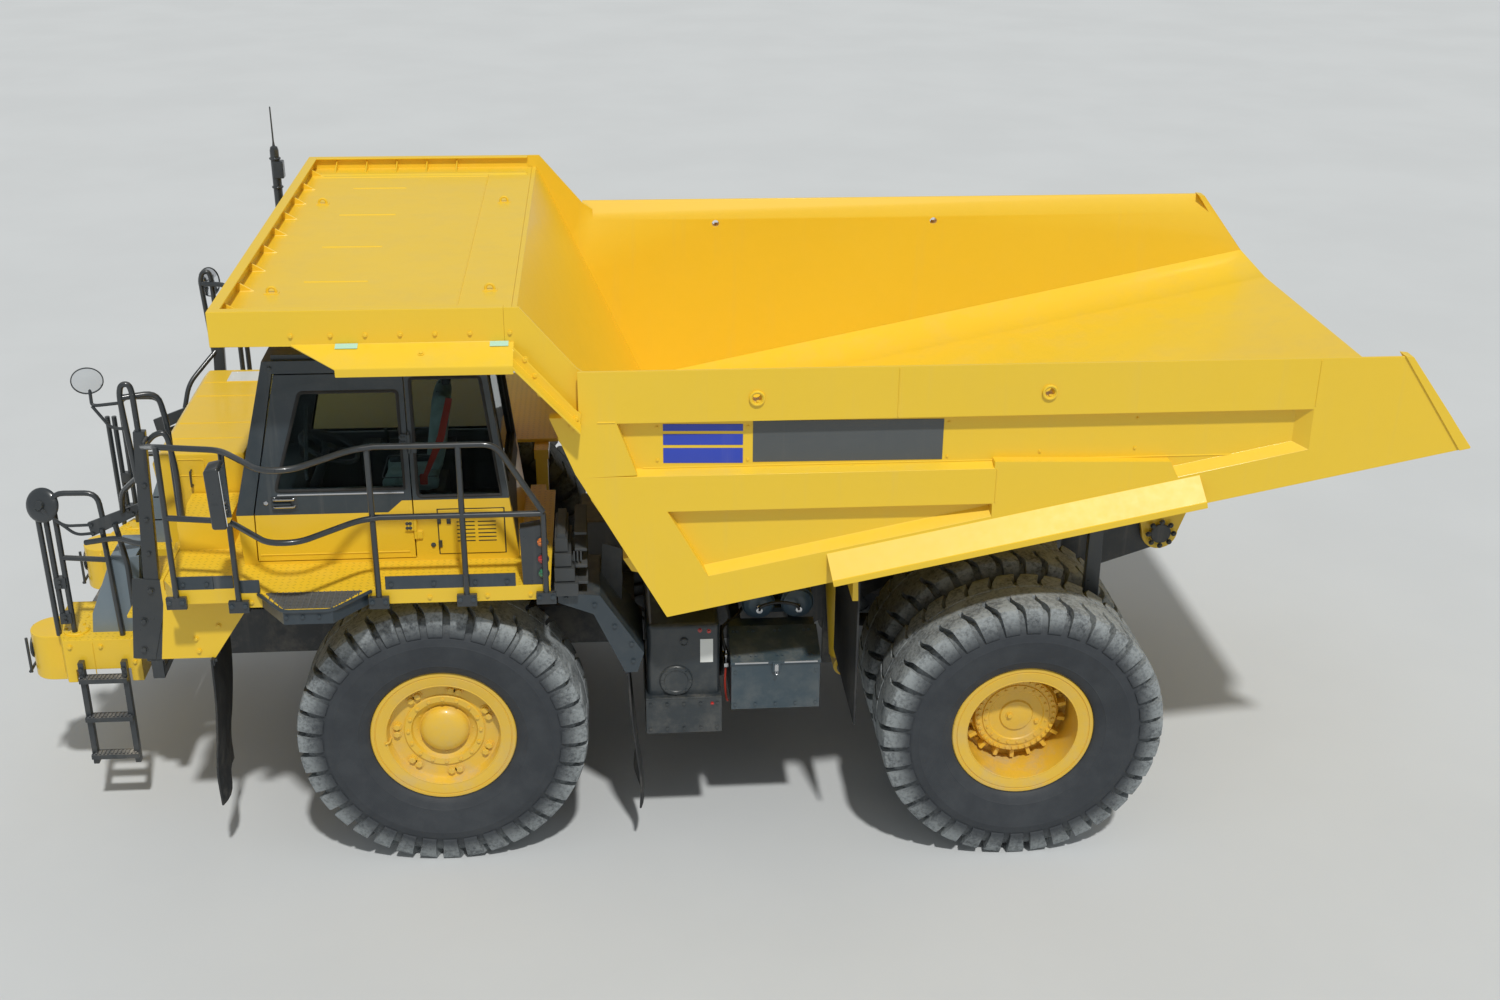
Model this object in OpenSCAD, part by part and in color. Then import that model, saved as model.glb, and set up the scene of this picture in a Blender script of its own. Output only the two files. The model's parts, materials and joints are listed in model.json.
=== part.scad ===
// Rigid haul truck with a rear-dumping body, at its real size, in millimetres.
// Stations along the truck are measured forward from the rear axle; the module
// stations() then moves everything back so that the origin is on the ground under
// the middle of the truck. +X is forward, +Y is the driver's left, +Z is up.

/* [Wheels] */
// Distance between the two axles
wheelbase = 4300; // [4260:10:4340]
// Radius of a tyre out to its lug tips, and height of the wheel centres
tyre_r = 1065; // [1050:5:1075]
// Width of one tyre
tyre_w = 653; // [630:1:660]
// Radius of the tyre bead seat
bead_r = 445; // [440:1:450]
// Radius of the rim flange
flange_r = 534; // [520:1:545]
// Distance from the middle of the truck to the middle of a front tyre
front_track_y = 1745; // [1740:1:1765]
// Distance from the middle of the truck to the middle of an outer rear tyre
rear_outer_y = 1960; // [1950:1:1970]
// Distance from the middle of the truck to the middle of an inner rear tyre
rear_inner_y = 1180; // [1175:1:1190]

/* [Body] */
// Half of the width over the body's side rails
body_half_w = 2284; // [2270:1:2300]
// Height of the top of the side rails
rail_top_z = 4000; // [3980:5:4030]
// Height of a side rail
rail_h = 370; // [340:5:390]
// Height of the canopy's rim
canopy_top_z = 4431; // [4400:1:4460]
// Station of the canopy's front edge
canopy_front_x = 5590; // [5540:10:5620]
// Distance of the canopy's side inside the face of the side rail
canopy_inset = 72; // [54:1:94]
// Fall of the floor towards the front
floor_slope = 11.53; // [11.4:0.01:11.6]
// Height of the body's hinge pins
hinge_z = 1900; // [1890:1:1910]

/* [Cab and decks] */
// Height of the walking decks
deck_z = 2400; // [2390:1:2410]
// Half of the width over the decks
deck_half_w = 2200; // [2180:1:2220]
// Distance from the middle of the truck to the outer face of the cab
cab_out_y = 1750; // [1740:1:1760]
// Width of the cab
cab_w = 1200; // [1180:1:1210]
// Height of the cab roof
cab_top_z = 3930; // [3900:5:3950]
// Height of the handrails above the deck
rail_stand_h = 1080; // [1000:5:1100]

/* [Nose] */
// Height of the flat top of the hood
hood_top_z = 2930; // [2900:5:2960]
// Half of the width of the hood
hood_half_w = 930; // [910:5:935]
// Height of the step platform on the bumper
platform_z = 1500; // [1480:5:1520]
// Radius of the rounded lamp pods at the two ends of the bumper
pod_r = 175; // [160:5:185]

/* [Frame] */
// Half of the width over the two frame rails
frame_half_w = 500; // [490:1:510]
// Width of one frame rail
frame_rail_w = 160; // [140:1:170]

/* [Hidden] */
$fn = 48;

// Colours of the paint, steel, rubber and glass
yellow = "#f2b81f";
charcoal = "#30363b";
rubber = "#232426";
steel = "#8d9196";
glass = "#49565c80";

// Station of the middle of the truck's length, which becomes the origin
mid_x = 2272;
axle_z = tyre_r;
front_x = wheelbase;
tyre_half = tyre_w / 2;

// Frame: rail heights along its length
frame_top_front = 1400;
frame_top_mid = 1800;
frame_top_rear = hinge_z + 150;
frame_bottom = 1000;
frame_arch_z = 1500;
frame_front_x = 6650;
hinge_x = -1450;
hinge_r = 150;
hinge_pin_r = 60;
pin_fit = 0.5;
bed_seat_gap = 0.5;
pad_t = 30;
frame_in_y = frame_half_w - frame_rail_w;

// Bed: outer corners of the side panel, seen from the left
tip_x = -3015;
tip_z = 3315;
toe_x = 2650;
slope_k = tan(floor_slope);
toe_z = tip_z - (toe_x - tip_x) * slope_k;
rail_rear_x = -2480;
front_edge_x = 3259;
rail_front_x = 3224;
mid_rail_top_z = 3270;
canopy_rear_x = 3600;
canopy_depth = 240;
canopy_half_w = body_half_w - canopy_inset;
wall_in_y = body_half_w - 99;
wall_t = 20;
wall_out_y = wall_in_y + wall_t;
plate_t = 25;
floor_half_w = wall_in_y - 385;
bilge_rise = 170;

// Hoist: lower and upper pins, and the lengths of the telescoping pieces
hoist_y = frame_half_w + 160;
hoist_pin_r = 45;
hoist_low = [1150, 850];
hoist_top = [1250, 2300];
hoist_len = norm(hoist_top - hoist_low);
hoist_tilt = atan2(hoist_low[0] - hoist_top[0], hoist_top[1] - hoist_low[1]);

// Steering: kingpins and the equal arms that carry the tie rod
kingpin_y = 1230;
arm_len = 420;
arm_z = 640;
tie_z = 755;
tie_pin_r = 24;

// Height of the underside of the body at a station
function belly_z(x) = toe_z + (toe_x - x) * slope_k;

// Moves everything from stations to the truck's own origin
module stations() { translate([-mid_x, 0, 0]) children(); }

// The same piece on both sides of the truck
module both_sides() {
    children();
    mirror([0, 1, 0]) children();
}

// Outline in X and Z, filled between two distances from the middle
module side_prism(points, y0, y1) {
    translate([0, y1, 0]) rotate([90, 0, 0]) linear_extrude(y1 - y0) polygon(points);
}

// Outline in Y and Z, filled between two stations
module cross_prism(points, x0, x1) {
    translate([x0, 0, 0]) rotate([90, 0, 90]) linear_extrude(x1 - x0) polygon(points);
}

// Outline in X and Y, filled between two heights
module plan_prism(points, z0, z1) {
    translate([0, 0, z0]) linear_extrude(z1 - z0) polygon(points);
}

// Box between two corners
module block(a, b) { translate(a) cube(b - a); }

// Bar between two points, twelve-sided where it is slim
module bar(a, b, d, sides = 12) {
    v = b - a;
    translate(a) rotate([0, acos(v[2] / norm(v)), atan2(v[1], v[0])])
        cylinder(h = norm(v), d = d, $fn = sides);
}

// Bent tube through a list of points, with a ball at each bend
module tube_run(points, d) {
    for (i = [0 : len(points) - 2]) bar(points[i], points[i + 1], d);
    for (i = [1 : len(points) - 2]) translate(points[i]) sphere(d = d * 1.08, $fn = 16);
}

// Round bar along Y
module across(x, z, r, y0, y1, sides = 48) {
    translate([x, y1, z]) rotate([90, 0, 0]) cylinder(h = y1 - y0, r = r, $fn = sides);
}

// Ring or disc turned about a wheel's axis from its radius and width outline
module wheel_turned(points, sides = 96) {
    rotate([-90, 0, 0]) rotate_extrude($fn = sides) polygon(points);
}

// Rim barrel with a flange at both ends; the tyre sits between them
rim_half = 245;
rim_wall = 28;
flange_t = 20;
flange_round = 12;
bead_half = rim_half - 35;
module rim_barrel() {
    half = [[bead_r, bead_half], [flange_r - flange_round, rim_half - flange_t - 10],
        [flange_r, rim_half - flange_t], [flange_r, rim_half], [bead_r - rim_wall, rim_half]];
    wheel_turned(both_halves(half));
}

// Outline of radius and half width, closed by its mirror image
function both_halves(half) = concat(half, [for (i = [len(half) - 1 : -1 : 0]) [half[i][0], -half[i][1]]]);

// Tyre: bead, sidewall and shoulder, clear of the rim by a small fit, with the
// floor of the grooves and the band in the middle of the tread
bead_fit = 0.5;
groove_depth = 60;
band_half = 85;
lug_count = 36;
lug_w = 128;
tyre_half_outline = [
    // radius, distance from the tyre's middle
    [bead_r + bead_fit, bead_half - bead_fit],
    [flange_r - flange_round, rim_half - flange_t - 10 - bead_fit],
    [flange_r + 1, rim_half - flange_t - 2 * bead_fit], [flange_r + 4, rim_half + 5],
    [bead_r + 200, 300], [bead_r + 330, tyre_half], [bead_r + 410, tyre_half - 8],
    [tyre_r - 100, tyre_half - 52], [tyre_r - groove_depth, tyre_half - 100],
    [tyre_r - groove_depth, band_half + 12], [tyre_r - 4, band_half]
];
// Lug across the whole tread: its edge on the sidewall, its shoulder and its top
lug_half_outline = [
    [bead_r + 395, tyre_half - 30], [tyre_r - 47, tyre_half - 12], [tyre_r, tyre_half - 88]
];
module tyre() {
    wheel_turned(both_halves(tyre_half_outline));
    for (i = [0 : lug_count - 1]) rotate([0, i * 360 / lug_count, 0])
        translate([-lug_w / 2, 0, 0]) rotate([0, 0, 90]) rotate([90, 0, 0])
            linear_extrude(lug_w) polygon([for (p = both_halves(lug_half_outline)) [p[1], -p[0]]]);
}

module tyre_front(side) {
    color(rubber) stations() translate([front_x, side * front_track_y, axle_z]) tyre();
}

module tyres_rear(side) {
    color(rubber) stations() for (y = [rear_inner_y, rear_outer_y])
        translate([0, side * y, axle_z]) tyre();
}

// Front rim: recessed disc, hub and domed cap, bored for the spindle
front_disc_y = 70;
spindle_r = 105;
hub_r = 270;
module front_rim_at_origin() {
    difference() {
        union() {
            rim_barrel();
            wheel_turned([[hub_r - 20, front_disc_y], [bead_r - rim_wall + 5, front_disc_y],
                [bead_r - rim_wall + 5, front_disc_y + 35], [hub_r - 20, front_disc_y + 35]]);
            wheel_turned([[0, -200], [hub_r, -200], [hub_r, 85], [230, 120], [178, 128],
                [175, 165], [150, 190], [90, 207], [0, 212]]);
            for (a = [0 : 45 : 315]) rotate([0, a, 0])
                block([325, front_disc_y + 20, -45], [385, front_disc_y + 60, 45]);
        }
        rotate([-90, 0, 0]) translate([0, 0, -260]) cylinder(h = 300, r = spindle_r + pin_fit);
    }
}
module rim_front(side) {
    color(yellow) stations() translate([front_x, side * front_track_y, axle_z])
        scale_side(side) front_rim_at_origin();
}

// A left-hand piece turned into its right-hand twin where side is -1
module scale_side(side) {
    if (side > 0) children();
    else mirror([0, 1, 0]) children();
}

// Rear rims: two barrels, a spacer band, the hub and the round final drive cover
axle_tube_r = 230;
final_drive_r = 310;
module rims_rear(side) {
    color(yellow) stations() scale_side(side) translate([0, 0, axle_z]) difference() {
        union() {
            for (y = [rear_inner_y, rear_outer_y]) translate([0, y, 0]) rim_barrel();
            translate([0, rear_inner_y, 0]) wheel_turned([
                [bead_r - rim_wall, 240], [bead_r, 240],
                [bead_r, rear_outer_y - rear_inner_y - 240],
                [bead_r - rim_wall, rear_outer_y - rear_inner_y - 240]]);
            translate([0, rear_outer_y, 0]) wheel_turned([
                [0, -1020], [380, -1020], [380, -860], [330, -820], [330, -140],
                [bead_r - rim_wall + 5, -140], [bead_r - rim_wall + 5, -100],
                [330, -100], [330, 20], [final_drive_r, 30],
                [final_drive_r, 110], [285, 125], [120, 125], [110, 140], [0, 140]]);
            for (a = [0 : 10 : 350]) rotate([0, a, 0])
                translate([final_drive_r - 14, rear_outer_y + 100, 0]) rotate([-90, 0, 0])
                    cylinder(h = 35, r = 13, $fn = 6);
        }
        rotate([-90, 0, 0]) translate([0, 0, 700]) cylinder(h = 900, r = axle_tube_r + pin_fit);
    }
}

// Frame: two box rails, cross members, hinge pins, hoist and strut brackets
frame_outline = [
    [frame_front_x, frame_bottom], [frame_front_x, frame_top_front],
    [3300, frame_top_front], [2700, frame_top_mid], [hinge_x, frame_top_rear],
    [hinge_x - 130, hinge_z + 75], [hinge_x - hinge_r, hinge_z], [hinge_x - 75, hinge_z - 130],
    [-900, frame_arch_z + 60], [700, frame_arch_z], [1590, frame_bottom]
];
// Pads between frame and bed: the slope of the rail top between the two stations
rail_fall = (frame_top_rear - frame_top_mid) / (2700 - hinge_x);
function rail_top_at(x) = frame_top_mid + (2700 - x) * rail_fall;
cross_members = [
    // station, lower height, upper height
    [6500, 1050, 1350], [4750, 1000, 1200], [3400, 1050, 1400], [2300, 1600, 1750],
    [900, 1560, 1850], [-1250, 1700, 1950]
];
cross_half_len = 110;
tail_x = cross_members[5][0] - cross_half_len;
strut_r = 150;
module frame_rails() {
    color(charcoal) stations() {
        for (c = cross_members)
            block([c[0] - cross_half_len, -frame_in_y, c[1]], [c[0] + cross_half_len, frame_in_y, c[2]]);
        both_sides() {
            side_prism(frame_outline, frame_in_y, frame_half_w);
            strut_bracket();
            hoist_bracket();
            for (x = [2200 : -900 : -500]) translate([x, frame_in_y + 20, rail_top_at(x)])
                rotate([0, atan(rail_fall), 0])
                    block([-220, 0, -8], [220, frame_rail_w - 40, pad_t]);
            across(hinge_x, hinge_z, hinge_pin_r, frame_in_y, frame_half_w + 95);
            across(hinge_x, hinge_z, hinge_pin_r + 25, frame_half_w + 80, frame_half_w + 100);
        }
    }
}
module strut_bracket() {
    cross_prism([[frame_half_w - 40, 1100], [frame_half_w - 40, 1430], [700, 1880],
        [kingpin_y - strut_r, 1880], [kingpin_y - strut_r, 1450], [700, 1300]],
        front_x - 200, front_x + 200);
}
module hoist_bracket() {
    block([hoist_low[0] - 150, frame_half_w - 80, hoist_low[1] - 110],
        [hoist_low[0] + 150, frame_half_w, 1400]);
    across(hoist_low[0], hoist_low[1], hoist_pin_r, frame_half_w - 10, hoist_y + 130);
    across(hoist_low[0], hoist_low[1], 62, hoist_y + 110, hoist_y + 132);
}

// Rear axle: housing with a round differential, axle tubes, rods and two cushions
cushion_x = -480;
diff_half_len = 230;
module rear_axle() {
    color(charcoal) stations() {
        across(0, axle_z, axle_tube_r, -1500, 1500);
        translate([0, 0, axle_z]) rotate([0, 90, 0]) cylinder(h = 2 * diff_half_len, r = 330, center = true);
        translate([-190, 0, axle_z]) sphere(r = 290, $fn = 48);
        both_sides() {
            across(0, axle_z, 300, 500, 800);
            bar([150, 260, 950], [1250, 350, 1085], 110, 24);
            across(1250, 1085, 80, 320, frame_half_w - 80);
            block([cushion_x - 100, 520, axle_z - 60], [60, 790, axle_z + 110]);
            translate([cushion_x, hoist_y, axle_z + 100]) cylinder(h = 420, r = 95);
            translate([cushion_x, hoist_y, axle_z + 500]) cylinder(h = 380, r = 120);
            block([cushion_x - 110, frame_half_w, axle_z + 740],
                [cushion_x + 110, hoist_y + 60, axle_z + 880]);
        }
    }
}

// Front struts: the fixed upper barrels and the lower arms of the front wheels
arm_low_z = 500;
strut_low_z = 1300;
arm_root_x = [front_x - 520, front_x + 430];
module front_struts() {
    color(charcoal) stations() both_sides() {
        translate([front_x, kingpin_y, strut_low_z]) cylinder(h = 660, r = strut_r);
        translate([front_x, kingpin_y, 1950]) cylinder(h = 60, r = 110);
        block([front_x - 180, kingpin_y - strut_r, 1470], [front_x + 180, kingpin_y - 60, 1860]);
        difference() {
            plan_prism([[arm_root_x[0] - 50, 330], [arm_root_x[1] + 50, 330], [arm_root_x[1] + 50, 430],
                [front_x + 110, kingpin_y + 90], [front_x - 110, kingpin_y + 90],
                [arm_root_x[0] - 50, 430]], arm_low_z - 40, arm_low_z + 40);
            plan_prism([[front_x - 250, 520], [front_x + 250, 520], [front_x, 950]],
                arm_low_z - 50, arm_low_z + 50);
        }
        for (x = arm_root_x) block([x - 45, 345, arm_low_z - 60], [x + 45, 430, frame_bottom]);
    }
}

// Heavy masses inside: engine, gearbox and the shaft that joins them to the axle
gearbox_rear_x = 2420;
module power_train() {
    color(charcoal) stations() {
        block([4880, -320, 1210], [6150, 320, 2500]);
        block([3550, -300, 1420], [4890, 300, 1900]);
        block([gearbox_rear_x, -300, 1300], [3280, 300, 2000]);
        bar([3280, 0, 1560], [3570, 0, 1560], 160, 32);
        intersection() {
            bar([2640, 0, 1512], [0, 0, 1091], 150, 32);
            block([diff_half_len, -100, 900], [gearbox_rear_x, 100, 1700]);
        }
    }
}

// Hood: a flat-topped box over the engine, narrower beside the cab
hood_front_x = 6420;
hood_rear_x = 3900;
cab_in_y = cab_out_y - cab_w;
hood_wall = 30;
hood_notch_x = 5740;
module hood() {
    color(yellow) stations() difference() {
        union() {
            side_prism([[hood_notch_x, deck_z], [hood_notch_x, hood_top_z],
                [hood_front_x - 60, hood_top_z], [hood_front_x, hood_top_z - 70],
                [hood_front_x - 110, 1760], [hood_notch_x, 1760]], -hood_half_w, hood_half_w);
            block([hood_rear_x, -hood_half_w, deck_z], [hood_notch_x + 10, cab_in_y - 30, hood_top_z]);
        }
        side_prism([[hood_notch_x + hood_wall, 1700], [hood_notch_x + hood_wall, hood_top_z - hood_wall],
            [hood_front_x - 80, hood_top_z - hood_wall], [hood_front_x + 90, 2560],
            [hood_front_x + 90, 1700]], -hood_half_w + 90, hood_half_w - 90);
        block([hood_rear_x + hood_wall, -hood_half_w + hood_wall, deck_z - 10],
            [hood_notch_x + 60, cab_in_y - 60, hood_top_z - hood_wall]);
        block([hood_notch_x - 10, -hood_half_w + hood_wall, 1700],
            [hood_notch_x + 140, cab_in_y - 60, hood_top_z - 200]);
    }
}

// Radiator core and its grille bars in the front of the hood
radiator_x = 6210;
module radiator() {
    color(charcoal) stations() {
        block([radiator_x, -hood_half_w + 95, 1560], [radiator_x + 90, hood_half_w - 95, 2480]);
        for (y = [-780 : 120 : 780])
            block([radiator_x + 80, y - 12, 1560], [radiator_x + 110, y + 12, 2480]);
        for (y = [-420, 420]) block([radiator_x, y - 60, frame_top_front], [radiator_x + 90, y + 60, 1570]);
    }
}

// Bumper: platform, side faces, middle steps and the rounded lamp pods
bumper_rear_x = 6650;
bumper_front_x = 7250;
platform_half_w = 1125;
pod_y = 770;
pod_x = 7385;
bumper_low_z = 1130;
step_half_w = 470;
headlamp_r = 85;
headlamp_depth = 60;
headlamp_z = bumper_low_z + 150;
module front_bumper() {
    color(yellow) stations() {
        difference() {
            plan_prism([[bumper_rear_x, -platform_half_w], [bumper_front_x - 30, -platform_half_w],
                [bumper_front_x + 90, -pod_y - 60], [bumper_front_x + 90, pod_y + 60],
                [bumper_front_x - 30, platform_half_w], [bumper_rear_x, platform_half_w]],
                bumper_low_z, platform_z);
            block([bumper_rear_x - 10, -step_half_w, 1230],
                [bumper_front_x + 200, step_half_w, platform_z + 10]);
            both_sides() block([bumper_rear_x + 60, step_half_w + 40, bumper_low_z - 10],
                [bumper_front_x - 90, platform_half_w - 30, platform_z - 30]);
            both_sides() block([bumper_rear_x + 90, platform_half_w - 60, bumper_low_z - 10],
                [bumper_front_x - 100, platform_half_w + 10, bumper_low_z + 110]);
        }
        both_sides() difference() {
            union() {
                translate([pod_x, pod_y, bumper_low_z - 70]) cylinder(h = 380, r = pod_r);
                block([bumper_front_x - 40, pod_y - pod_r, bumper_low_z - 70],
                    [pod_x, pod_y + pod_r, bumper_low_z + 310]);
            }
            translate([pod_x + pod_r - headlamp_depth, pod_y, headlamp_z]) rotate([0, 90, 0])
                cylinder(h = headlamp_depth + 10, r = headlamp_r + 4);
        }
        block([frame_front_x, -frame_half_w, frame_bottom + 20], [bumper_rear_x + 90, frame_half_w, 1235]);
    }
    color(charcoal) stations() {
        for (i = [0 : 1]) block([6700 + i * 280, -step_half_w + 15, 1230],
            [6960 + i * 280, step_half_w - 15, 1330 - i * 60]);
    }
}

// Access: hung ladder, platform loops and the leaning column beside the steps
tube_d = 42;
ladder_x = [6775, 7095];
rung_z = [1165, 825, 490];
column_y = 1345;
module front_ladders() {
    color(charcoal) stations() both_sides() {
        for (x = ladder_x) block([x - 22, platform_half_w, 430], [x + 22, platform_half_w + 60, 1330]);
        for (z = rung_z) block([ladder_x[0] - 20, platform_half_w + 5, z],
            [ladder_x[1] + 20, platform_half_w + 95, z + 40]);
        tube_run([[7215, 1010, platform_z], [7215, 1010, 2590], [6930, 1000, 2610],
            [6800, 1060, 2330]], tube_d);
        tube_run([[7100, 1010, platform_z], [7100, 1010, 2200]], tube_d);
        bar([7215, 1010, 2060], [6800, 1060, 2060], tube_d);
        tube_run([[6800, 1060, platform_z], [6800, 1060, 2650], [6560, 1130, 2700],
            [6480, 1300, 2720]], tube_d);
        side_prism([[6400, 1450], [6530, 1450], [6490, 2080], [6340, 3300], [6250, 3300],
            [6380, 2000]], column_y, column_y + 60);
        tube_run([[6330, 1375, 3240], [6430, 1375, 3640], [6310, 1375, 3660], [6270, 1375, 3300]], tube_d);
        block([6410, frame_half_w, 1300], [6500, column_y + 60, 1380]);
        block([6410, column_y, 1380], [6500, column_y + 60, 1460]);
    }
}

// Decks: floor, fascia, beams to the frame, the side boxes and the steps
deck_edge = [
    [5600, deck_half_w], [5640, deck_half_w - 80], [6060, deck_half_w - 80],
    [6160, deck_half_w - 240]
];
deck_rear_x = 3460;
deck_front_x = 6160;
deck_t = 30;
fascia_h = 114;
deck_in_y = cab_in_y - 10;
side_box_z = 1740;
module deck_outline() {
    polygon(concat([[deck_rear_x, deck_in_y], [hood_notch_x - 10, deck_in_y],
        [hood_notch_x - 10, hood_half_w + 10], [deck_front_x, hood_half_w + 10]],
        [for (i = [3 : -1 : 0]) deck_edge[i]], [[deck_rear_x, deck_half_w]]));
}
module deck_common() {
    translate([0, 0, deck_z - deck_t]) linear_extrude(deck_t) deck_outline();
    translate([0, 0, deck_z - fascia_h]) linear_extrude(fascia_h) difference() {
        deck_outline();
        translate([-20, -20]) deck_outline();
    }
    for (x = [3600, 5500]) {
        block([x - 60, frame_in_y + 20, deck_z - fascia_h], [x + 60, deck_half_w - 100, deck_z - deck_t]);
        block([x - 50, frame_in_y + 20, frame_top_front], [x + 50, frame_half_w - 20, deck_z - fascia_h]);
    }
    // Side box under the front of the deck
    side_prism([[6190, deck_z - fascia_h], [5640, deck_z - fascia_h], [5640, 2110], [5890, side_box_z],
        [6270, side_box_z]], deck_half_w - 320, deck_half_w - 295);
    block([6180, column_y, side_box_z], [6205, deck_half_w - 295, deck_z - deck_t]);
    // Two steps from the bumper platform up to the deck
    for (i = [0 : 1]) block([6470 - i * 155, hood_half_w + 10, 1790 + i * 290],
        [6640 - i * 155, column_y, 1815 + i * 290]);
    for (y = [hood_half_w + 10, column_y - 20])
        side_prism([[6160, deck_z], [6210, deck_z], [6650, platform_z + 60], [6650, platform_z - 60],
            [6560, platform_z - 60], [6160, 2200]], y, y + 20);
}
bulge_x = [4720, 4930, 5260, 5450];
module deck_left() {
    color(yellow) stations() {
        deck_common();
        block([5780, hood_half_w + 20, deck_z - 1], [6150, 1480, 2620]);
    }
    color(charcoal) stations() {
        plan_prism([[bulge_x[0], deck_half_w], [bulge_x[1], deck_half_w + 270],
            [bulge_x[2], deck_half_w + 270], [bulge_x[3], deck_half_w]], deck_z - fascia_h, deck_z - 5);
        block([3700, deck_half_w - 14, deck_z], [4600, deck_half_w, deck_z + 95]);
        block([5780, deck_half_w - 94, deck_z], [6040, deck_half_w - 80, deck_z + 95]);
    }
}
module deck_right() {
    color(yellow) stations() mirror([0, 1, 0]) deck_common();
    color(yellow) stations() mirror([0, 1, 0])
        block([hood_rear_x - 440, deck_in_y - 1, deck_z - deck_t],
            [hood_notch_x - 10, hood_half_w + 12, deck_z - 4]);
}

// Cab: hollow shell with its door and window openings
cab_sill_z = deck_z;
cab_outline = [[5640, cab_sill_z], [5660, 2800], [5370, cab_top_z], [3870, cab_top_z], [3690, cab_sill_z]];
far_window = [[3930, 2950], [5300, 2950], [5110, 3780], [3990, 3780]];
rear_window_z = [2950, 3750];
cab_inside = [[5580, cab_sill_z + 60], [5597, 2795], [5322, cab_top_z - 60], [3925, cab_top_z - 60],
    [3757, cab_sill_z + 60]];
door_rear_x = 4430;
door_outline = [[door_rear_x, 2425], [5540, 2425], [5530, 2800], [5300, 3830], [door_rear_x, 3830]];
door_gap = 8;
door_t = 60;
door_window = [[4475, 2965], [5365, 2965], [5360, 3003], [5140, 3700], [4475, 3700]];
side_window = [[3800, 2900], [4385, 2900], [4385, 3790], [3905, 3790]];
front_slope = (cab_outline[1][0] - cab_outline[2][0]) / (cab_top_z - 2800);
rear_slope = (cab_outline[3][0] - cab_outline[4][0]) / (cab_top_z - cab_sill_z);
function cab_front_at(z) = cab_outline[1][0] - (z - 2800) * front_slope;
function cab_rear_at(z) = cab_outline[4][0] + (z - cab_sill_z) * rear_slope;
screen_z = [2880, 3800];
pane_t = 10;
hinge_axis_y = cab_out_y + 14;
door_hinge_z = [2640, 3300];
small_pin_r = 7;
module door_opening() {
    side_prism([[door_rear_x - door_gap, 2425 - door_gap], [5540 + door_gap, 2425 - door_gap],
        [5530 + door_gap, 2802], [5302 + door_gap, 3830 + door_gap],
        [door_rear_x - door_gap, 3830 + door_gap]], cab_out_y - 100, cab_out_y + 50);
}
module cab_shell() {
    color(charcoal) stations() {
        difference() {
            side_prism(cab_outline, cab_in_y, cab_out_y);
            side_prism(cab_inside, cab_in_y + 60, cab_out_y - 60);
            door_opening();
            side_prism(side_window, cab_out_y - 100, cab_out_y + 50);
            side_prism(far_window, cab_in_y - 50, cab_in_y + 100);
            block([5200, cab_in_y + 90, screen_z[0]], [5900, cab_out_y - 90, screen_z[1]]);
            block([3500, cab_in_y + 120, rear_window_z[0]], [4060, cab_out_y - 120, rear_window_z[1]]);
        }
        block([3900, cab_in_y + 30, cab_top_z], [5310, cab_out_y - 30, cab_top_z + 35]);
        for (z = door_hinge_z) {
            translate([door_rear_x - 12, hinge_axis_y, z - 60]) cylinder(h = 60, r = 12, $fn = 24);
            translate([door_rear_x - 12, hinge_axis_y, z - 60]) cylinder(h = 160, r = small_pin_r, $fn = 24);
            block([door_rear_x - 60, cab_out_y, z - 60], [door_rear_x - 12, hinge_axis_y + 4, z - 5]);
        }
    }
}
module cab_glass() {
    color(glass) stations() {
        side_prism(side_window, cab_out_y - 35, cab_out_y - 35 + pane_t);
        side_prism(far_window, cab_in_y + 25, cab_in_y + 25 + pane_t);
        side_prism([for (p = [[0, 25], [0, 35], [1, 35], [1, 25]])
            [cab_front_at(screen_z[p[0]]) - p[1], screen_z[p[0]]]], cab_in_y + 90, cab_out_y - 90);
        side_prism([for (p = [[0, 25], [0, 35], [1, 35], [1, 25]])
            [cab_rear_at(rear_window_z[p[0]]) + p[1], rear_window_z[p[0]]]], cab_in_y + 120, cab_out_y - 120);
    }
}
module cab_door() {
    color(charcoal) stations() difference() {
        union() {
            side_prism(door_outline, cab_out_y - door_t, cab_out_y);
            for (z = door_hinge_z) {
                translate([door_rear_x - 12, hinge_axis_y, z + 2]) cylinder(h = 80, r = 14, $fn = 24);
                block([door_rear_x - 12, cab_out_y, z + 2], [door_rear_x + 60, hinge_axis_y + 4, z + 82]);
            }
            for (z = [2835, 2865]) block([5270, cab_out_y, z], [5400, cab_out_y + 25, z + 14]);
        }
        side_prism(door_window, cab_out_y - 100, cab_out_y + 50);
        for (z = door_hinge_z)
            translate([door_rear_x - 12, hinge_axis_y, z - 10])
                cylinder(h = 110, r = small_pin_r + pin_fit, $fn = 24);
        for (z = door_hinge_z)
            block([door_rear_x - 30, cab_out_y - 1, z - 62], [door_rear_x + 4, hinge_axis_y + 20, z]);
    }
}
module door_glass() {
    color(glass) stations() side_prism(door_window, cab_out_y - 35, cab_out_y - 35 + pane_t);
}

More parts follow.
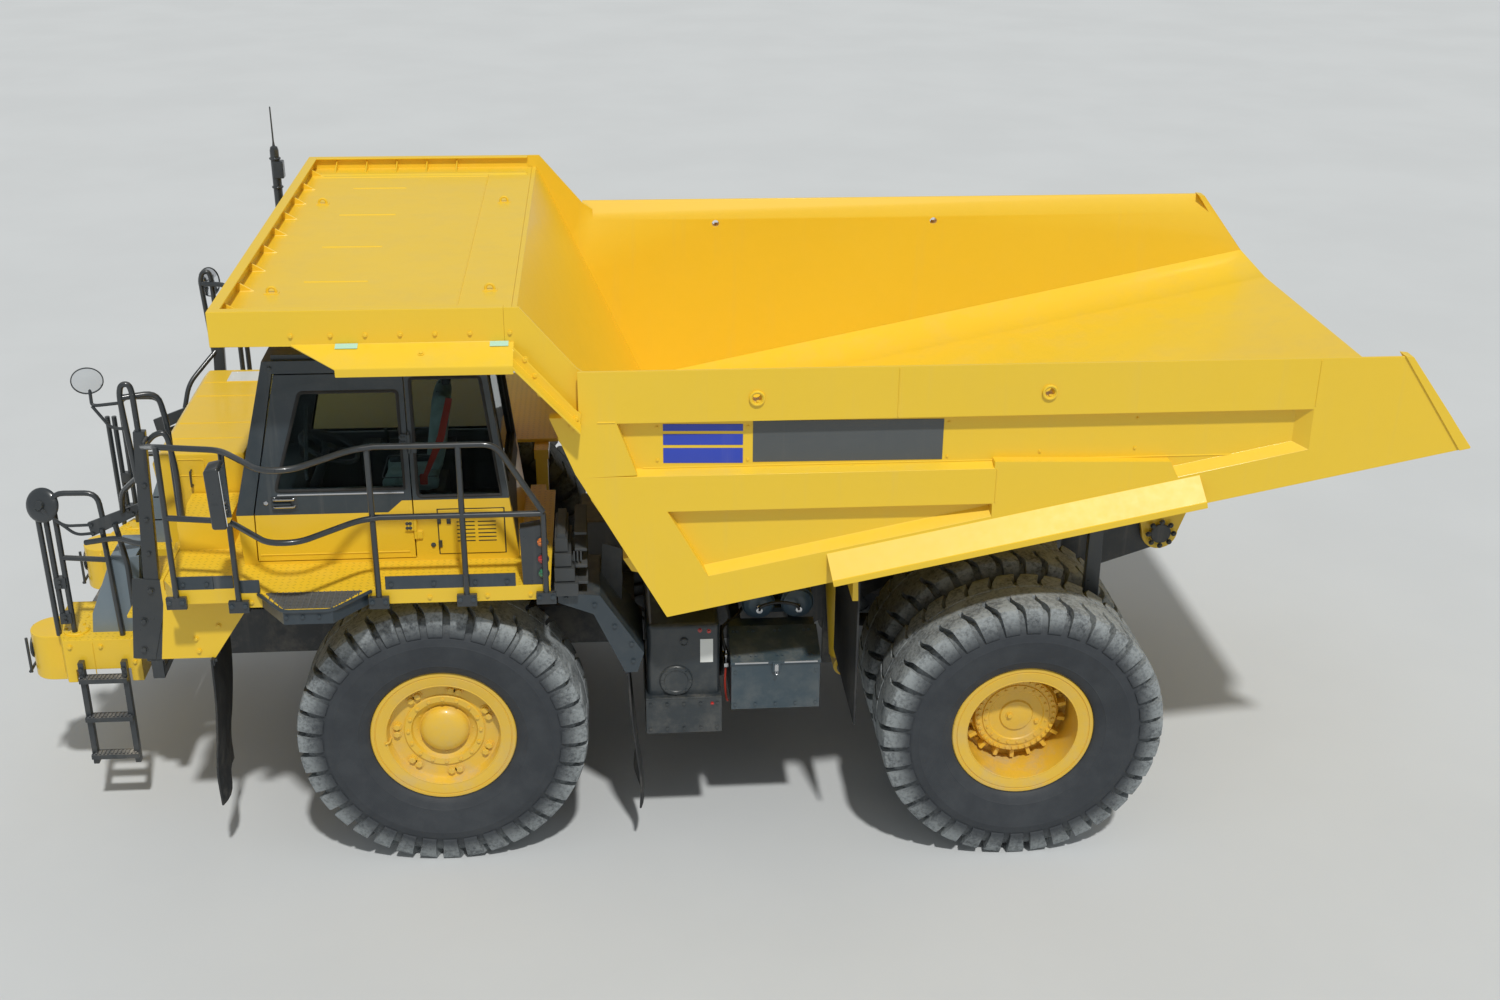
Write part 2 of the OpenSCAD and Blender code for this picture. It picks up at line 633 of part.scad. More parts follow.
// Inside of the cab: dash, seat base, side console, steering column and wheel
seat_y = cab_in_y + 660;
soft_fit = 0.3;
module cab_interior() {
    color(charcoal) stations() {
        side_prism([[5240, cab_sill_z + 60], [5560, cab_sill_z + 60], [5560, 2790], [5470, 2870],
            [5300, 2900], [5240, 2840]], cab_in_y + 62, cab_out_y - 70);
        block([4230, seat_y - 220, cab_sill_z + 60], [4680, seat_y + 220, 2790]);
        block([4200, cab_in_y + 62, cab_sill_z + 60], [4900, cab_in_y + 260, 2900]);
        bar([5250, seat_y, 2655], [5062, seat_y, 3078], 70, 24);
        translate([5062, seat_y, 3078]) rotate([0, -24, 0]) {
            rotate_extrude($fn = 48) translate([215, 0]) circle(r = 17, $fn = 16);
            cylinder(h = 30, r = 55, center = true);
            for (a = [90, 210, 330]) rotate([0, 0, a]) block([40, -14, -8], [212, 14, 8]);
        }
    }
}
module seat_cushions() {
    color("#3b4046") stations() {
        block([4240, seat_y - 250, 2790 + soft_fit], [4700, seat_y + 250, 2920]);
        side_prism([[4240, 2920 + soft_fit], [4360, 2920 + soft_fit], [4270, 3560], [4160, 3560]],
            seat_y - 240, seat_y + 240);
    }
}

// Handrails along both decks, and the whip mast on the right
rail_y = deck_half_w + 2;
front_rail_y = deck_half_w - 54;
rail_z = deck_z + rail_stand_h;
mid_z = deck_z + 560;
post_foot_z = deck_z - 90;
rail_end = [[6300, 1560, 3250], [6300, column_y + 60, 3250]];
mast_x = 5860;
mast_y = 2080;
module rail_post(x, y, top) {
    bar([x, y, post_foot_z], [x, y, top], tube_d);
    block([x - 70, y - 12, post_foot_z - 20], [x + 70, y + 26, post_foot_z + 70]);
}
module rails_rear() {
    for (x = [4645, 4040]) rail_post(x, rail_y + 22, rail_z - 15);
    rail_post(3490, rail_y + 22, mid_z);
    tube_run([[4620, rail_y + 22, rail_z], [3790, rail_y + 22, rail_z],
        [3490, rail_y + 22, mid_z + 10]], tube_d);
    bar([4645, rail_y + 22, mid_z], [3490, rail_y + 22, mid_z], tube_d);
}
module deck_handrails() {
    color(charcoal) stations() {
        rails_rear();
        mirror([0, 1, 0]) rails_rear();
        tube_run([[4645, rail_y + 22, rail_z], [4740, rail_y + 70, rail_z], [5080, rail_y + 390, rail_z],
            [5280, rail_y + 390, rail_z], [5600, rail_y + 24, rail_z], [6040, front_rail_y, rail_z],
            rail_end[0], rail_end[1]], tube_d);
        tube_run([[4645, rail_y + 22, mid_z], [4740, rail_y + 70, mid_z], [5080, rail_y + 390, mid_z],
            [5280, rail_y + 390, mid_z], [5600, rail_y + 24, mid_z], [6040, front_rail_y, mid_z]], tube_d);
        for (p = [[5600, rail_y + 24], [6040, front_rail_y]]) rail_post(p[0], p[1], rail_z);
        mirror([0, 1, 0]) {
            tube_run([[4645, rail_y + 22, rail_z], [5600, rail_y + 24, rail_z], [6040, front_rail_y, rail_z],
                rail_end[0], rail_end[1]], tube_d);
            tube_run([[4645, rail_y + 22, mid_z], [5600, rail_y + 24, mid_z],
                [6040, front_rail_y, mid_z]], tube_d);
            for (p = [[5600, rail_y + 24], [6040, front_rail_y]]) rail_post(p[0], p[1], rail_z);
        }
        translate([mast_x, -mast_y, deck_z]) {
            cylinder(h = 2150, d = 76);
            translate([-60, -60, 0]) cube([120, 120, 12]);
            translate([0, 0, 2100]) cylinder(h = 400, d = 14, $fn = 16);
            translate([-70, -45, 1880]) cube([90, 90, 150]);
        }
    }
}

// Mirrors: round ones on arms and flat boxes on the rail posts
mirror_outline = [[5565, 2995], [5665, 2995], [5680, 3420], [5580, 3440]];
mirror_w = 180;
post_face_y = rail_y + 24 + tube_d / 2;
mirror_left_y = deck_half_w + 70;
mirror_right_y = deck_half_w + 230;
module round_mirror(at, turn, lean) {
    translate(at) rotate([0, lean, turn]) {
        rotate([0, 90, 0]) cylinder(h = 30, r1 = 130, r2 = 118);
        rotate([0, 90, 0]) translate([0, 0, 28]) cylinder(h = 30, r = 35);
    }
}
module mirrors() {
    color(charcoal) stations() {
        round_mirror([6700, 1375, 3660], 20, 12);
        tube_run([[6740, 1388, 3655], [6640, 1375, 3500], [6433, 1375, 3560]], 24);
        round_mirror([7300, 985, 2640], 15, 5);
        bar([7243, 1009, 2563], [7340, 995, 2632], 24);
        side_prism(mirror_outline, mirror_left_y, mirror_left_y + mirror_w);
        bar([5600, post_face_y, 3380], [5600, mirror_left_y + 30, 3380], 30);
        round_mirror([6560, -front_rail_y - 4, 3330], -30, 10);
        tube_run([[6063, -front_rail_y - 5, 3300], [6300, -front_rail_y - 54, 3250],
            [6590, -front_rail_y - 19, 3320]], 24);
        mirror([0, 1, 0]) side_prism(mirror_outline, mirror_right_y, mirror_right_y + mirror_w);
        mirror([0, 1, 0]) bar([5600, post_face_y, 3380], [5600, mirror_right_y + 30, 3380], 30);
    }
}

// Flaps of rubber before and behind the front tyres
flap_t = 15;
guard_low_z = 1560;
guard_out_y = 2000;
side_box_x = 5905;
module mud_flaps() {
    color(rubber) stations() both_sides() {
        block([side_box_x, column_y, 520], [side_box_x + flap_t, deck_half_w - 250, side_box_z]);
        block([2920, column_y, 380], [2920 + flap_t, guard_out_y - 10, guard_low_z]);
    }
}

// Guard plates, beam and the moulded duct behind the front tyres
module duct_stack() {
    color(charcoal) stations() {
        both_sides() {
            side_prism([[3420, 2230], [3120, 2200], [2810, 1720], [2860, guard_low_z], [2950, guard_low_z],
                [3170, 2050], [3420, 2150]], column_y - 15, guard_out_y);
            block([2860, frame_half_w, guard_low_z], [2950, 1335, guard_low_z + 80]);
        }
        for (i = [0 : 3]) block([3270 + i * 22, 1500 + i * 12, 2232 + i * 108],
            [3440 - i * 4, 2060 - i * 20, 2330 + i * 108]);
        side_prism([[3300, 2230], [3430, 2230], [3410, 2690], [3350, 2690]], 1540, 1980);
    }
}

// Tanks, battery box and air cylinders between the axles
tank_x = [2250, 2790];
tank_top_z = 1880;
module tank_body(x0, x1, y1, z0, z1) {
    r = 60;
    side_prism(concat(
        [for (a = [0 : 15 : 90]) [x1 - r + r * cos(a), z1 - r + r * sin(a)]],
        [for (a = [90 : 15 : 180]) [x0 + r + r * cos(a), z1 - r + r * sin(a)]],
        [for (a = [180 : 15 : 270]) [x0 + r + r * cos(a), z0 + r + r * sin(a)]],
        [for (a = [270 : 15 : 360]) [x1 - r + r * cos(a), z0 + r + r * sin(a)]]), 800, y1);
}
module hydraulic_tank() {
    color(charcoal) stations() {
        tank_body(tank_x[0], tank_x[1], 1880, 1010, tank_top_z);
        block([tank_x[0] - 15, 1000, 985], [tank_x[1] + 15, 1930, 1290]);
        across(2520, 1560, 105, 1870, 1905);
        across(2520, 1720, 28, 1870, 1900);
        for (x = [2330, 2640]) block([x, frame_half_w, 1180], [x + 80, 810, 1360]);
    }
}
module fuel_tank() {
    color(charcoal) stations() mirror([0, 1, 0]) {
        tank_body(1560, tank_x[1], 1900, 860, tank_top_z - 80);
        across(1860, 1500, 70, 1890, 1930);
        for (x = [1760, 2480]) block([x, frame_half_w, 1180], [x + 90, 810, 1360]);
    }
}
battery_x = [1500, 2165];
battery_z = [1157, 1535];
lid_in = [1560, 1665];
lid_out = [1905, 1541];
module battery_box() {
    color(charcoal) stations() {
        difference() {
            cross_prism([[1380, battery_z[0]], [1900, battery_z[0]], [1900, battery_z[1]],
                [lid_in[0] + 5, lid_in[1] - 13], [lid_in[0] - 20, lid_in[1] - 13], [1380, lid_in[1] - 13]],
                battery_x[0], battery_x[1]);
            cross_prism([[1420, battery_z[0] + 30], [1870, battery_z[0] + 30],
                [1870, battery_z[1] + 200], [1590, battery_z[1] + 200], [1560, 1600], [1420, 1600]],
                battery_x[0] + 30, battery_x[1] - 30);
        }
        for (x = [1560, 2020]) block([x, frame_half_w, 1250], [x + 80, 1385, 1400]);
        for (x = [1600, 2000]) translate([x, lid_in[0] - 12, lid_in[1] - 13]) {
            translate([0, -10, 0]) cube([50, 20, 10]);
            translate([0, 0, 14]) rotate([0, 90, 0]) cylinder(h = 50, r = 14, $fn = 24);
            translate([0, 0, 14]) rotate([0, 90, 0]) cylinder(h = 115, r = small_pin_r, $fn = 24);
        }
    }
}
module battery_lid() {
    color(charcoal) stations() {
        difference() {
            union() {
                cross_prism([[lid_in[0], lid_in[1] - 2], [lid_out[0] + 5, lid_out[1] - 2],
                    [lid_out[0] + 5, lid_out[1] + 24], [lid_in[0], lid_in[1] + 18]],
                    battery_x[0] - 5, battery_x[1] + 5);
                for (x = [1652, 2052]) translate([x, lid_in[0] - 12, lid_in[1] + 1])
                    rotate([0, 90, 0]) cylinder(h = 60, r = 14, $fn = 24);
            }
            for (x = [1640, 2040]) translate([x, lid_in[0] - 12, lid_in[1] + 1])
                rotate([0, 90, 0]) cylinder(h = 90, r = small_pin_r + pin_fit, $fn = 24);
            for (x = [1590, 1990]) block([x, lid_in[0] - 20, lid_in[1] - 20],
                [x + 61, lid_in[0] + 6, lid_in[1] + 40]);
        }
        block([1800, 1902, 1480], [1860, 1922, 1560]);
    }
}
module air_cylinders() {
    color("#3d5568") stations() {
        for (x = [1630, 1930]) {
            across(x, 1810, 125, 820, 1440);
            translate([x, 1435, 1810]) rotate([-90, 0, 0])
                rotate_extrude($fn = 48) polygon([[0, 0], [125, 0], [110, 30], [70, 52], [0, 60]]);
        }
        block([1560, frame_half_w, 1655], [2000, 1300, 1690]);
    }
}

// Lamps: headlamps in the pods, rear clusters on the decks and tail lamps
module lamps() {
    color(charcoal) stations() both_sides() {
        translate([3565, 0, 0]) side_prism([[-85, deck_z], [85, deck_z], [95, 2830], [-60, 2860]],
            deck_half_w - 110, deck_half_w - 6);
        for (z = [2600, 2730]) across(3505, z, 38, deck_half_w - 8, deck_half_w + 2, 24);
        translate([pod_x + pod_r - headlamp_depth, pod_y, headlamp_z]) rotate([0, 90, 0])
            cylinder(h = headlamp_depth - 4, r = headlamp_r);
        block([tail_x - 60, 60, 1760], [tail_x, 210, 1870]);
    }
}

// Steered knuckles: kingpin post, spindle, brake drum and the arm for the tie rod
tie_x = front_x - arm_len;
module knuckle(side) {
    color(steel) stations() scale_side(side) difference() {
        union() {
            translate([front_x, kingpin_y, 560]) cylinder(h = 600, r = 112);
            translate([front_x, kingpin_y, 1100]) cylinder(h = strut_low_z - 1100 - pin_fit, r = 100);
            across(front_x, axle_z, spindle_r, kingpin_y, front_track_y - 20);
            across(front_x, axle_z, 330, kingpin_y + strut_r + 8, front_track_y - 215);
            across(front_x, axle_z, 160, kingpin_y, kingpin_y + strut_r + 20);
            block([tie_x, kingpin_y - 45, arm_z], [front_x, kingpin_y + 45, arm_z + 80]);
            translate([tie_x, kingpin_y, arm_z]) cylinder(h = 80, r = 65);
            translate([tie_x, kingpin_y, arm_z]) cylinder(h = 190, r = tie_pin_r);
            translate([front_x, kingpin_y, arm_low_z + 40 + pin_fit]) cylinder(h = 30, r = 60);
        }
    }
}
module tie_rod() {
    color(steel) stations() difference() {
        union() {
            for (s = [-1, 1]) translate([tie_x, s * kingpin_y, tie_z - 30]) cylinder(h = 60, r = 58);
            bar([tie_x, -kingpin_y + 40, tie_z], [tie_x, kingpin_y - 40, tie_z], 56, 32);
        }
        for (s = [-1, 1]) translate([tie_x, s * kingpin_y, tie_z - 60])
            cylinder(h = 120, r = tie_pin_r + pin_fit);
    }
}

// Bed: the frame of its sloping floor, with X along the floor from the toe
module along_floor() { translate([toe_x, 0, toe_z]) rotate([0, floor_slope, 0]) children(); }
function on_floor(x) = (x - toe_x) / cos(floor_slope);
function rear_edge_at(z) = rail_rear_x + (rail_top_z - z) * (tip_x - rail_rear_x) / (rail_top_z - tip_z);
rail_slant = 154;
rail_low_z = rail_top_z - rail_h;
panel_outline = [
    [rear_edge_at(rail_top_z - rail_slant), rail_top_z - rail_slant],
    [front_edge_x, rail_top_z - rail_slant], [front_edge_x, mid_rail_top_z],
    [toe_x, toe_z], [tip_x, tip_z]
];
bed_outline = [
    [rail_rear_x, rail_top_z], [front_edge_x + 600, rail_top_z + 800],
    [front_edge_x, mid_rail_top_z], [toe_x, toe_z], [tip_x, tip_z]
];
flare_outline = [
    [rail_front_x - 90, rail_low_z + 20], [rail_front_x - 90, rail_top_z - 60], [rail_front_x, rail_top_z],
    [canopy_rear_x - 10, canopy_top_z], [canopy_rear_x + 90, canopy_top_z],
    [canopy_rear_x + 90, canopy_top_z - canopy_depth], [front_edge_x + 30, rail_low_z - 30],
    [front_edge_x, rail_low_z - 120]
];
wall_rear = [[3620, canopy_top_z - 100], [2627, toe_z + 12]];
wall_front = [[3655, canopy_top_z - 131], [2662, toe_z + 5]];
wall_outline = [wall_rear[0], [wall_front[0][0], wall_rear[0][1]], wall_front[0], wall_front[1],
    wall_rear[1]];
function wall_front_at(z) = wall_front[1][0]
    + (z - wall_front[1][1]) * (wall_front[0][0] - wall_front[1][0]) / (wall_front[0][1] - wall_front[1][1]);

module bed_front_wall() {
    color(yellow) stations() {
        side_prism(wall_outline, -wall_in_y, wall_in_y);
        for (z = [2420, 2880, 3340, 3800])
            side_prism([[wall_front_at(z) - 5, z], [wall_front_at(z) + 110, z + 30],
                [wall_front_at(z + 150) + 100, z + 130], [wall_front_at(z + 150) - 5, z + 150]],
                -wall_in_y + 60, wall_in_y - 60);
    }
}

// Cross ribs under the floor: station and length along the floor
floor_ribs = [[1650, 230], [960, 200], [380, 220], [-180, 220], [-940, 220], [-1780, 230], [-2660, 420]];
rib_h = 165;
beam_in_y = frame_in_y + 5;
beam_out_y = frame_half_w - 5;
function seat_z(x) = rail_top_at(x) + pad_t + bed_seat_gap;
ejector_x = -600;
ejector_y = (rear_inner_y + rear_outer_y) / 2;
ejector_z = 2630;
ejector_pin_r = 24;
module bed_floor() {
    color(yellow) stations() difference() {
        union() {
            intersection() {
                along_floor() cross_prism([[-wall_in_y, bilge_rise + plate_t], [-wall_in_y, bilge_rise],
                    [-floor_half_w, 0], [floor_half_w, 0], [wall_in_y, bilge_rise],
                    [wall_in_y, bilge_rise + plate_t], [floor_half_w, plate_t], [-floor_half_w, plate_t]],
                    -5900, 300);
                side_prism(bed_outline, -wall_in_y, wall_in_y);
            }
            along_floor() for (r = floor_ribs)
                cross_prism([[-wall_in_y + 45, bilge_rise - 20], [-wall_in_y + 45, -60],
                    [-floor_half_w + 50, -rib_h], [floor_half_w - 50, -rib_h], [wall_in_y - 45, -60],
                    [wall_in_y - 45, bilge_rise - 20], [floor_half_w, 3], [-floor_half_w, 3]],
                    on_floor(r[0]) - r[1] / 2, on_floor(r[0]) + r[1] / 2);
            both_sides() {
                side_prism([[2540, belly_z(2540)], [-2700, belly_z(-2700)], [-2650, belly_z(-2650) - 160],
                    [hinge_x - 160, hinge_z + 190], [hinge_x, seat_z(hinge_x)], [2540, seat_z(2540)]],
                    beam_in_y, beam_out_y);
                across(hinge_x, hinge_z, hinge_r, frame_half_w + 10, frame_half_w + 60);
                side_prism([[hinge_x - hinge_r, hinge_z], [hinge_x + hinge_r, hinge_z],
                    [hinge_x + 380, belly_z(hinge_x + 380) + 5], [hinge_x - 560, belly_z(hinge_x - 560) + 5]],
                    frame_half_w + 10, frame_half_w + 60);
                for (y = [hoist_y - 100, hoist_y + 75]) {
                    across(hoist_top[0], hoist_top[1], 75, y, y + 25);
                    side_prism([[hoist_top[0] - 75, hoist_top[1]], [hoist_top[0] + 75, hoist_top[1]],
                        [hoist_top[0] + 120, belly_z(hoist_top[0] + 120) + 5],
                        [hoist_top[0] - 120, belly_z(hoist_top[0] - 120) + 5]], y, y + 25);
                }
                for (y = [ejector_y - 60, ejector_y + 42])
                    side_prism([[ejector_x - 70, ejector_z - 50], [ejector_x + 70, ejector_z - 50],
                        [ejector_x + 100, belly_z(ejector_x + 100) + 5],
                        [ejector_x - 100, belly_z(ejector_x - 100) + 5]], y, y + 18);
                across(ejector_x, ejector_z, ejector_pin_r, ejector_y - 60, ejector_y + 60, 24);
            }
        }
        both_sides() across(hinge_x, hinge_z, hinge_pin_r + pin_fit, frame_half_w - 5, frame_half_w + 80);
        side_prism([wall_rear[0], [6000, wall_rear[0][1]], [6000, 1000],
            [wall_rear[1][0] - (wall_rear[1][1] - 1000) * 0.46, 1000]], -3000, 3000);
    }
}

// Side of the bed: plate, top rail, gussets, middle rail, sill, tail panel and tyre guard
seam_x = 369;
pocket_rear_x = -1833;
hole_x = [2029, 35];
guard_x = [1484, -1125];
guard_out = 130;
module side_outer_parts() {
    cross_prism([[wall_in_y, rail_top_z - rail_slant], [body_half_w - 22, rail_top_z],
        [body_half_w, rail_top_z], [body_half_w, rail_low_z], [wall_in_y, rail_low_z]], -3200, rail_front_x);
    side_prism([[front_edge_x + 300, rail_low_z + 50], [2988, rail_low_z + 50], [2839, mid_rail_top_z - 20],
        [front_edge_x + 300, mid_rail_top_z - 40]], wall_in_y, body_half_w);
    cross_prism([[wall_out_y - 5, mid_rail_top_z], [body_half_w, mid_rail_top_z - 30], [body_half_w, 2974],
        [wall_out_y - 5, 2948]], seam_x, front_edge_x + 300);
    side_prism([[seam_x + 10, 3292], [-862, 3262], [-926, 3140], [-926, belly_z(-926) + 200],
        [seam_x + 10, belly_z(seam_x) + 200]], wall_out_y - 5, body_half_w);
    side_prism([[front_edge_x + 300, 2990], [2647, 2990], [2387, 2526], [2340, 2440], [toe_x + 300, 2200]],
        wall_in_y, body_half_w);
    along_floor() cross_prism([[wall_in_y, 0], [body_half_w, 0], [body_half_w, 250],
        [wall_out_y - 3, 305], [wall_in_y, 305]], -5900, 300);
    plan_prism([[pocket_rear_x, body_half_w], [pocket_rear_x + 100, wall_out_y - 5],
        [-3200, wall_out_y - 5], [-3200, body_half_w]], 3150, rail_low_z + 20);
    side_prism([[rail_rear_x - 10, rail_top_z + 10], [rail_rear_x + 60, rail_top_z + 10],
        [tip_x + 70, tip_z - 40], [tip_x - 20, tip_z - 40]], wall_in_y, body_half_w + 12);
}
module bed_side(side) {
    color(yellow) stations() scale_side(side) difference() {
        union() {
            side_prism(panel_outline, wall_in_y, wall_out_y);
            side_prism(flare_outline, wall_in_y, canopy_half_w);
            intersection() {
                side_outer_parts();
                side_prism(bed_outline, wall_in_y - 10, body_half_w + 100);
            }
            along_floor() {
                cross_prism([[body_half_w - 8, 205], [body_half_w - 8, 240], [body_half_w + guard_out, 70],
                    [body_half_w + guard_out - 14, 58]], on_floor(guard_x[1]), on_floor(guard_x[0]));
                cross_prism([[body_half_w + guard_out - 12, 76], [body_half_w + guard_out + 4, 76],
                    [body_half_w + guard_out + 4, 30], [body_half_w + guard_out - 12, 30]],
                    on_floor(guard_x[1]), on_floor(guard_x[0]));
            }
            for (x = hole_x) across(x, 3795, 52, body_half_w - 20, body_half_w + 10, 32);
        }
        for (x = hole_x) across(x, 3795, 32, wall_in_y - 20, body_half_w + 20, 32);
    }
}

// Canopy over the cab, with rims, channel gussets, ribs and the left-hand skirt
canopy_plate_z = canopy_top_z - 100;
skirt_x = [canopy_rear_x + 90, 4770, 5080];
skirt_out = 230;
module bed_canopy() {
    beam_t = 40;
    low = canopy_top_z - canopy_depth;
    color(yellow) stations() {
        block([wall_front[0][0], -canopy_half_w + beam_t - 5, canopy_plate_z - plate_t],
            [canopy_front_x - 30, canopy_half_w - beam_t + 5, canopy_plate_z]);
        both_sides() {
            block([canopy_rear_x + 90, canopy_half_w - beam_t, low],
                [canopy_front_x, canopy_half_w, canopy_top_z]);
            block([canopy_rear_x + 90, canopy_half_w - 75, canopy_top_z - 14],
                [canopy_front_x, canopy_half_w - 10, canopy_top_z]);
            cross_prism([[canopy_half_w - 330, canopy_plate_z - 8],
                [canopy_half_w - 300, canopy_plate_z + 12], [canopy_half_w - 250, canopy_plate_z + 12],
                [canopy_half_w - 250, canopy_plate_z - 8]],
                canopy_rear_x + 90, canopy_front_x - 120);
            for (x = [4300, 4560, 4820, 5080, 5340])
                cross_prism([[canopy_half_w - 30, canopy_plate_z - 5],
                    [canopy_half_w - 30, canopy_top_z - 20], [canopy_half_w - 250, canopy_plate_z - 5]],
                    x, x + 12);
            for (y = [480, 1430]) block([wall_front[0][0], y - 45, canopy_plate_z - 120],
                [canopy_front_x - 20, y + 45, canopy_plate_z - plate_t + 2]);
        }
        block([canopy_front_x - beam_t, -canopy_half_w, low], [canopy_front_x, canopy_half_w, canopy_top_z]);
        block([canopy_front_x - 75, -canopy_half_w, canopy_top_z - 14],
            [canopy_front_x, canopy_half_w, canopy_top_z]);
        for (y = [-1900 : 475 : 1900])
            side_prism([[canopy_front_x - 30, canopy_plate_z - 5], [canopy_front_x - 30, canopy_top_z - 20],
                [canopy_front_x - 170, canopy_plate_z - 5]], y - 6, y + 6);
        intersection() {
            cross_prism([[canopy_half_w - 5, low + 12], [canopy_half_w - 5, low],
                [canopy_half_w + skirt_out, low - 92], [canopy_half_w + skirt_out, low - 80]],
                skirt_x[0] - 60, skirt_x[2]);
            plan_prism([[skirt_x[0] - 60, canopy_half_w], [skirt_x[0] + 5, canopy_half_w],
                [skirt_x[0] + 5, canopy_half_w - 5], [skirt_x[2], canopy_half_w - 5],
                [skirt_x[1], canopy_half_w + skirt_out], [skirt_x[0] - 60, canopy_half_w + skirt_out]],
                low - 200, low + 100);
        }
        block([skirt_x[0] - 60, canopy_half_w + skirt_out - 12, low - 140],
            [skirt_x[1], canopy_half_w + skirt_out, low - 80]);
        side_prism([[skirt_x[0] - 55, low + 2], [skirt_x[0] - 55, low - 92], [3215, rail_low_z - 10],
            [3205, rail_low_z + 80], [3250, rail_low_z + 120]], body_half_w + 4, body_half_w + 14);
        side_prism([[skirt_x[0] - 50, low - 80], [skirt_x[0] - 40, low - 92], [3215, rail_low_z - 10],
            [3205, rail_low_z + 2]], body_half_w + 4, canopy_half_w + skirt_out);
    }
}

// Hoist cylinders in two stages, drawn lowered; each stands on its lower pin
barrel_r = 112;
stage_r = 85;
rod_r = 60;
slide_fit = 0.5;
module hoist_frame(side) {
    stations() scale_side(side) translate([hoist_low[0], hoist_y, hoist_low[1]])
        rotate([0, -hoist_tilt, 0]) children();
}
module hoist_barrel(side) {
    color(yellow) hoist_frame(side) {
        difference() {
            union() {
                translate([0, 0, 75]) cylinder(h = 1105, r = barrel_r);
                translate([0, 0, 1120]) cylinder(h = 60, r = barrel_r + 10);
                translate([0, 95, 0]) rotate([90, 0, 0]) cylinder(h = 190, r = 90);
            }
            translate([0, 0, 110]) cylinder(h = 1100, r = stage_r + slide_fit);
            translate([0, 100, 0]) rotate([90, 0, 0]) cylinder(h = 200, r = hoist_pin_r + pin_fit);
        }
    }
}
module hoist_tube(side) {
    color(steel) hoist_frame(side) difference() {
        union() {
            translate([0, 0, 115]) cylinder(h = 1150, r = stage_r);
            translate([0, 0, 1190]) cylinder(h = 75, r = stage_r + 14);
        }
        translate([0, 0, 135]) cylinder(h = 1200, r = rod_r + slide_fit);
    }
}
module hoist_rod(side) {
    color(steel) hoist_frame(side) difference() {
        union() {
            translate([0, 0, 140]) cylinder(h = hoist_len - 190, r = rod_r);
            translate([0, 62, hoist_len]) rotate([90, 0, 0]) cylinder(h = 124, r = 62);
        }
        translate([0, 70, hoist_len]) rotate([90, 0, 0]) cylinder(h = 140, r = 26);
    }
}

// Bars that hang between the twin tyres and knock stones out
module rock_ejector(side) {
    color(yellow) stations() scale_side(side) difference() {
        union() {
            side_prism([[ejector_x - 50, ejector_z], [ejector_x + 50, ejector_z], [ejector_x + 60, 1720],
                [ejector_x + 30, 1640], [ejector_x - 60, 1640]], ejector_y - 32, ejector_y + 32);
            across(ejector_x, ejector_z, 50, ejector_y - 32, ejector_y + 32);
        }
        across(ejector_x, ejector_z, ejector_pin_r + pin_fit, ejector_y - 50, ejector_y + 50, 24);
    }
}

// Flaps hung from the body before the rear tyres
bracket_x = [1277, 1317];
module bed_flaps() {
    color(rubber) stations() both_sides() {
        block([bracket_x[0] - flap_t, 1000, 1150], [bracket_x[0], body_half_w - 120, 2330]);
    }
    color(yellow) stations() both_sides()
        side_prism([[bracket_x[0], 2180], [bracket_x[1], 2180], [bracket_x[1], belly_z(bracket_x[1])],
            [bracket_x[0], belly_z(bracket_x[0])]], 1300, body_half_w - 120);
}

frame_rails();
rear_axle();
front_struts();
power_train();
hood();
radiator();
front_bumper();
front_ladders();
deck_left();
deck_right();
cab_shell();
cab_glass();
cab_interior();
seat_cushions();
cab_door();
door_glass();
deck_handrails();
mirrors();
mud_flaps();
duct_stack();
hydraulic_tank();
fuel_tank();
battery_box();
battery_lid();
air_cylinders();
lamps();
knuckle(1);  // knuckle_left
knuckle(-1);  // knuckle_right
tie_rod();
tyre_front(1);  // tyre_front_left
tyre_front(-1);  // tyre_front_right
rim_front(1);  // rim_front_left
rim_front(-1);  // rim_front_right
tyres_rear(1);  // tyres_rear_left
tyres_rear(-1);  // tyres_rear_right
rims_rear(1);  // rims_rear_left
rims_rear(-1);  // rims_rear_right
bed_floor();
bed_front_wall();
bed_side(1);  // bed_side_left
bed_side(-1);  // bed_side_right
bed_canopy();
bed_flaps();
hoist_barrel(1);  // hoist_barrel_left
hoist_barrel(-1);  // hoist_barrel_right
hoist_tube(1);  // hoist_tube_left
hoist_tube(-1);  // hoist_tube_right
hoist_rod(1);  // hoist_rod_left
hoist_rod(-1);  // hoist_rod_right
rock_ejector(1);  // rock_ejector_left
rock_ejector(-1);  // rock_ejector_right
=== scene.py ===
"""Looks of the rigid mining dump truck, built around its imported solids.

Every length is in metres in the truck's own frame: +X forward, +Y to the driver's left, +Z up, with
the origin on the ground under the middle of the truck.
"""
import json
import logging
import math
from dataclasses import dataclass
from enum import Enum
from typing import Callable, Iterable, Sequence

import bpy
from mathutils import Matrix, Vector

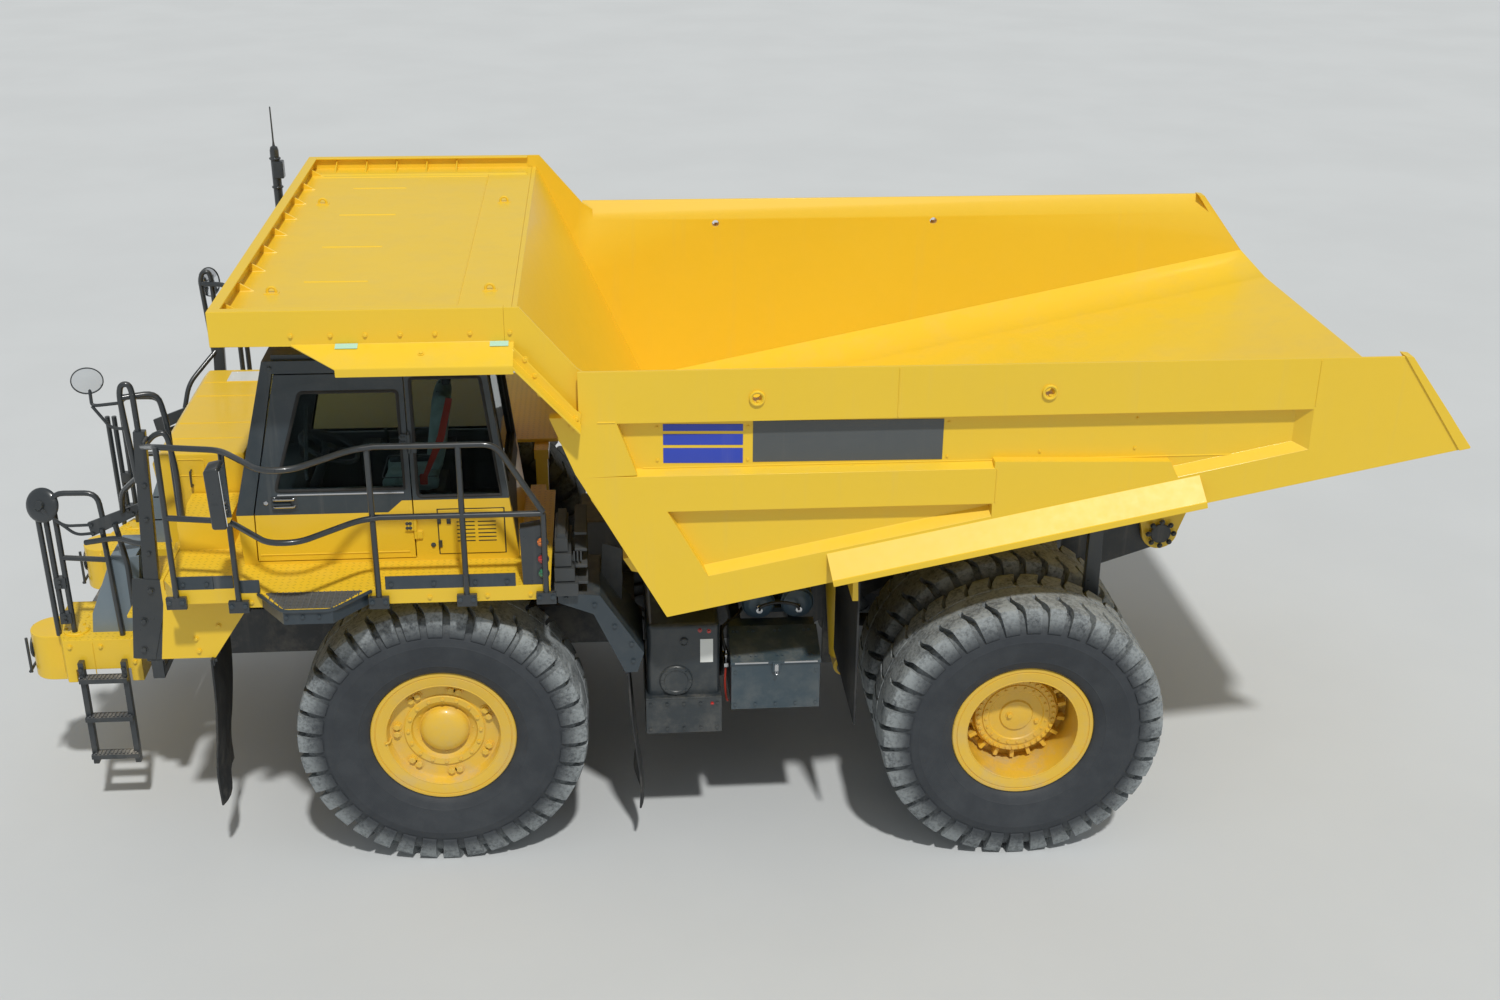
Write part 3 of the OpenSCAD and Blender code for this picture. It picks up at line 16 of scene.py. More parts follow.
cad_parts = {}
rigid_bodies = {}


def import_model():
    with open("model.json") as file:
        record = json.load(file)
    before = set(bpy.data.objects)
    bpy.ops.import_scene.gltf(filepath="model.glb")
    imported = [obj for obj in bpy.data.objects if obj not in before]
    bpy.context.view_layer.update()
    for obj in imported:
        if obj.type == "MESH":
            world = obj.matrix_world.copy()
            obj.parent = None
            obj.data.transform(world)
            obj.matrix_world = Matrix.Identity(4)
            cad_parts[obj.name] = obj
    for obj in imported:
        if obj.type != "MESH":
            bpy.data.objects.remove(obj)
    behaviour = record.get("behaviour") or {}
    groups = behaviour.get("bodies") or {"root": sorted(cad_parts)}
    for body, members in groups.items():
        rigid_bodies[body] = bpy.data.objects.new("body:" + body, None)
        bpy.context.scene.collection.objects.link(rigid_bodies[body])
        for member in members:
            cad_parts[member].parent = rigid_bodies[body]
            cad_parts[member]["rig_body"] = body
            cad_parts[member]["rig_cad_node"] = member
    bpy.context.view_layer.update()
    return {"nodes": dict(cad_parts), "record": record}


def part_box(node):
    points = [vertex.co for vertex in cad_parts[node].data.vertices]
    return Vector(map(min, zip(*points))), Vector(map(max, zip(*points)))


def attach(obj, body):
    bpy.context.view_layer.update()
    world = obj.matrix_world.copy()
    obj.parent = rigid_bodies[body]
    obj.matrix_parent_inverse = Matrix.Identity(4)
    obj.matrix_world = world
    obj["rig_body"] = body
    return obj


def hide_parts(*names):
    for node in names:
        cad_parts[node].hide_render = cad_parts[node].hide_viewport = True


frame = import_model()
LOG = logging.getLogger("truck")

Pair = tuple[float, float]
Point = tuple[float, float, float]
Colour = tuple[float, float, float, float]
Material = bpy.types.Material
Socket = bpy.types.NodeSocket
Test = Callable[[Vector, Vector], bool]
Rules = Sequence[tuple[Material, Test | None]]

MID_X = 2.272
WHEELBASE = 4.3
REAR_AXLE_X = -MID_X
FRONT_AXLE_X = WHEELBASE - MID_X
TYRE_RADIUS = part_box("tyre_front_left")[1].z / 2
SLOT_OF = {part["node"]: part["material_slot"] for part in frame["record"]["subparts"]}
BODY_OF = {node: thing["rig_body"] for node, thing in frame["nodes"].items()}


def station(x: float) -> float:
    """Turns a station measured forward from the rear axle into the truck's own X."""
    return x - MID_X


def at(x: float, y: float, z: float) -> Point:
    """A point of the truck given by its station."""
    return (x - MID_X, y, z)


def side_points(outline: Sequence[Pair], y: float) -> list[Point]:
    """Corners of an outline of stations and heights at a distance from the middle."""
    return [at(x, y, z) for x, z in outline]


def rounded(points: Sequence[Sequence[float]], bend: float, steps: int = 5) -> list[Vector]:
    """Rounds the corners of a path.

    Args:
        points: The path's corners.
        bend: How far before a corner the curve starts.
        steps: How many pieces each curve has.

    Returns:
        The points of the rounded path.
    """
    path = [Vector(points[0])]
    for before, corner, after in zip(points, points[1:], points[2:]):
        corner = Vector(corner)
        back, ahead = Vector(before) - corner, Vector(after) - corner
        start = corner + back.normalized() * min(bend, back.length * 0.45)
        end = corner + ahead.normalized() * min(bend, ahead.length * 0.45)
        shares = [i / steps for i in range(steps + 1)]
        path += [start.lerp(corner, t).lerp(corner.lerp(end, t), t) for t in shares]
    return path + [Vector(points[-1])]


class Graph:
    """A shader node tree that is built one node at a time."""

    def __init__(self, tree: bpy.types.NodeTree) -> None:
        """Starts on a tree.

        Args:
            tree: The material's or group's node tree.
        """
        self.tree = tree
        self.column = 0

    def node(self, kind: str, inputs: dict | None = None, **settings: object) -> bpy.types.Node:
        """Adds a node.

        Args:
            kind: Type of the node, without the ShaderNode prefix.
            inputs: Values or sockets by input name or index.
            settings: Attributes of the node itself.

        Returns:
            The new node.
        """
        made = self.tree.nodes.new("ShaderNode" + kind)
        self.column += 1
        made.location = (self.column * 190, -(self.column % 6) * 170)
        for name, value in settings.items():
            setattr(made, name, value)
        for name, value in (inputs or {}).items():
            self.feed(made.inputs[name], value)
        return made

    def feed(self, socket: Socket, value: object) -> None:
        """Links a socket to an input, or sets the input's own value."""
        if isinstance(value, Socket):
            self.tree.links.new(value, socket)
        else:
            socket.default_value = value

    def sums(self, operation: str, first: object, second: object = 0.0, clamp: bool = False) -> Socket:
        """Combines two numbers.

        Args:
            operation: Name of the Math node's operation.
            first: Number or socket.
            second: Number or socket.
            clamp: Whether the result is kept from 0 to 1.

        Returns:
            The result's socket.
        """
        return self.node("Math", {0: first, 1: second}, operation=operation, use_clamp=clamp).outputs[0]

    def times(self, first: object, second: object, clamp: bool = False) -> Socket:
        """The product of two numbers."""
        return self.sums("MULTIPLY", first, second, clamp)

    def plus(self, first: object, second: object, clamp: bool = False) -> Socket:
        """The sum of two numbers."""
        return self.sums("ADD", first, second, clamp)

    def less(self, first: object, second: object) -> Socket:
        """The first number less the second."""
        return self.sums("SUBTRACT", first, second)

    def sine(self, value: object) -> Socket:
        """The sine of a number."""
        return self.node("Math", {0: value}, operation="SINE").outputs[0]

    def step(self, value: object, low: float, high: float, bottom: float = 0.0, top: float = 1.0) -> Socket:
        """Eases from bottom to top as value goes from low to high."""
        inputs = {"Value": value, "From Min": low, "From Max": high, "To Min": bottom, "To Max": top}
        return self.node("MapRange", inputs, interpolation_type="SMOOTHSTEP").outputs["Result"]

    def noise(self, vector: object, scale: float, detail: float = 3.0, roughness: float = 0.55) -> Socket:
        """Fractal noise from 0 to 1 at a number of features per metre."""
        inputs = {"Vector": vector, "Scale": scale, "Detail": detail, "Roughness": roughness}
        return self.node("TexNoise", inputs).outputs["Fac"]

    def stretched(self, vector: object, scale: Point) -> Socket:
        """The same coordinates scaled differently along each axis."""
        return self.node("Mapping", {"Vector": vector, "Scale": scale}).outputs["Vector"]

    def blend(self, amount: object, first: object, second: object, mode: str = "MIX") -> Socket:
        """Mixes two colours.

        Args:
            amount: Share of the second colour, from 0 to 1.
            first: Colour or socket.
            second: Colour or socket.
            mode: How the second is laid over the first.

        Returns:
            The mixed colour's socket.
        """
        made = self.node("Mix", data_type="RGBA", blend_type=mode)
        self.feed(made.inputs[0], amount)
        self.feed(made.inputs[6], first)
        self.feed(made.inputs[7], second)
        return made.outputs[2]

    def split(self, vector: object) -> tuple[Socket, ...]:
        """The X, Y and Z sockets of a vector."""
        return tuple(self.node("SeparateXYZ", {"Vector": vector}).outputs)


def new_group(name: str, inputs: dict[str, str],
              outputs: dict[str, str]) -> tuple[Graph, dict, bpy.types.Node]:
    """Starts a shader node group with named sockets.

    Args:
        name: The group's name.
        inputs: Socket type by input name.
        outputs: Socket type by output name.

    Returns:
        The group's graph, its input sockets by name, and its output node.
    """
    tree = bpy.data.node_groups.new(name, "ShaderNodeTree")
    for title, kind in inputs.items():
        tree.interface.new_socket(title, in_out="INPUT", socket_type="NodeSocket" + kind)
    for title, kind in outputs.items():
        tree.interface.new_socket(title, in_out="OUTPUT", socket_type="NodeSocket" + kind)
    graph = Graph(tree)
    entry = tree.nodes.new("NodeGroupInput")
    exit_node = tree.nodes.new("NodeGroupOutput")
    return graph, {s.name: s for s in entry.outputs if s.name}, exit_node


class Groups:
    """The effects that several finishes share, each built once."""

    made: dict[str, bpy.types.NodeTree] = {}

    @classmethod
    def use(cls, graph: Graph, name: str, inputs: dict[str, object]) -> bpy.types.Node:
        """Places a shared effect in a material.

        Args:
            graph: The material's graph.
            name: Which effect.
            inputs: Its values and sockets by name.

        Returns:
            The placed group node.
        """
        if name not in cls.made:
            cls.made[name] = getattr(cls, "make_" + name)()
        placed = graph.node("Group")
        placed.node_tree = cls.made[name]
        for title, value in inputs.items():
            graph.feed(placed.inputs[title], value)
        return placed

    @staticmethod
    def make_weather() -> bpy.types.NodeTree:
        """Mottled paint with settled dust, rain streaks and a fine orange peel."""
        inputs = {"Vector": "Vector", "Paint": "Color", "Mottle": "Float", "Dust Colour": "Color",
                  "Dust": "Float", "Streaks": "Float", "Roughness": "Float"}
        graph, given, out = new_group(
            "weather", inputs, {"Colour": "Color", "Roughness": "Float", "Height": "Float"})
        vector = given["Vector"]
        broad = graph.noise(vector, 0.9, 4.0)
        fine = graph.noise(vector, 14.0, 5.0, 0.65)
        shade = graph.plus(graph.times(broad, 0.7), graph.times(fine, 0.3))
        shade = graph.times(graph.less(shade, 0.5), given["Mottle"])
        value = graph.plus(shade, 1.0)
        tinted = graph.node("HueSaturation", {"Color": given["Paint"], "Value": value}).outputs["Color"]
        up = graph.split(graph.node("TexCoord").outputs["Normal"])[2]
        facing_up = graph.step(up, 0.35, 0.95)
        height = graph.split(vector)[2]
        near_ground = graph.step(height, 1.9, 0.2)
        patches = graph.step(graph.noise(vector, 3.2, 6.0, 0.7), 0.42, 0.72)
        settled = graph.plus(graph.times(facing_up, 0.55), graph.times(near_ground, 0.8))
        settled = graph.plus(settled, 0.12)
        dust = graph.times(graph.times(settled, patches), given["Dust"], clamp=True)
        runs = graph.noise(graph.stretched(vector, (9.0, 9.0, 0.5)), 1.0, 5.0, 0.6)
        upright = graph.step(up, 0.5, 0.1)
        streaks = graph.times(graph.times(graph.step(runs, 0.55, 0.78), upright),
                              given["Streaks"], clamp=True)
        streaked = graph.blend(streaks, tinted, given["Dust Colour"])
        dusty = graph.blend(dust, streaked, given["Dust Colour"])
        peel = graph.noise(vector, 260.0, 2.0)
        rough = graph.plus(given["Roughness"], graph.times(dust, 0.45))
        rough = graph.plus(rough, graph.times(graph.less(fine, 0.5), 0.16), clamp=True)
        graph.feed(out.inputs["Colour"], dusty)
        graph.feed(out.inputs["Roughness"], rough)
        graph.feed(out.inputs["Height"], graph.plus(graph.times(peel, 0.35), dust))
        return graph.tree

    @staticmethod
    def make_tread_dust() -> bpy.types.NodeTree:
        """Rubber that is pale with dust on the tread and ringed on the sidewall."""
        inputs = {"Vector": "Vector", "Rubber": "Color", "Dust Colour": "Color", "Inner": "Float",
                  "Outer": "Float"}
        graph, given, out = new_group("tread_dust", inputs,
                                      {"Colour": "Color", "Roughness": "Float", "Height": "Float"})
        across = graph.split(given["Vector"])
        flat = graph.node("CombineXYZ", {"X": across[0], "Y": 0.0, "Z": across[2]}).outputs[0]
        radius = graph.node("VectorMath", {0: flat}, operation="LENGTH").outputs["Value"]
        share = graph.sums("DIVIDE", graph.less(radius, given["Inner"]),
                           graph.less(given["Outer"], given["Inner"]))
        grains = graph.noise(given["Vector"], 38.0, 6.0, 0.7)
        patches = graph.noise(given["Vector"], 6.0, 4.0, 0.6)
        mottled = graph.plus(graph.times(grains, 0.6), graph.times(patches, 0.4))
        ringed = graph.step(share, 0.62, 0.98)
        cover = graph.times(ringed, graph.step(mottled, 0.28, 0.6))
        film = graph.times(graph.step(patches, 0.3, 0.8), 0.05)
        dust = graph.sums("MAXIMUM", cover, film, clamp=True)
        rings = graph.sine(graph.times(radius, 620.0))
        rings = graph.times(rings, graph.less(1.0, ringed))
        graph.feed(out.inputs["Colour"], graph.blend(dust, given["Rubber"], given["Dust Colour"]))
        graph.feed(out.inputs["Roughness"], graph.plus(graph.times(dust, 0.3), 0.62))
        graph.feed(out.inputs["Height"], graph.plus(graph.times(grains, 0.8),
                                                    graph.times(rings, 0.1)))
        return graph.tree

    @staticmethod
    def make_treads() -> bpy.types.NodeTree:
        """Raised lenses of a checker plate, seen from above."""
        inputs = {"Vector": "Vector", "Pitch": "Float"}
        graph, given, out = new_group("treads", inputs, {"Mask": "Float"})
        across = graph.split(given["Vector"])
        cells = [graph.sums("DIVIDE", across[i], given["Pitch"]) for i in (0, 1)]
        parity = graph.plus(graph.sums("FLOOR", cells[0]), graph.sums("FLOOR", cells[1]))
        turn = graph.less(graph.times(graph.sums("PINGPONG", parity, 1.0), 2.0), 1.0)
        local = [graph.less(graph.sums("FRACT", c), 0.5) for c in cells]
        along = graph.plus(local[0], graph.times(local[1], turn))
        beside = graph.less(local[0], graph.times(local[1], turn))
        long_part = graph.sums("POWER", graph.sums("DIVIDE", along, 0.5), 2.0)
        short_part = graph.sums("POWER", graph.sums("DIVIDE", beside, 0.17), 2.0)
        graph.feed(out.inputs["Mask"], graph.step(graph.plus(long_part, short_part), 1.1, 0.6))
        return graph.tree

    @staticmethod
    def make_weave() -> bpy.types.NodeTree:
        """Plain woven cloth: threads over and under along two directions."""
        graph, given, out = new_group("weave", {"Vector": "Vector", "Threads": "Float"},
                                      {"Mask": "Float", "Height": "Float"})
        across = graph.split(given["Vector"])
        waves = []
        for axis in (0, 1, 2):
            turned = graph.times(across[axis], given["Threads"])
            waves.append(graph.sums("ABSOLUTE", graph.sine(turned)))
        height = graph.sums("MAXIMUM", graph.times(waves[0], waves[1]), waves[2])
        graph.feed(out.inputs["Height"], height)
        graph.feed(out.inputs["Mask"], graph.times(height, graph.noise(given["Vector"], 60.0), clamp=True))
        return graph.tree


def srgb(red: int, green: int, blue: int) -> Colour:
    """A colour given as it looks on a screen, from 0 to 255, in linear light."""
    def linear(v: int) -> float:
        share = v / 255
        return share / 12.92 if share <= 0.04045 else ((share + 0.055) / 1.055) ** 2.4
    return (linear(red), linear(green), linear(blue), 1.0)


DUST = srgb(176, 170, 158)
BUMP_DEPTH = 0.002


@dataclass(frozen=True)
class Finish:
    """What every finish has: its name and the shader that it starts from."""

    name: str

    def start(self) -> tuple[Material, Graph, bpy.types.Node, Socket]:
        """Makes an empty material.

        Returns:
            The material, its graph, its Principled shader and the Object coordinates.
        """
        material = bpy.data.materials.new(self.name)
        material.use_nodes = True
        graph = Graph(material.node_tree)
        shader = material.node_tree.nodes["Principled BSDF"]
        return material, graph, shader, graph.node("TexCoord").outputs["Object"]

    def build(self) -> Material:
        """Builds the material."""
        raise NotImplementedError


@dataclass(frozen=True)
class Paint(Finish):
    """Painted metal with dust and a slight orange peel."""

    colour: Colour
    roughness: float = 0.36
    coat: float = 0.25
    mottle: float = 0.1
    dust: float = 0.25
    dust_colour: Colour = DUST
    streaks: float = 0.06
    metallic: float = 0.0
    bump: float = 0.04
    checker_pitch: float = 0.0

    def build(self) -> Material:
        """Builds the material."""
        material, graph, shader, vector = self.start()
        coat = Groups.use(graph, "weather", {
            "Vector": vector, "Paint": self.colour, "Mottle": self.mottle, "Dust Colour": self.dust_colour,
            "Dust": self.dust, "Streaks": self.streaks, "Roughness": self.roughness})
        colour, height = coat.outputs["Colour"], coat.outputs["Height"]
        if self.checker_pitch:
            lenses = Groups.use(graph, "treads", {"Vector": vector,
                                                  "Pitch": self.checker_pitch}).outputs["Mask"]
            shadow = graph.times(lenses, 0.4)
            colour = graph.blend(shadow, colour, tuple(0.45 * c for c in self.colour[:3]) + (1.0,))
            height = graph.plus(height, graph.times(lenses, 4.0))
        graph.feed(shader.inputs["Base Color"], colour)
        graph.feed(shader.inputs["Roughness"], coat.outputs["Roughness"])
        bump = graph.node("Bump", {"Height": height, "Strength": self.bump * 5, "Distance": BUMP_DEPTH})
        graph.feed(shader.inputs["Normal"], bump.outputs["Normal"])
        shader.inputs["Metallic"].default_value = self.metallic
        shader.inputs["Coat Weight"].default_value = self.coat
        shader.inputs["Coat Roughness"].default_value = 0.12
        return material


@dataclass(frozen=True)
class TyreRubber(Finish):
    """Rubber of a tyre, centred on its own axle."""

    axle_x: float
    axle_z: float
    colour: Colour = srgb(52, 56, 61)
    dust_colour: Colour = srgb(150, 156, 158)
    inner: float = 0.5
    outer: float = 1.06

    def build(self) -> Material:
        """Builds the material."""
        material, graph, shader, vector = self.start()
        centred = graph.node("Mapping", {
            "Vector": vector, "Location": (-self.axle_x, 0.0, -self.axle_z)}).outputs[0]
        film = Groups.use(graph, "tread_dust", {"Vector": centred, "Rubber": self.colour,
                                                "Dust Colour": self.dust_colour, "Inner": self.inner,
                                                "Outer": self.outer})
        graph.feed(shader.inputs["Base Color"], film.outputs["Colour"])
        graph.feed(shader.inputs["Roughness"], film.outputs["Roughness"])
        bump = graph.node("Bump", {"Height": film.outputs["Height"], "Strength": 0.5, "Distance": 0.003})
        graph.feed(shader.inputs["Normal"], bump.outputs["Normal"])
        shader.inputs["Specular IOR Level"].default_value = 0.35
        return material


@dataclass(frozen=True)
class Glass(Finish):
    """Tinted window glass."""

    colour: Colour = srgb(186, 202, 204)
    roughness: float = 0.02

    def build(self) -> Material:
        """Builds the material."""
        material, graph, shader, vector = self.start()
        smears = graph.step(graph.noise(vector, 7.0, 5.0, 0.7), 0.45, 0.75, self.roughness,
                            self.roughness + 0.06)
        graph.feed(shader.inputs["Roughness"], smears)
        tint = graph.blend(graph.noise(vector, 1.5), self.colour,
                           tuple(0.92 * c for c in self.colour[:3]) + (1.0,))
        graph.feed(shader.inputs["Base Color"], tint)
        shader.inputs["Transmission Weight"].default_value = 1.0
        shader.inputs["IOR"].default_value = 1.1
        return material


@dataclass(frozen=True)
class Cloth(Finish):
    """Woven seat cloth."""

    colour: Colour = srgb(92, 98, 102)
    threads: float = 1500.0

    def build(self) -> Material:
        """Builds the material."""
        material, graph, shader, vector = self.start()
        weave = Groups.use(graph, "weave", {"Vector": vector, "Threads": self.threads})
        light = tuple(min(1.0, 1.7 * c) for c in self.colour[:3]) + (1.0,)
        worn = graph.blend(graph.step(graph.noise(vector, 8.0), 0.4, 0.7), self.colour, light)
        graph.feed(shader.inputs["Base Color"], graph.blend(weave.outputs["Mask"], worn, light))
        graph.feed(shader.inputs["Roughness"], graph.step(graph.noise(vector, 30.0), 0.2, 0.8, 0.8, 0.95))
        bump = graph.node("Bump", {"Height": weave.outputs["Height"], "Strength": 0.6, "Distance": 0.001})
        graph.feed(shader.inputs["Normal"], bump.outputs["Normal"])
        shader.inputs["Sheen Weight"].default_value = 0.35
        return material


@dataclass(frozen=True)
class Lens(Finish):
    """Clear or coloured plastic of a lamp, ribbed inside."""

    colour: Colour
    ribs: float = 260.0

    def build(self) -> Material:
        """Builds the material."""
        material, graph, shader, vector = self.start()
        across = graph.split(vector)
        waves = [graph.sine(graph.times(a, self.ribs))
                 for a in across[1:]]
        ribs = graph.times(waves[0], waves[1])
        dark = tuple(0.45 * c for c in self.colour[:3]) + (1.0,)
        graph.feed(shader.inputs["Base Color"], graph.blend(graph.step(ribs, -0.6, 0.8), dark, self.colour))
        graph.feed(shader.inputs["Roughness"], graph.step(graph.noise(vector, 25.0), 0.3, 0.8, 0.06, 0.2))
        bump = graph.node("Bump", {"Height": ribs, "Strength": 0.4, "Distance": 0.002})
        graph.feed(shader.inputs["Normal"], bump.outputs["Normal"])
        shader.inputs["Coat Weight"].default_value = 0.8
        return material


class Mode(Enum):
    """What a selection in edit mode is made of."""

    VERTS = "VERT"
    EDGES = "EDGE"
    FACES = "FACE"


class Piece:
    """A mesh that is being modelled by hand, with the tools that shape it."""

    def __init__(self, thing: bpy.types.Object, name: str) -> None:
        """Takes over an object.

        Args:
            thing: The object, whose place is put into its mesh.
            name: The piece's name.
        """
        self.thing = thing
        thing.name = name
        thing.data.name = name
        self.activate()
        bpy.ops.object.transform_apply(location=True, rotation=True, scale=True)

    @staticmethod
    def deselect() -> None:
        """Leaves edit mode and clears the selection."""
        if bpy.context.mode != "OBJECT":
            bpy.ops.object.mode_set(mode="OBJECT")
        bpy.ops.object.select_all(action="DESELECT")

    def activate(self) -> None:
        """Selects this piece alone and makes it the active one."""
        self.deselect()
        self.thing.select_set(True)
        bpy.context.view_layer.objects.active = self.thing

    @classmethod
    def block(cls, name: str, low: Sequence[float], high: Sequence[float]) -> "Piece":
        """Starts from a box between two corners."""
        cls.deselect()
        centre = [(a + b) / 2 for a, b in zip(low, high)]
        bpy.ops.mesh.primitive_cube_add(size=1, location=centre, scale=[b - a for a, b in zip(low, high)])
        return cls(bpy.context.object, name)

    @classmethod
    def rod(cls, name: str, start: Sequence[float], end: Sequence[float], radius: float,
            sides: int = 32) -> "Piece":
        """Starts from a cylinder between two points."""
        cls.deselect()
        along = Vector(end) - Vector(start)
        turned = along.to_track_quat("Z", "Y").to_euler()
        bpy.ops.mesh.primitive_cylinder_add(vertices=sides, radius=radius, depth=along.length,
                                            location=(Vector(start) + Vector(end)) / 2, rotation=turned)
        return cls(bpy.context.object, name)

    @classmethod
    def ring(cls, name: str, centre: Sequence[float], axis: Sequence[float], major: float, minor: float,
             around: int = 64, section: int = 10) -> "Piece":
        """Starts from a torus about an axis."""
        cls.deselect()
        turned = Vector(axis).to_track_quat("Z", "Y").to_euler()
        bpy.ops.mesh.primitive_torus_add(location=centre, rotation=turned, major_radius=major,
                                         minor_radius=minor,
                                         major_segments=around, minor_segments=section)
        return cls(bpy.context.object, name)

    @classmethod
    def loop(cls, name: str, points: Sequence[Sequence[float]], filled: bool = True) -> "Piece":
        """Starts from a circle whose corners are moved to given points.

        Args:
            name: The piece's name.
            points: The corners in order.
            filled: Whether the loop is a face or only its edges.

        Returns:
            The flat outline.
        """
        cls.deselect()
        bpy.ops.mesh.primitive_circle_add(vertices=len(points), radius=1,
                                          fill_type="NGON" if filled else "NOTHING")
        made = bpy.context.object
        for vertex, point in zip(made.data.vertices, points):
            vertex.co = point
        return cls(made, name)

    @classmethod
    def outline(cls, name: str, points: Sequence[Sequence[float]], depth: Sequence[float]) -> "Piece":
        """Starts from a flat outline and pulls it to a depth.

        Args:
            name: The piece's name.
            points: The outline's corners in order.
            depth: How far and which way the outline is pulled.

        Returns:
            The closed prism.
        """
        made = cls.loop(name, points)
        made.edit(Mode.FACES, lambda c, n: True)
        bpy.ops.mesh.extrude_region_move(TRANSFORM_OT_translate={"value": tuple(depth)})
        return made.outward()

    @classmethod
    def turned(cls, name: str, profile: Sequence[Pair], centre: Sequence[float],
               steps: int = 96) -> "Piece":
        """Spins a closed profile about an axle that runs along Y.

        Args:
            name: The piece's name.
            profile: Radius and distance along the axle of each corner, in order.
            centre: A point of the axle.
            steps: How many facets there are around.

        Returns:
            The turned solid.
        """
        x, y, z = centre
        made = cls.loop(name, [(x, y + along, z + radius) for radius, along in profile], filled=False)
        made.edit(Mode.VERTS, lambda c, n: True)
        bpy.ops.mesh.spin(steps=steps, angle=math.tau, center=tuple(centre), axis=(0, 1, 0))
        made.edit(Mode.VERTS, lambda c, n: True)
        bpy.ops.mesh.remove_doubles(threshold=0.00005)
        bpy.ops.mesh.select_all(action="SELECT")
        bpy.ops.mesh.delete_loose()
        return made.outward()

    @classmethod
    def tube(cls, name: str, points: Sequence[Sequence[float]], radius: float, bend: float = 0.0,
             closed: bool = False, smoothness: int = 2) -> "Piece":
        """Bends a round tube through points.

        Args:
            name: The piece's name.
            points: Corners of its middle line.
            radius: Its outer radius.
            bend: How far before a corner its curve starts.
            closed: Whether the end joins the start.
            smoothness: How round its section is.

        Returns:
            The tube as a closed mesh.
        """
        cls.deselect()
        bpy.ops.curve.primitive_bezier_curve_add(location=(0, 0, 0))
        curve = bpy.context.object.data
        curve.splines.clear()
        spline = curve.splines.new("POLY")
        path = rounded(points, bend) if bend else [Vector(p) for p in points]
        spline.points.add(len(path) - 1)
        for spot, place in zip(spline.points, path):
            spot.co = (*place, 1.0)
        spline.use_cyclic_u = closed
        curve.dimensions = "3D"
        curve.bevel_depth = radius
        curve.bevel_resolution = smoothness
        curve.use_fill_caps = not closed
        bpy.ops.object.convert(target="MESH")
        made = cls(bpy.context.object, name)
        made.edit(Mode.VERTS, lambda c, n: True)
        bpy.ops.mesh.remove_doubles(threshold=0.00002)
        return made.outward()

    def outward(self) -> "Piece":
        """Turns every face outwards."""
        self.edit(Mode.FACES, lambda c, n: True)
        bpy.ops.mesh.normals_make_consistent(inside=False)
        self.leave()
        return self

    @classmethod
    def copy_of(cls, node: str, name: str) -> "Piece":
        """Starts from a merged copy of a CAD node.

        Args:
            node: The node whose shape is copied.
            name: The copy's name.

        Returns:
            The copy as one merged mesh.
        """
        source = frame["nodes"][node]
        copied = source.copy()
        copied.data = source.data.copy()
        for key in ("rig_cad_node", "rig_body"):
            del copied[key]
        copied.parent = None
        bpy.context.scene.collection.objects.link(copied)
        made = cls(copied, name)
        if copied.data.has_custom_normals:
            bpy.ops.mesh.customdata_custom_splitnormals_clear()
        made.edit(Mode.VERTS, lambda c, n: True)
        bpy.ops.mesh.remove_doubles(threshold=0.00005)
        made.leave()
        return made

    def folded(self) -> float:
        """The largest area by which a face crosses itself."""
        mesh = self.thing.data
        mesh.calc_loop_triangles()
        spread = [-face.area for face in mesh.polygons]
        for triangle in mesh.loop_triangles:
            spread[triangle.polygon_index] += triangle.area
        return max(spread)

    def edit(self, mode: Mode, test: Test) -> int:
        """Enters edit mode with what passes a test selected.

        Args:
            mode: Whether vertices, edges or faces are picked.
            test: Called with each one's centre and normal.

        Returns:
            How many are selected.
        """
        if bpy.context.mode != "OBJECT":
            bpy.ops.object.mode_set(mode="OBJECT")
        self.activate()
        mesh = self.thing.data
        items = {Mode.VERTS: mesh.vertices, Mode.EDGES: mesh.edges, Mode.FACES: mesh.polygons}[mode]
        bpy.ops.object.mode_set(mode="EDIT")
        bpy.ops.mesh.select_mode(type=mode.value)
        bpy.ops.mesh.select_all(action="DESELECT")
        bpy.ops.object.mode_set(mode="OBJECT")
        picked = 0
        for item in items:
            if mode is Mode.VERTS:
                centre, normal = item.co, item.normal
            elif mode is Mode.EDGES:
                ends = [mesh.vertices[i] for i in item.vertices]
                centre, normal = (ends[0].co + ends[1].co) / 2, ends[1].co - ends[0].co
            else:
                centre, normal = item.center, item.normal
            if test(centre, normal):
                item.select = True
                picked += 1
        bpy.ops.object.mode_set(mode="EDIT")
        return picked

    def leave(self) -> None:
        """Goes back to object mode."""
        if bpy.context.mode != "OBJECT":
            bpy.ops.object.mode_set(mode="OBJECT")

    def cut(self, point: Sequence[float], normal: Sequence[float]) -> "Piece":
        """Cuts an edge line all round where a plane crosses the piece."""
        self.edit(Mode.FACES, lambda c, n: True)
        bpy.ops.mesh.bisect(plane_co=tuple(point), plane_no=tuple(normal))
        self.leave()
        return self

    def inset(self, test: Test, margin: float, depth: float = 0.0) -> "Piece":
        """Insets the faces that pass a test, then raises or sinks them."""
        if self.edit(Mode.FACES, test):
            bpy.ops.mesh.inset(thickness=margin, depth=depth, use_boundary=True)
        self.leave()
        return self

    def soften(self, width: float, segments: int = 2, angle: float = 28.0, clamp: bool = True) -> "Piece":
        """Rounds the edges that are sharper than an angle in degrees, within short edges where clamped."""
        self.leave()
        bevel = self.thing.modifiers.new("rounded", "BEVEL")
        bevel.width = width
        bevel.segments = segments
        bevel.limit_method = "ANGLE"
        bevel.angle_limit = math.radians(angle)
        bevel.use_clamp_overlap = clamp
        bevel.loop_slide = clamp
        self.apply()
        return self

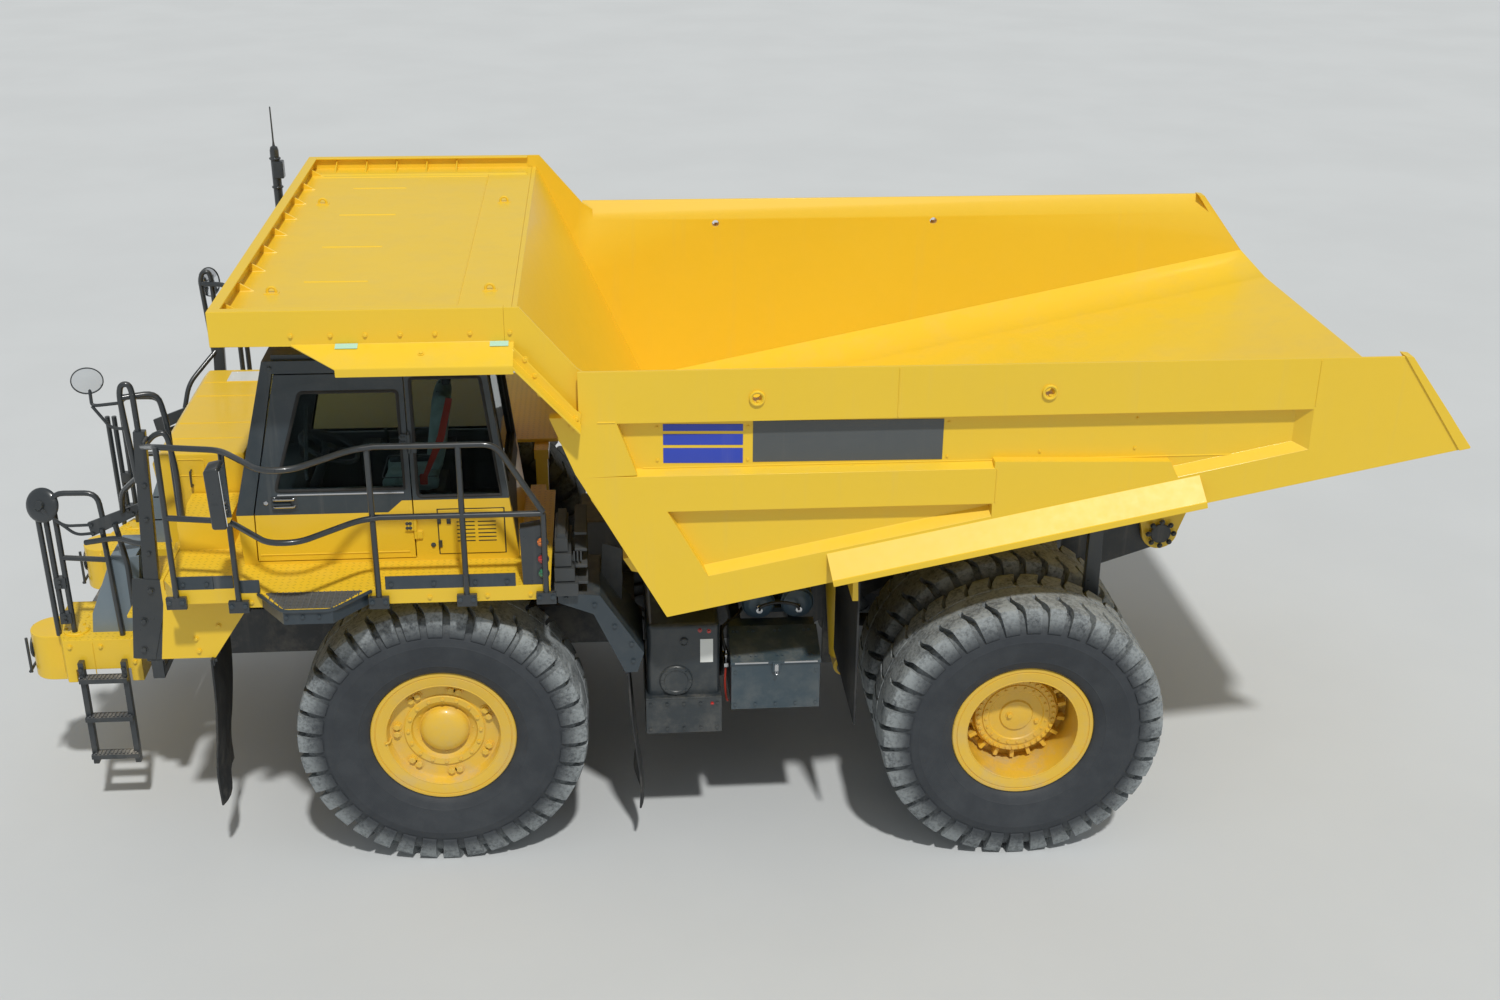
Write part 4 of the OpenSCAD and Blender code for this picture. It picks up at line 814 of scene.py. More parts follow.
    def subdivide(self, levels: int = 2) -> "Piece":
        """Smooths the piece as a subdivision surface."""
        surface = self.thing.modifiers.new("rounder", "SUBSURF")
        surface.levels = levels
        surface.render_levels = levels
        self.apply()
        return self

    def apply(self) -> None:
        """Applies every modifier."""
        self.activate()
        for modifier in list(self.thing.modifiers):
            bpy.ops.object.modifier_apply(modifier=modifier.name)

    def copies(self, matrices: Iterable[Matrix]) -> "Piece":
        """Repeats the piece by matrices and joins the copies into one."""
        made = []
        for matrix in matrices:
            twin = self.thing.copy()
            twin.data = self.thing.data.copy()
            twin.data.transform(matrix)
            if matrix.determinant() < 0:
                twin.data.flip_normals()
            bpy.context.scene.collection.objects.link(twin)
            made.append(twin)
        name = self.thing.name
        self.deselect()
        bpy.data.objects.remove(self.thing)
        return join(made, name)

    def paint(self, rules: Rules) -> "Piece":
        """Gives each face the last material whose test it passes.

        Args:
            rules: Materials with a test of a face's centre and normal, the first without one.

        Returns:
            The piece itself.
        """
        mesh = self.thing.data
        mesh.materials.clear()
        for material, _ in rules:
            mesh.materials.append(material)
        for face in mesh.polygons:
            face.material_index = 0
            for index, (_, test) in enumerate(rules):
                if test is not None and test(face.center, face.normal):
                    face.material_index = index
        return self

    def done(self, body: str, slot: str, *stands_for: str, smooth: float = 30.0) -> bpy.types.Object:
        """Shades the piece, puts it on its body and hides the CAD nodes that it replaces.

        Args:
            body: The CAD body that it moves with.
            slot: The record's material slot; not used.
            stands_for: CAD nodes that the piece replaces.
            smooth: Edges flatter than this angle in degrees are shaded smooth.

        Returns:
            The finished object.
        """
        self.activate()
        bpy.ops.object.shade_smooth_by_angle(angle=math.radians(smooth))
        flats = self.thing.modifiers.new("flats", "WEIGHTED_NORMAL")
        flats.keep_sharp = True
        self.apply()
        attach(self.thing, body)
        if stands_for:
            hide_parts(*stands_for)
        LOG.info("%s: %d faces", self.thing.name, len(self.thing.data.polygons))
        return self.thing


def join(things: Sequence[bpy.types.Object], name: str) -> Piece:
    """Joins objects into one piece with its own mesh."""
    Piece.deselect()
    for thing in things:
        thing.select_set(True)
    bpy.context.view_layer.objects.active = things[0]
    if len(things) > 1:
        bpy.ops.object.join()
    return Piece(bpy.context.view_layer.objects.active, name)


ROUND_SHARES = (1.0, 0.5, 0.25, 0.12)
FOLD_LIMIT = 0.0012


def skin(node: str, rules: Rules, width: float = 0.004, cuts: Sequence[tuple[Point, Point]] = (),
         angle: float = 38.0) -> bpy.types.Object:
    """Dresses a rounded copy of a CAD node in its finishes.

    Args:
        node: The node that it stands for.
        rules: Finishes with a test of a face's centre and normal.
        width: How far its edges are rounded.
        cuts: Planes where one finish meets another.
        angle: Edges sharper than this many degrees are rounded.

    Returns:
        The finished copy.
    """
    for share in ROUND_SHARES:
        piece = Piece.copy_of(node, node + "_skin")
        for point, normal in cuts:
            piece.cut(point, normal)
        piece.soften(width * share, 2, angle, clamp=False)
        if piece.folded() < FOLD_LIMIT or share == ROUND_SHARES[-1]:
            LOG.info("%s is rounded by %.2f mm", node, width * share * 1000)
            break
        bpy.data.objects.remove(piece.thing)
    return piece.paint(rules).done(BODY_OF[node], SLOT_OF[node], node)


def slab(low: Sequence[float], high: Sequence[float], width: float = 0.004) -> Piece:
    """A box with rounded edges."""
    return Piece.block("slab", low, high).soften(width, 2)


def sheet_of(outline: Sequence[Sequence[float]], depth: Sequence[float], width: float = 0.002) -> Piece:
    """A flat plate with rounded edges, pulled from an outline."""
    return Piece.outline("plate", outline, depth).soften(width, 2)


def gather(name: str, pieces: Sequence[Piece], material: Material, slot: str, body: str = "chassis",
           smooth: float = 35.0) -> bpy.types.Object:
    """Joins like pieces of one finish into one object on a body."""
    whole = join([piece.thing for piece in pieces], name)
    return whole.paint([(material, None)]).done(body, slot, smooth=smooth)


def both(pieces: Callable[[int], list]) -> list:
    """What a function makes for the left side and for the right."""
    return pieces(1) + pieces(-1)


def span(side: int, near: float, far: float) -> Pair:
    """Two distances from the middle as the lower and the higher Y of one side."""
    low, high = sorted((side * near, side * far))
    return low, high


@dataclass(frozen=True)
class Bolt:
    """A hex bolt head: its seat, the way it faces and its width."""

    place: Point
    face: Point
    size: float = 0.034


def side_bolts(side: int, y: float, size: float, spots: Iterable[Pair]) -> list[Bolt]:
    """Bolts that face outwards on one side, at stations and heights."""
    return [Bolt(at(x, side * y, z), (0, side, 0), size) for x, z in spots]


def bolt_row(start: Point, end: Point, count: int, face: Point, size: float = 0.034) -> list[Bolt]:
    """Bolts evenly spaced along a line."""
    shares = [i / max(1, count - 1) for i in range(count)]
    return [Bolt(tuple(Vector(start).lerp(Vector(end), share)), face, size) for share in shares]


def bolt_circle(centre: Point, axis: Point, radius: float, count: int, size: float = 0.034,
                first: float = 0.0) -> list[Bolt]:
    """Bolts evenly spaced on a circle about an axis."""
    turned = Vector(axis).to_track_quat("Z", "Y").to_matrix()
    turns = [math.tau * (i + first) / count for i in range(count)]
    return [Bolt(tuple(Vector(centre) + turned @ Vector((radius * math.cos(a), radius * math.sin(a), 0))),
                 axis, size)
            for a in turns]


def bolts(name: str, placed: Sequence[Bolt], material: Material, slot: str,
          body: str = "chassis") -> bpy.types.Object:
    """Models one bolt head on its washer and copies it to every place.

    Args:
        name: The piece's name.
        placed: Where the heads are.
        material: Their finish.
        slot: The record's material slot.
        body: The body that they ride on.

    Returns:
        All heads as one object.
    """
    head = Piece.rod("head", (0, 0, 0.1), (0, 0, 0.48), 0.5, 6)
    head.inset(lambda c, n: n.z > 0.9, 0.07, 0.05)
    washer = Piece.rod("washer", (0, 0, -0.15), (0, 0, 0.13), 0.7, 14)
    whole = join([head.thing, washer.thing], name)
    spots = []
    for bolt in placed:
        turned = Vector(bolt.face).to_track_quat("Z", "Y").to_matrix().to_4x4()
        spots.append(Matrix.Translation(bolt.place) @ turned @ Matrix.Scale(bolt.size, 4))
    return whole.copies(spots).paint([(material, None)]).done(body, slot)


YELLOW = (0.84, 0.55, 0.026, 1.0)
CHARCOAL = (0.03, 0.044, 0.056, 1.0)
RUBBER = (0.02, 0.022, 0.024, 1.0)


class Finishes:
    """Every finish of the truck, each made once."""

    def __init__(self) -> None:
        """Builds the materials."""
        self.yellow = Paint("yellow_paint", YELLOW, mottle=0.08, dust=0.1, streaks=0.04).build()
        self.bed_yellow = Paint("bed_paint", (0.86, 0.575, 0.03, 1.0), roughness=0.42, coat=0.15, mottle=0.1,
                                dust=0.12, streaks=0.05).build()
        self.charcoal = Paint("charcoal_paint", CHARCOAL, roughness=0.42, dust=0.3, streaks=0.12).build()
        self.frame_paint = Paint("frame_paint", (0.034, 0.04, 0.046, 1.0), roughness=0.5, coat=0.1,
                                 mottle=0.2,
                                 dust=0.6, streaks=0.15).build()
        self.rail_black = Paint("rail_paint", (0.026, 0.032, 0.037, 1.0), roughness=0.3, coat=0.4,
                                dust=0.15).build()
        self.rim = Paint("rim_paint", (0.78, 0.49, 0.045, 1.0), roughness=0.38, mottle=0.12,
                         dust=0.45).build()
        self.cast = Paint("cast_steel", (0.13, 0.135, 0.14, 1.0), roughness=0.6, coat=0.0, mottle=0.3,
                          dust=0.7,
                          streaks=0.1, bump=0.1).build()
        self.bright = Paint("ground_steel", (0.55, 0.56, 0.58, 1.0), roughness=0.22, coat=0.0, mottle=0.05,
                            dust=0.05,
                            streaks=0.02, metallic=1.0, bump=0.01).build()
        self.air_blue = Paint("air_paint", (0.065, 0.11, 0.155, 1.0), roughness=0.4, dust=0.3).build()
        self.plate = Paint("plate_paint", (0.075, 0.085, 0.09, 1.0), roughness=0.5, mottle=0.08,
                           dust=0.2).build()
        self.stripe = Paint("stripe_blue", (0.022, 0.055, 0.48, 1.0), roughness=0.35, mottle=0.06,
                            dust=0.1).build()
        # Blue-grey painted shade for the steps before the cab, with dust on it.
        self.step_painted_shade = Paint("step_shade_paint", (0.16, 0.21, 0.25, 1.0), roughness=0.5, dust=0.4).build()
        self.plain_rubber = Paint("plain_rubber", RUBBER, roughness=0.8, coat=0.0).build()
        self.flap = Paint("flap_rubber", RUBBER, roughness=0.7, coat=0.0, mottle=0.2, dust=0.35,
                          bump=0.12).build()
        self.plastic = Paint("moulded_plastic", (0.05, 0.056, 0.06, 1.0), roughness=0.55, coat=0.0,
                             mottle=0.08,
                             dust=0.2, bump=0.1).build()
        self.glass = Glass("window_glass").build()
        self.cloth = Cloth("seat_cloth", srgb(128, 146, 142)).build()
        self.clear = Lens("clear_lens", (0.75, 0.78, 0.8, 1.0)).build()
        self.red = Lens("red_lens", (0.55, 0.015, 0.01, 1.0)).build()
        self.orange = Lens("orange_lens", (0.85, 0.2, 0.01, 1.0)).build()
        self.green = Lens("green_lens", (0.02, 0.2, 0.08, 1.0)).build()
        self.step_yellow = Paint("step_yellow", YELLOW, roughness=0.5, coat=0.05, dust=0.08, bump=0.06,
                                 checker_pitch=0.046).build()
        self.trim = Paint("cab_trim", (0.045, 0.05, 0.054, 1.0), roughness=0.6, coat=0.0, mottle=0.1,
                          dust=0.1,
                          bump=0.08).build()
        self.label = Paint("blank_label", (0.7, 0.72, 0.7, 1.0), roughness=0.4, mottle=0.05, dust=0.2).build()
        self.reflector = Paint("reflector", (0.42, 0.72, 0.62, 1.0), roughness=0.25, coat=0.6,
                               dust=0.1).build()
        self.belt = Paint("belt_webbing", (0.42, 0.03, 0.014, 1.0), roughness=0.8, coat=0.0, bump=0.1).build()
        self.belt_grey = Paint("piping", (0.16, 0.17, 0.18, 1.0), roughness=0.8, coat=0.0).build()
        self.tread = Paint("tread_steel", (0.11, 0.12, 0.13, 1.0), roughness=0.5, coat=0.0, dust=0.7,
                           checker_pitch=0.045).build()
        self.tank = Paint("tank_paint", (0.024, 0.032, 0.038, 1.0), roughness=0.34, dust=0.3,
                          streaks=0.1).build()
        self.battery = Paint("battery_paint", (0.036, 0.06, 0.078, 1.0), roughness=0.38, dust=0.3).build()
        self.mirror = Paint("mirror_silver", (0.8, 0.82, 0.84, 1.0), roughness=0.05, coat=0.0, mottle=0.02,
                            dust=0.04, streaks=0.0, metallic=1.0, bump=0.002).build()
        self.hose = Paint("hose_rubber", (0.018, 0.02, 0.022, 1.0), roughness=0.5, coat=0.1, dust=0.3).build()

    def tyre(self, name: str, axle_x: float, axle_z: float) -> Material:
        """Rubber for the wheels about one axle."""
        return TyreRubber(name, axle_x, axle_z).build()


@dataclass
class Studio:
    """The floor, the light and the camera at the photograph's angle."""

    camera_place: Point = (0.718, 13.1, 7.89)
    camera_right: Point = (-0.9966968, 0.08071907, 0.00893953)
    camera_ahead: Point = (-0.07735146, -0.91000449, -0.40731878)
    lens: float = 41.53
    floor_size: float = 260.0
    floor_colour: Colour = (0.6, 0.62, 0.63, 1.0)
    ambient: float = 0.42
    sun: float = 2.35
    sun_from: Point = (-0.1, 0.53, 0.845)
    sun_angle: float = 3.0
    sun_colour: Point = (1.0, 0.985, 0.95)
    sky_seen: float = 0.8
    sky_colour: Colour = (0.95, 0.98, 1.0, 1.0)

    def build(self) -> None:
        """Sets up the stage."""
        self.camera()
        self.floor()
        self.light()
        bpy.context.scene.view_settings.view_transform = "Standard"

    def camera(self) -> None:
        """Makes the camera."""
        right = Vector(self.camera_right).normalized()
        ahead = Vector(self.camera_ahead).normalized()
        up = right.cross(ahead)
        Piece.deselect()
        bpy.ops.object.camera_add(location=self.camera_place)
        camera = bpy.context.object
        axes = Matrix((right, up, -ahead)).transposed()
        camera.matrix_world = Matrix.Translation(self.camera_place) @ axes.to_4x4()
        camera.data.lens = self.lens
        camera.data.sensor_width = 36
        camera.data.sensor_fit = "HORIZONTAL"
        camera.data.clip_end = 500
        bpy.context.scene.camera = camera

    def floor(self) -> None:
        """Makes the plain pale floor."""
        Piece.deselect()
        bpy.ops.mesh.primitive_plane_add(size=self.floor_size)
        floor = bpy.context.object
        floor.name = "studio_floor"
        material = bpy.data.materials.new("floor_finish")
        material.use_nodes = True
        graph = Graph(material.node_tree)
        shader = material.node_tree.nodes["Principled BSDF"]
        vector = graph.node("TexCoord").outputs["Object"]
        shade = graph.step(graph.noise(vector, 0.35, 4.0), 0.3, 0.7)
        paler = tuple(0.96 * c for c in self.floor_colour[:3]) + (1.0,)
        graph.feed(shader.inputs["Base Color"], graph.blend(shade, paler, self.floor_colour))
        shader.inputs["Roughness"].default_value = 0.9
        floor.data.materials.append(material)

    def light(self) -> None:
        """Makes the sun and the even light of the sky."""
        Piece.deselect()
        bpy.ops.object.light_add(type="SUN", location=(0, 0, 20))
        sun = bpy.context.object
        sun.data.energy = self.sun
        sun.data.angle = math.radians(self.sun_angle)
        sun.data.color = self.sun_colour
        turned = Vector(self.sun_from).to_track_quat("Z", "Y").to_matrix().to_4x4()
        sun.matrix_world = Matrix.Translation(sun.location) @ turned
        world = bpy.data.worlds.new("studio")
        bpy.context.scene.world = world
        world.use_nodes = True
        graph = Graph(world.node_tree)
        background = world.node_tree.nodes["Background"]
        paths = graph.node("LightPath").outputs
        seen = graph.sums("MAXIMUM", paths["Is Camera Ray"], paths["Is Transmission Ray"])
        strength = graph.step(seen, 0.0, 1.0, self.ambient, self.sky_seen)
        graph.feed(background.inputs["Strength"], strength)
        background.inputs["Color"].default_value = self.sky_colour


def mirrored(half: Sequence[Pair]) -> list[Pair]:
    """Closes a profile with its mirror image about the middle of a wheel."""
    return list(half) + [(radius, -along) for radius, along in reversed(half)]


def round_axle(x: float, z: float, count: int, first: float = 0.0) -> list[Matrix]:
    """Turns about an axle along Y, evenly spaced.

    Args:
        x: The axle's place along the truck.
        z: The axle's height.
        count: How many turns.
        first: The first one's angle as a share of the spacing.

    Returns:
        One matrix for each turn.
    """
    there = Matrix.Translation((x, 0, z))
    back = Matrix.Translation((-x, 0, -z))
    return [there @ Matrix.Rotation(math.tau * (i + first) / count, 4, "Y") @ back for i in range(count)]


@dataclass
class Tyres:
    """The six tyres: a turned carcass with deep curved lugs on both shoulders."""

    finishes: Finishes
    lugs: int = 36
    floor_radius: float = 1.004
    band_radius: float = 1.06
    band_half: float = 0.085
    edge_round: float = 0.007
    lug_root: float = 0.85
    lug_depth: float = 0.075
    lug_sink: float = 0.05
    lug_rows: int = 3
    front_track: float = 1.745
    rear_tracks: Pair = (1.18, 1.96)

    def profile(self) -> list[Pair]:
        """Half of the carcass from the bead to the middle of the tread, as radius and half width."""
        return [(0.446, 0.2095), (0.5225, 0.2145), (0.535, 0.224), (0.5385, 0.244), (0.548, 0.258),
                (0.575, 0.276), (0.61, 0.289), (0.618, 0.295), (0.624, 0.294), (0.68, 0.308),
                (0.735, 0.32), (0.79, 0.3255), (0.796, 0.3295), (0.803, 0.329), (0.809, 0.325),
                (0.85, 0.3215), (0.856, 0.317), (0.91, 0.299), (0.97, 0.272), (0.996, 0.248),
                (self.floor_radius, 0.22), (self.floor_radius, self.band_half + 0.012),
                (self.band_radius, self.band_half)]

    def crest(self) -> list[tuple[float, float, float, float]]:
        """The lug's top from the sidewall inwards: radius, half width, sideways shift, groove width."""
        return [(0.868, 0.3215, 0.0, 0.05), (0.886, 0.3285, 0.0, 0.052), (0.95, 0.319, 0.001, 0.055),
                (1.018, 0.302, 0.003, 0.056), (1.052, 0.28, 0.006, 0.054), (1.0635, 0.245, 0.014, 0.05),
                (TYRE_RADIUS, 0.21, 0.028, 0.044), (TYRE_RADIUS, 0.175, 0.046, 0.038),
                (TYRE_RADIUS, 0.14, 0.058, 0.034), (TYRE_RADIUS, 0.105, 0.06, 0.03),
                (1.064, 0.06, 0.052, 0.024)]

    def lug(self, axle: Point) -> Piece:
        """Models one lug at the top of the wheel.

        Args:
            axle: The middle of the tyre.

        Returns:
            The lug, rounded along its edges.
        """
        crest = self.crest()
        Piece.deselect()
        bpy.ops.mesh.primitive_grid_add(x_subdivisions=len(crest) - 1, y_subdivisions=self.lug_rows, size=1)
        made = bpy.context.object
        pitch = math.tau / self.lugs
        for vertex in made.data.vertices:
            row = round((vertex.co.x + 0.5) * (len(crest) - 1))
            share = vertex.co.y
            radius, half, shift, groove = crest[row]
            turn = shift / TYRE_RADIUS + share * (pitch - groove / radius)
            vertex.co = self.on_wheel(axle, radius, half, turn)
        piece = Piece(made, "lug")
        piece.edit(Mode.FACES, lambda c, n: True)
        bpy.ops.mesh.extrude_region_move(TRANSFORM_OT_translate={"value": (0, 0, 0)})
        piece.leave()
        for vertex in made.data.vertices:
            if vertex.select:
                out = vertex.co - Vector(axle)
                radius = math.hypot(out.x, out.z)
                sunk = max(self.lug_root, radius - self.lug_depth) / radius
                inwards = self.lug_sink * min(1.0, out.y / 0.3)
                vertex.co = Vector(axle) + Vector((out.x * sunk, out.y - inwards, out.z * sunk))
        return piece.outward().soften(self.edge_round, 2, 32.0)

    @staticmethod
    def on_wheel(axle: Point, radius: float, along: float, turn: float) -> Vector:
        """A point at a radius, a distance along the axle and an angle from the top."""
        return Vector((axle[0] + radius * math.sin(turn), axle[1] + along, axle[2] + radius * math.cos(turn)))

    def tyre(self, axle: Point) -> bpy.types.Object:
        """Models a whole tyre about the middle of its axle."""
        carcass = Piece.turned("carcass", mirrored(self.profile()), axle, self.lugs * 3)
        middle = Matrix.Translation((0, axle[1], 0))
        flip = middle @ Matrix.Scale(-1, 4, (0, 1, 0)) @ middle.inverted()
        near = round_axle(axle[0], axle[2], self.lugs)
        far = [turn @ flip for turn in round_axle(axle[0], axle[2], self.lugs, 0.5)]
        lugs = self.lug(axle).copies(near + far)
        return join([carcass.thing, lugs.thing], "tyre").thing

    def build(self) -> None:
        """Builds the tyres of all four wheels."""
        front_rubber = self.finishes.tyre("tyre_front", FRONT_AXLE_X, TYRE_RADIUS)
        rear_rubber = self.finishes.tyre("tyre_rear", REAR_AXLE_X, TYRE_RADIUS)
        pattern = self.tyre((FRONT_AXLE_X, 0.0, TYRE_RADIUS))
        back = REAR_AXLE_X - FRONT_AXLE_X
        for side, word in ((1, "left"), (-1, "right")):
            front = self.moved(pattern, 0.0, side * self.front_track)
            self.finish(join([front], "tyre_front_" + word), front_rubber, "front_wheel_" + word,
                        "tyre_front_" + word)
            pair = [self.moved(pattern, back, side * y) for y in self.rear_tracks]
            self.finish(join(pair, "tyres_rear_" + word), rear_rubber, "rear_wheels_" + word,
                        "tyres_rear_" + word)
        bpy.data.objects.remove(pattern)

    @staticmethod
    def moved(pattern: bpy.types.Object, x: float, y: float) -> bpy.types.Object:
        """A copy of a tyre with its own mesh, at another place."""
        twin = pattern.copy()
        twin.data = pattern.data.copy()
        twin.data.transform(Matrix.Translation((x, y, 0)))
        bpy.context.scene.collection.objects.link(twin)
        return twin

    @staticmethod
    def finish(piece: Piece, rubber: Material, body: str, node: str) -> None:
        """Dresses a tyre and puts it on its wheel."""
        piece.thing.name = node + "_rubber"
        piece.paint([(rubber, None)]).done(body, "tyre_rubber", node, smooth=38)


@dataclass
class Rims:
    """The rims of all wheels with their lock rings, hubs, studs and covers."""

    finishes: Finishes
    front_y: float = 1.745
    rear_ys: Pair = (1.18, 1.96)
    stud_pairs: int = 7
    stud_radius: float = 0.35

    @staticmethod
    def barrel() -> list[Pair]:
        """The outside half of a rim's barrel, with its lock ring and flange."""
        return [(0.445, 0.19), (0.445, 0.205), (0.518, 0.215), (0.533, 0.224), (0.534, 0.24),
                (0.528, 0.245), (0.507, 0.245), (0.505, 0.239), (0.499, 0.239), (0.496, 0.244),
                (0.45, 0.24), (0.427, 0.235), (0.42, 0.225)]

    def front(self, side: int) -> None:
        """Builds a front rim with its dished disc and domed hub."""
        axle = (FRONT_AXLE_X, 0.0, TYRE_RADIUS)
        outer = self.barrel() + [(0.401, 0.16), (0.38, 0.152), (0.297, 0.15)]
        inner = [(0.297, 0.1), (0.39, 0.1), (0.4, 0.06), (0.417, -0.23), (0.496, -0.244),
                 (0.534, -0.24), (0.533, -0.224), (0.518, -0.215), (0.445, -0.205)]
        barrel = Piece.turned("barrel", outer + inner, axle)
        hub = Piece.turned("hub", [(0.0, -0.2), (0.26, -0.2), (0.26, 0.09), (0.299, 0.12),
                                   (0.299, 0.158), (0.29, 0.164), (0.246, 0.16), (0.235, 0.136),
                                   (0.196, 0.112), (0.184, 0.112), (0.18, 0.136), (0.172, 0.156),
                                   (0.15, 0.176), (0.115, 0.192), (0.06, 0.199), (0.0, 0.2)], axle)
        rings = [Piece.ring("ring", (axle[0], y, axle[2]), (0, 1, 0), r, t, 96, 8)
                 for r, y, t in ((0.53, 0.234, 0.0065), (0.423, 0.231, 0.006), (0.183, 0.118, 0.005))]
        valve = [Piece.tube("valve", [(axle[0] + 0.395, 0.15, axle[2] - 0.05),
                                      (axle[0] + 0.402, 0.225, axle[2] - 0.05),
                                      (axle[0] + 0.43, 0.246, axle[2] - 0.05)], 0.008, 0.02)]
        whole = join([p.thing for p in [barrel, hub] + rings + valve], "rim_front")
        self.place(whole, side, self.front_y, "rim_front_", "front_wheel_")
        angles = [math.tau * (pair + 0.048) / self.stud_pairs + swing for pair in range(self.stud_pairs)
                  for swing in (-0.087, 0.087)]
        studs = [Bolt((axle[0] + self.stud_radius * math.cos(a), side * (self.front_y + 0.153),
                       axle[2] + self.stud_radius * math.sin(a)), (0, side, 0), 0.052) for a in angles]
        small = bolt_circle((axle[0], side * (self.front_y + 0.161), axle[2]), (0, side, 0), 0.268, 16, 0.026)
        cap = bolt_circle((axle[0], side * (self.front_y + 0.112), axle[2]), (0, side, 0), 0.212, 12, 0.02)
        self.heads("rim_front_", side, studs + small + cap, "front_wheel_")

    def rear(self, side: int) -> None:
        """Builds the pair of rear rims with the final drive cover."""
        axle = (REAR_AXLE_X, 0.0, TYRE_RADIUS)
        near, far = self.rear_ys
        outer = [(r, far + y) for r, y in self.barrel()]
        inner = [(r, near - y) for r, y in reversed(self.barrel())]
        step = [(0.417, far - 0.11), (0.417, far - 0.12), (0.33, far - 0.13), (0.33, far - 0.2),
                (0.4, far - 0.21), (0.4, near - 0.2)]
        back = [(0.445, near - 0.19), (0.445, near + 0.205), (0.533, near + 0.224), (0.534, near + 0.24),
                (0.445, near + 0.245), (0.445, far - 0.245), (0.534, far - 0.24), (0.533, far - 0.224),
                (0.445, far - 0.205)]
        barrels = Piece.turned("barrels", outer + step + inner + back[1:], axle)
        drive = Piece.turned("drive", [(0.0, far - 1.02), (0.38, far - 1.02), (0.38, far - 0.86),
                                       (0.33, far - 0.82),
                                       (0.33, far - 0.06), (0.316, far - 0.04), (0.316, far - 0.004),
                                       (0.31, far + 0.004), (0.262, far + 0.004), (0.256, far + 0.014),
                                       (0.214, far + 0.014), (0.206, far + 0.004), (0.13, far + 0.004),
                                       (0.12, far + 0.018), (0.06, far + 0.026), (0.0, far + 0.027)], axle)
        ribs = Piece.block("ribs", (REAR_AXLE_X - 0.016, far - 0.1, TYRE_RADIUS + 0.33),
                           (REAR_AXLE_X + 0.016, far - 0.02, TYRE_RADIUS + 0.395)).soften(0.006).copies(
                               round_axle(REAR_AXLE_X, TYRE_RADIUS, 18))
        rings = [Piece.ring("ring", (axle[0], far + y, axle[2]), (0, 1, 0), r, t, 96, 8)
                 for r, y, t in ((0.53, 0.234, 0.0065), (0.423, 0.231, 0.006), (0.33, -0.05, 0.008))]
        whole = join([p.thing for p in [barrels, drive, ribs] + rings], "rims_rear")
        self.place(whole, side, 0.0, "rims_rear_", "rear_wheels_")
        face = (0, side, 0)
        edge = bolt_circle((axle[0], side * (far + 0.002), axle[2]), face, 0.29, 36, 0.03)
        inside = bolt_circle((axle[0], side * (far + 0.012), axle[2]), face, 0.235, 20, 0.02, 0.3)
        disc = bolt_circle((axle[0], side * (far - 0.112), axle[2]), face, 0.372, 24, 0.034)
        plug = [Bolt((axle[0] + 0.055, side * (far + 0.024), axle[2] + 0.01), face, 0.04),
                Bolt((axle[0] - 0.16, side * (far + 0.003), axle[2] - 0.06), face, 0.032)]
        self.heads("rims_rear_", side, edge + inside + disc + plug, "rear_wheels_")

    def place(self, whole: Piece, side: int, y: float, node: str, body: str) -> None:
        """Moves a rim to its wheel and finishes it."""
        word = "left" if side > 0 else "right"
        move = Matrix.Scale(side, 4, (0, 1, 0)) @ Matrix.Translation((0, y, 0))
        made = whole.copies([move]).paint([(self.finishes.rim, None)])
        made.thing.name = node + word + "_turned"
        made.done(body + word, "body_yellow", node + word, smooth=32)

    def heads(self, node: str, side: int, placed: list[Bolt], body: str) -> None:
        """Sets the bolts of a rim."""
        word = "left" if side > 0 else "right"
        bolts(node + word + "_bolts", placed, self.finishes.rim, "body_yellow", body + word)

    def build(self) -> None:
        """Builds the rims of all four wheels."""
        for side in (1, -1):
            self.front(side)
            self.rear(side)


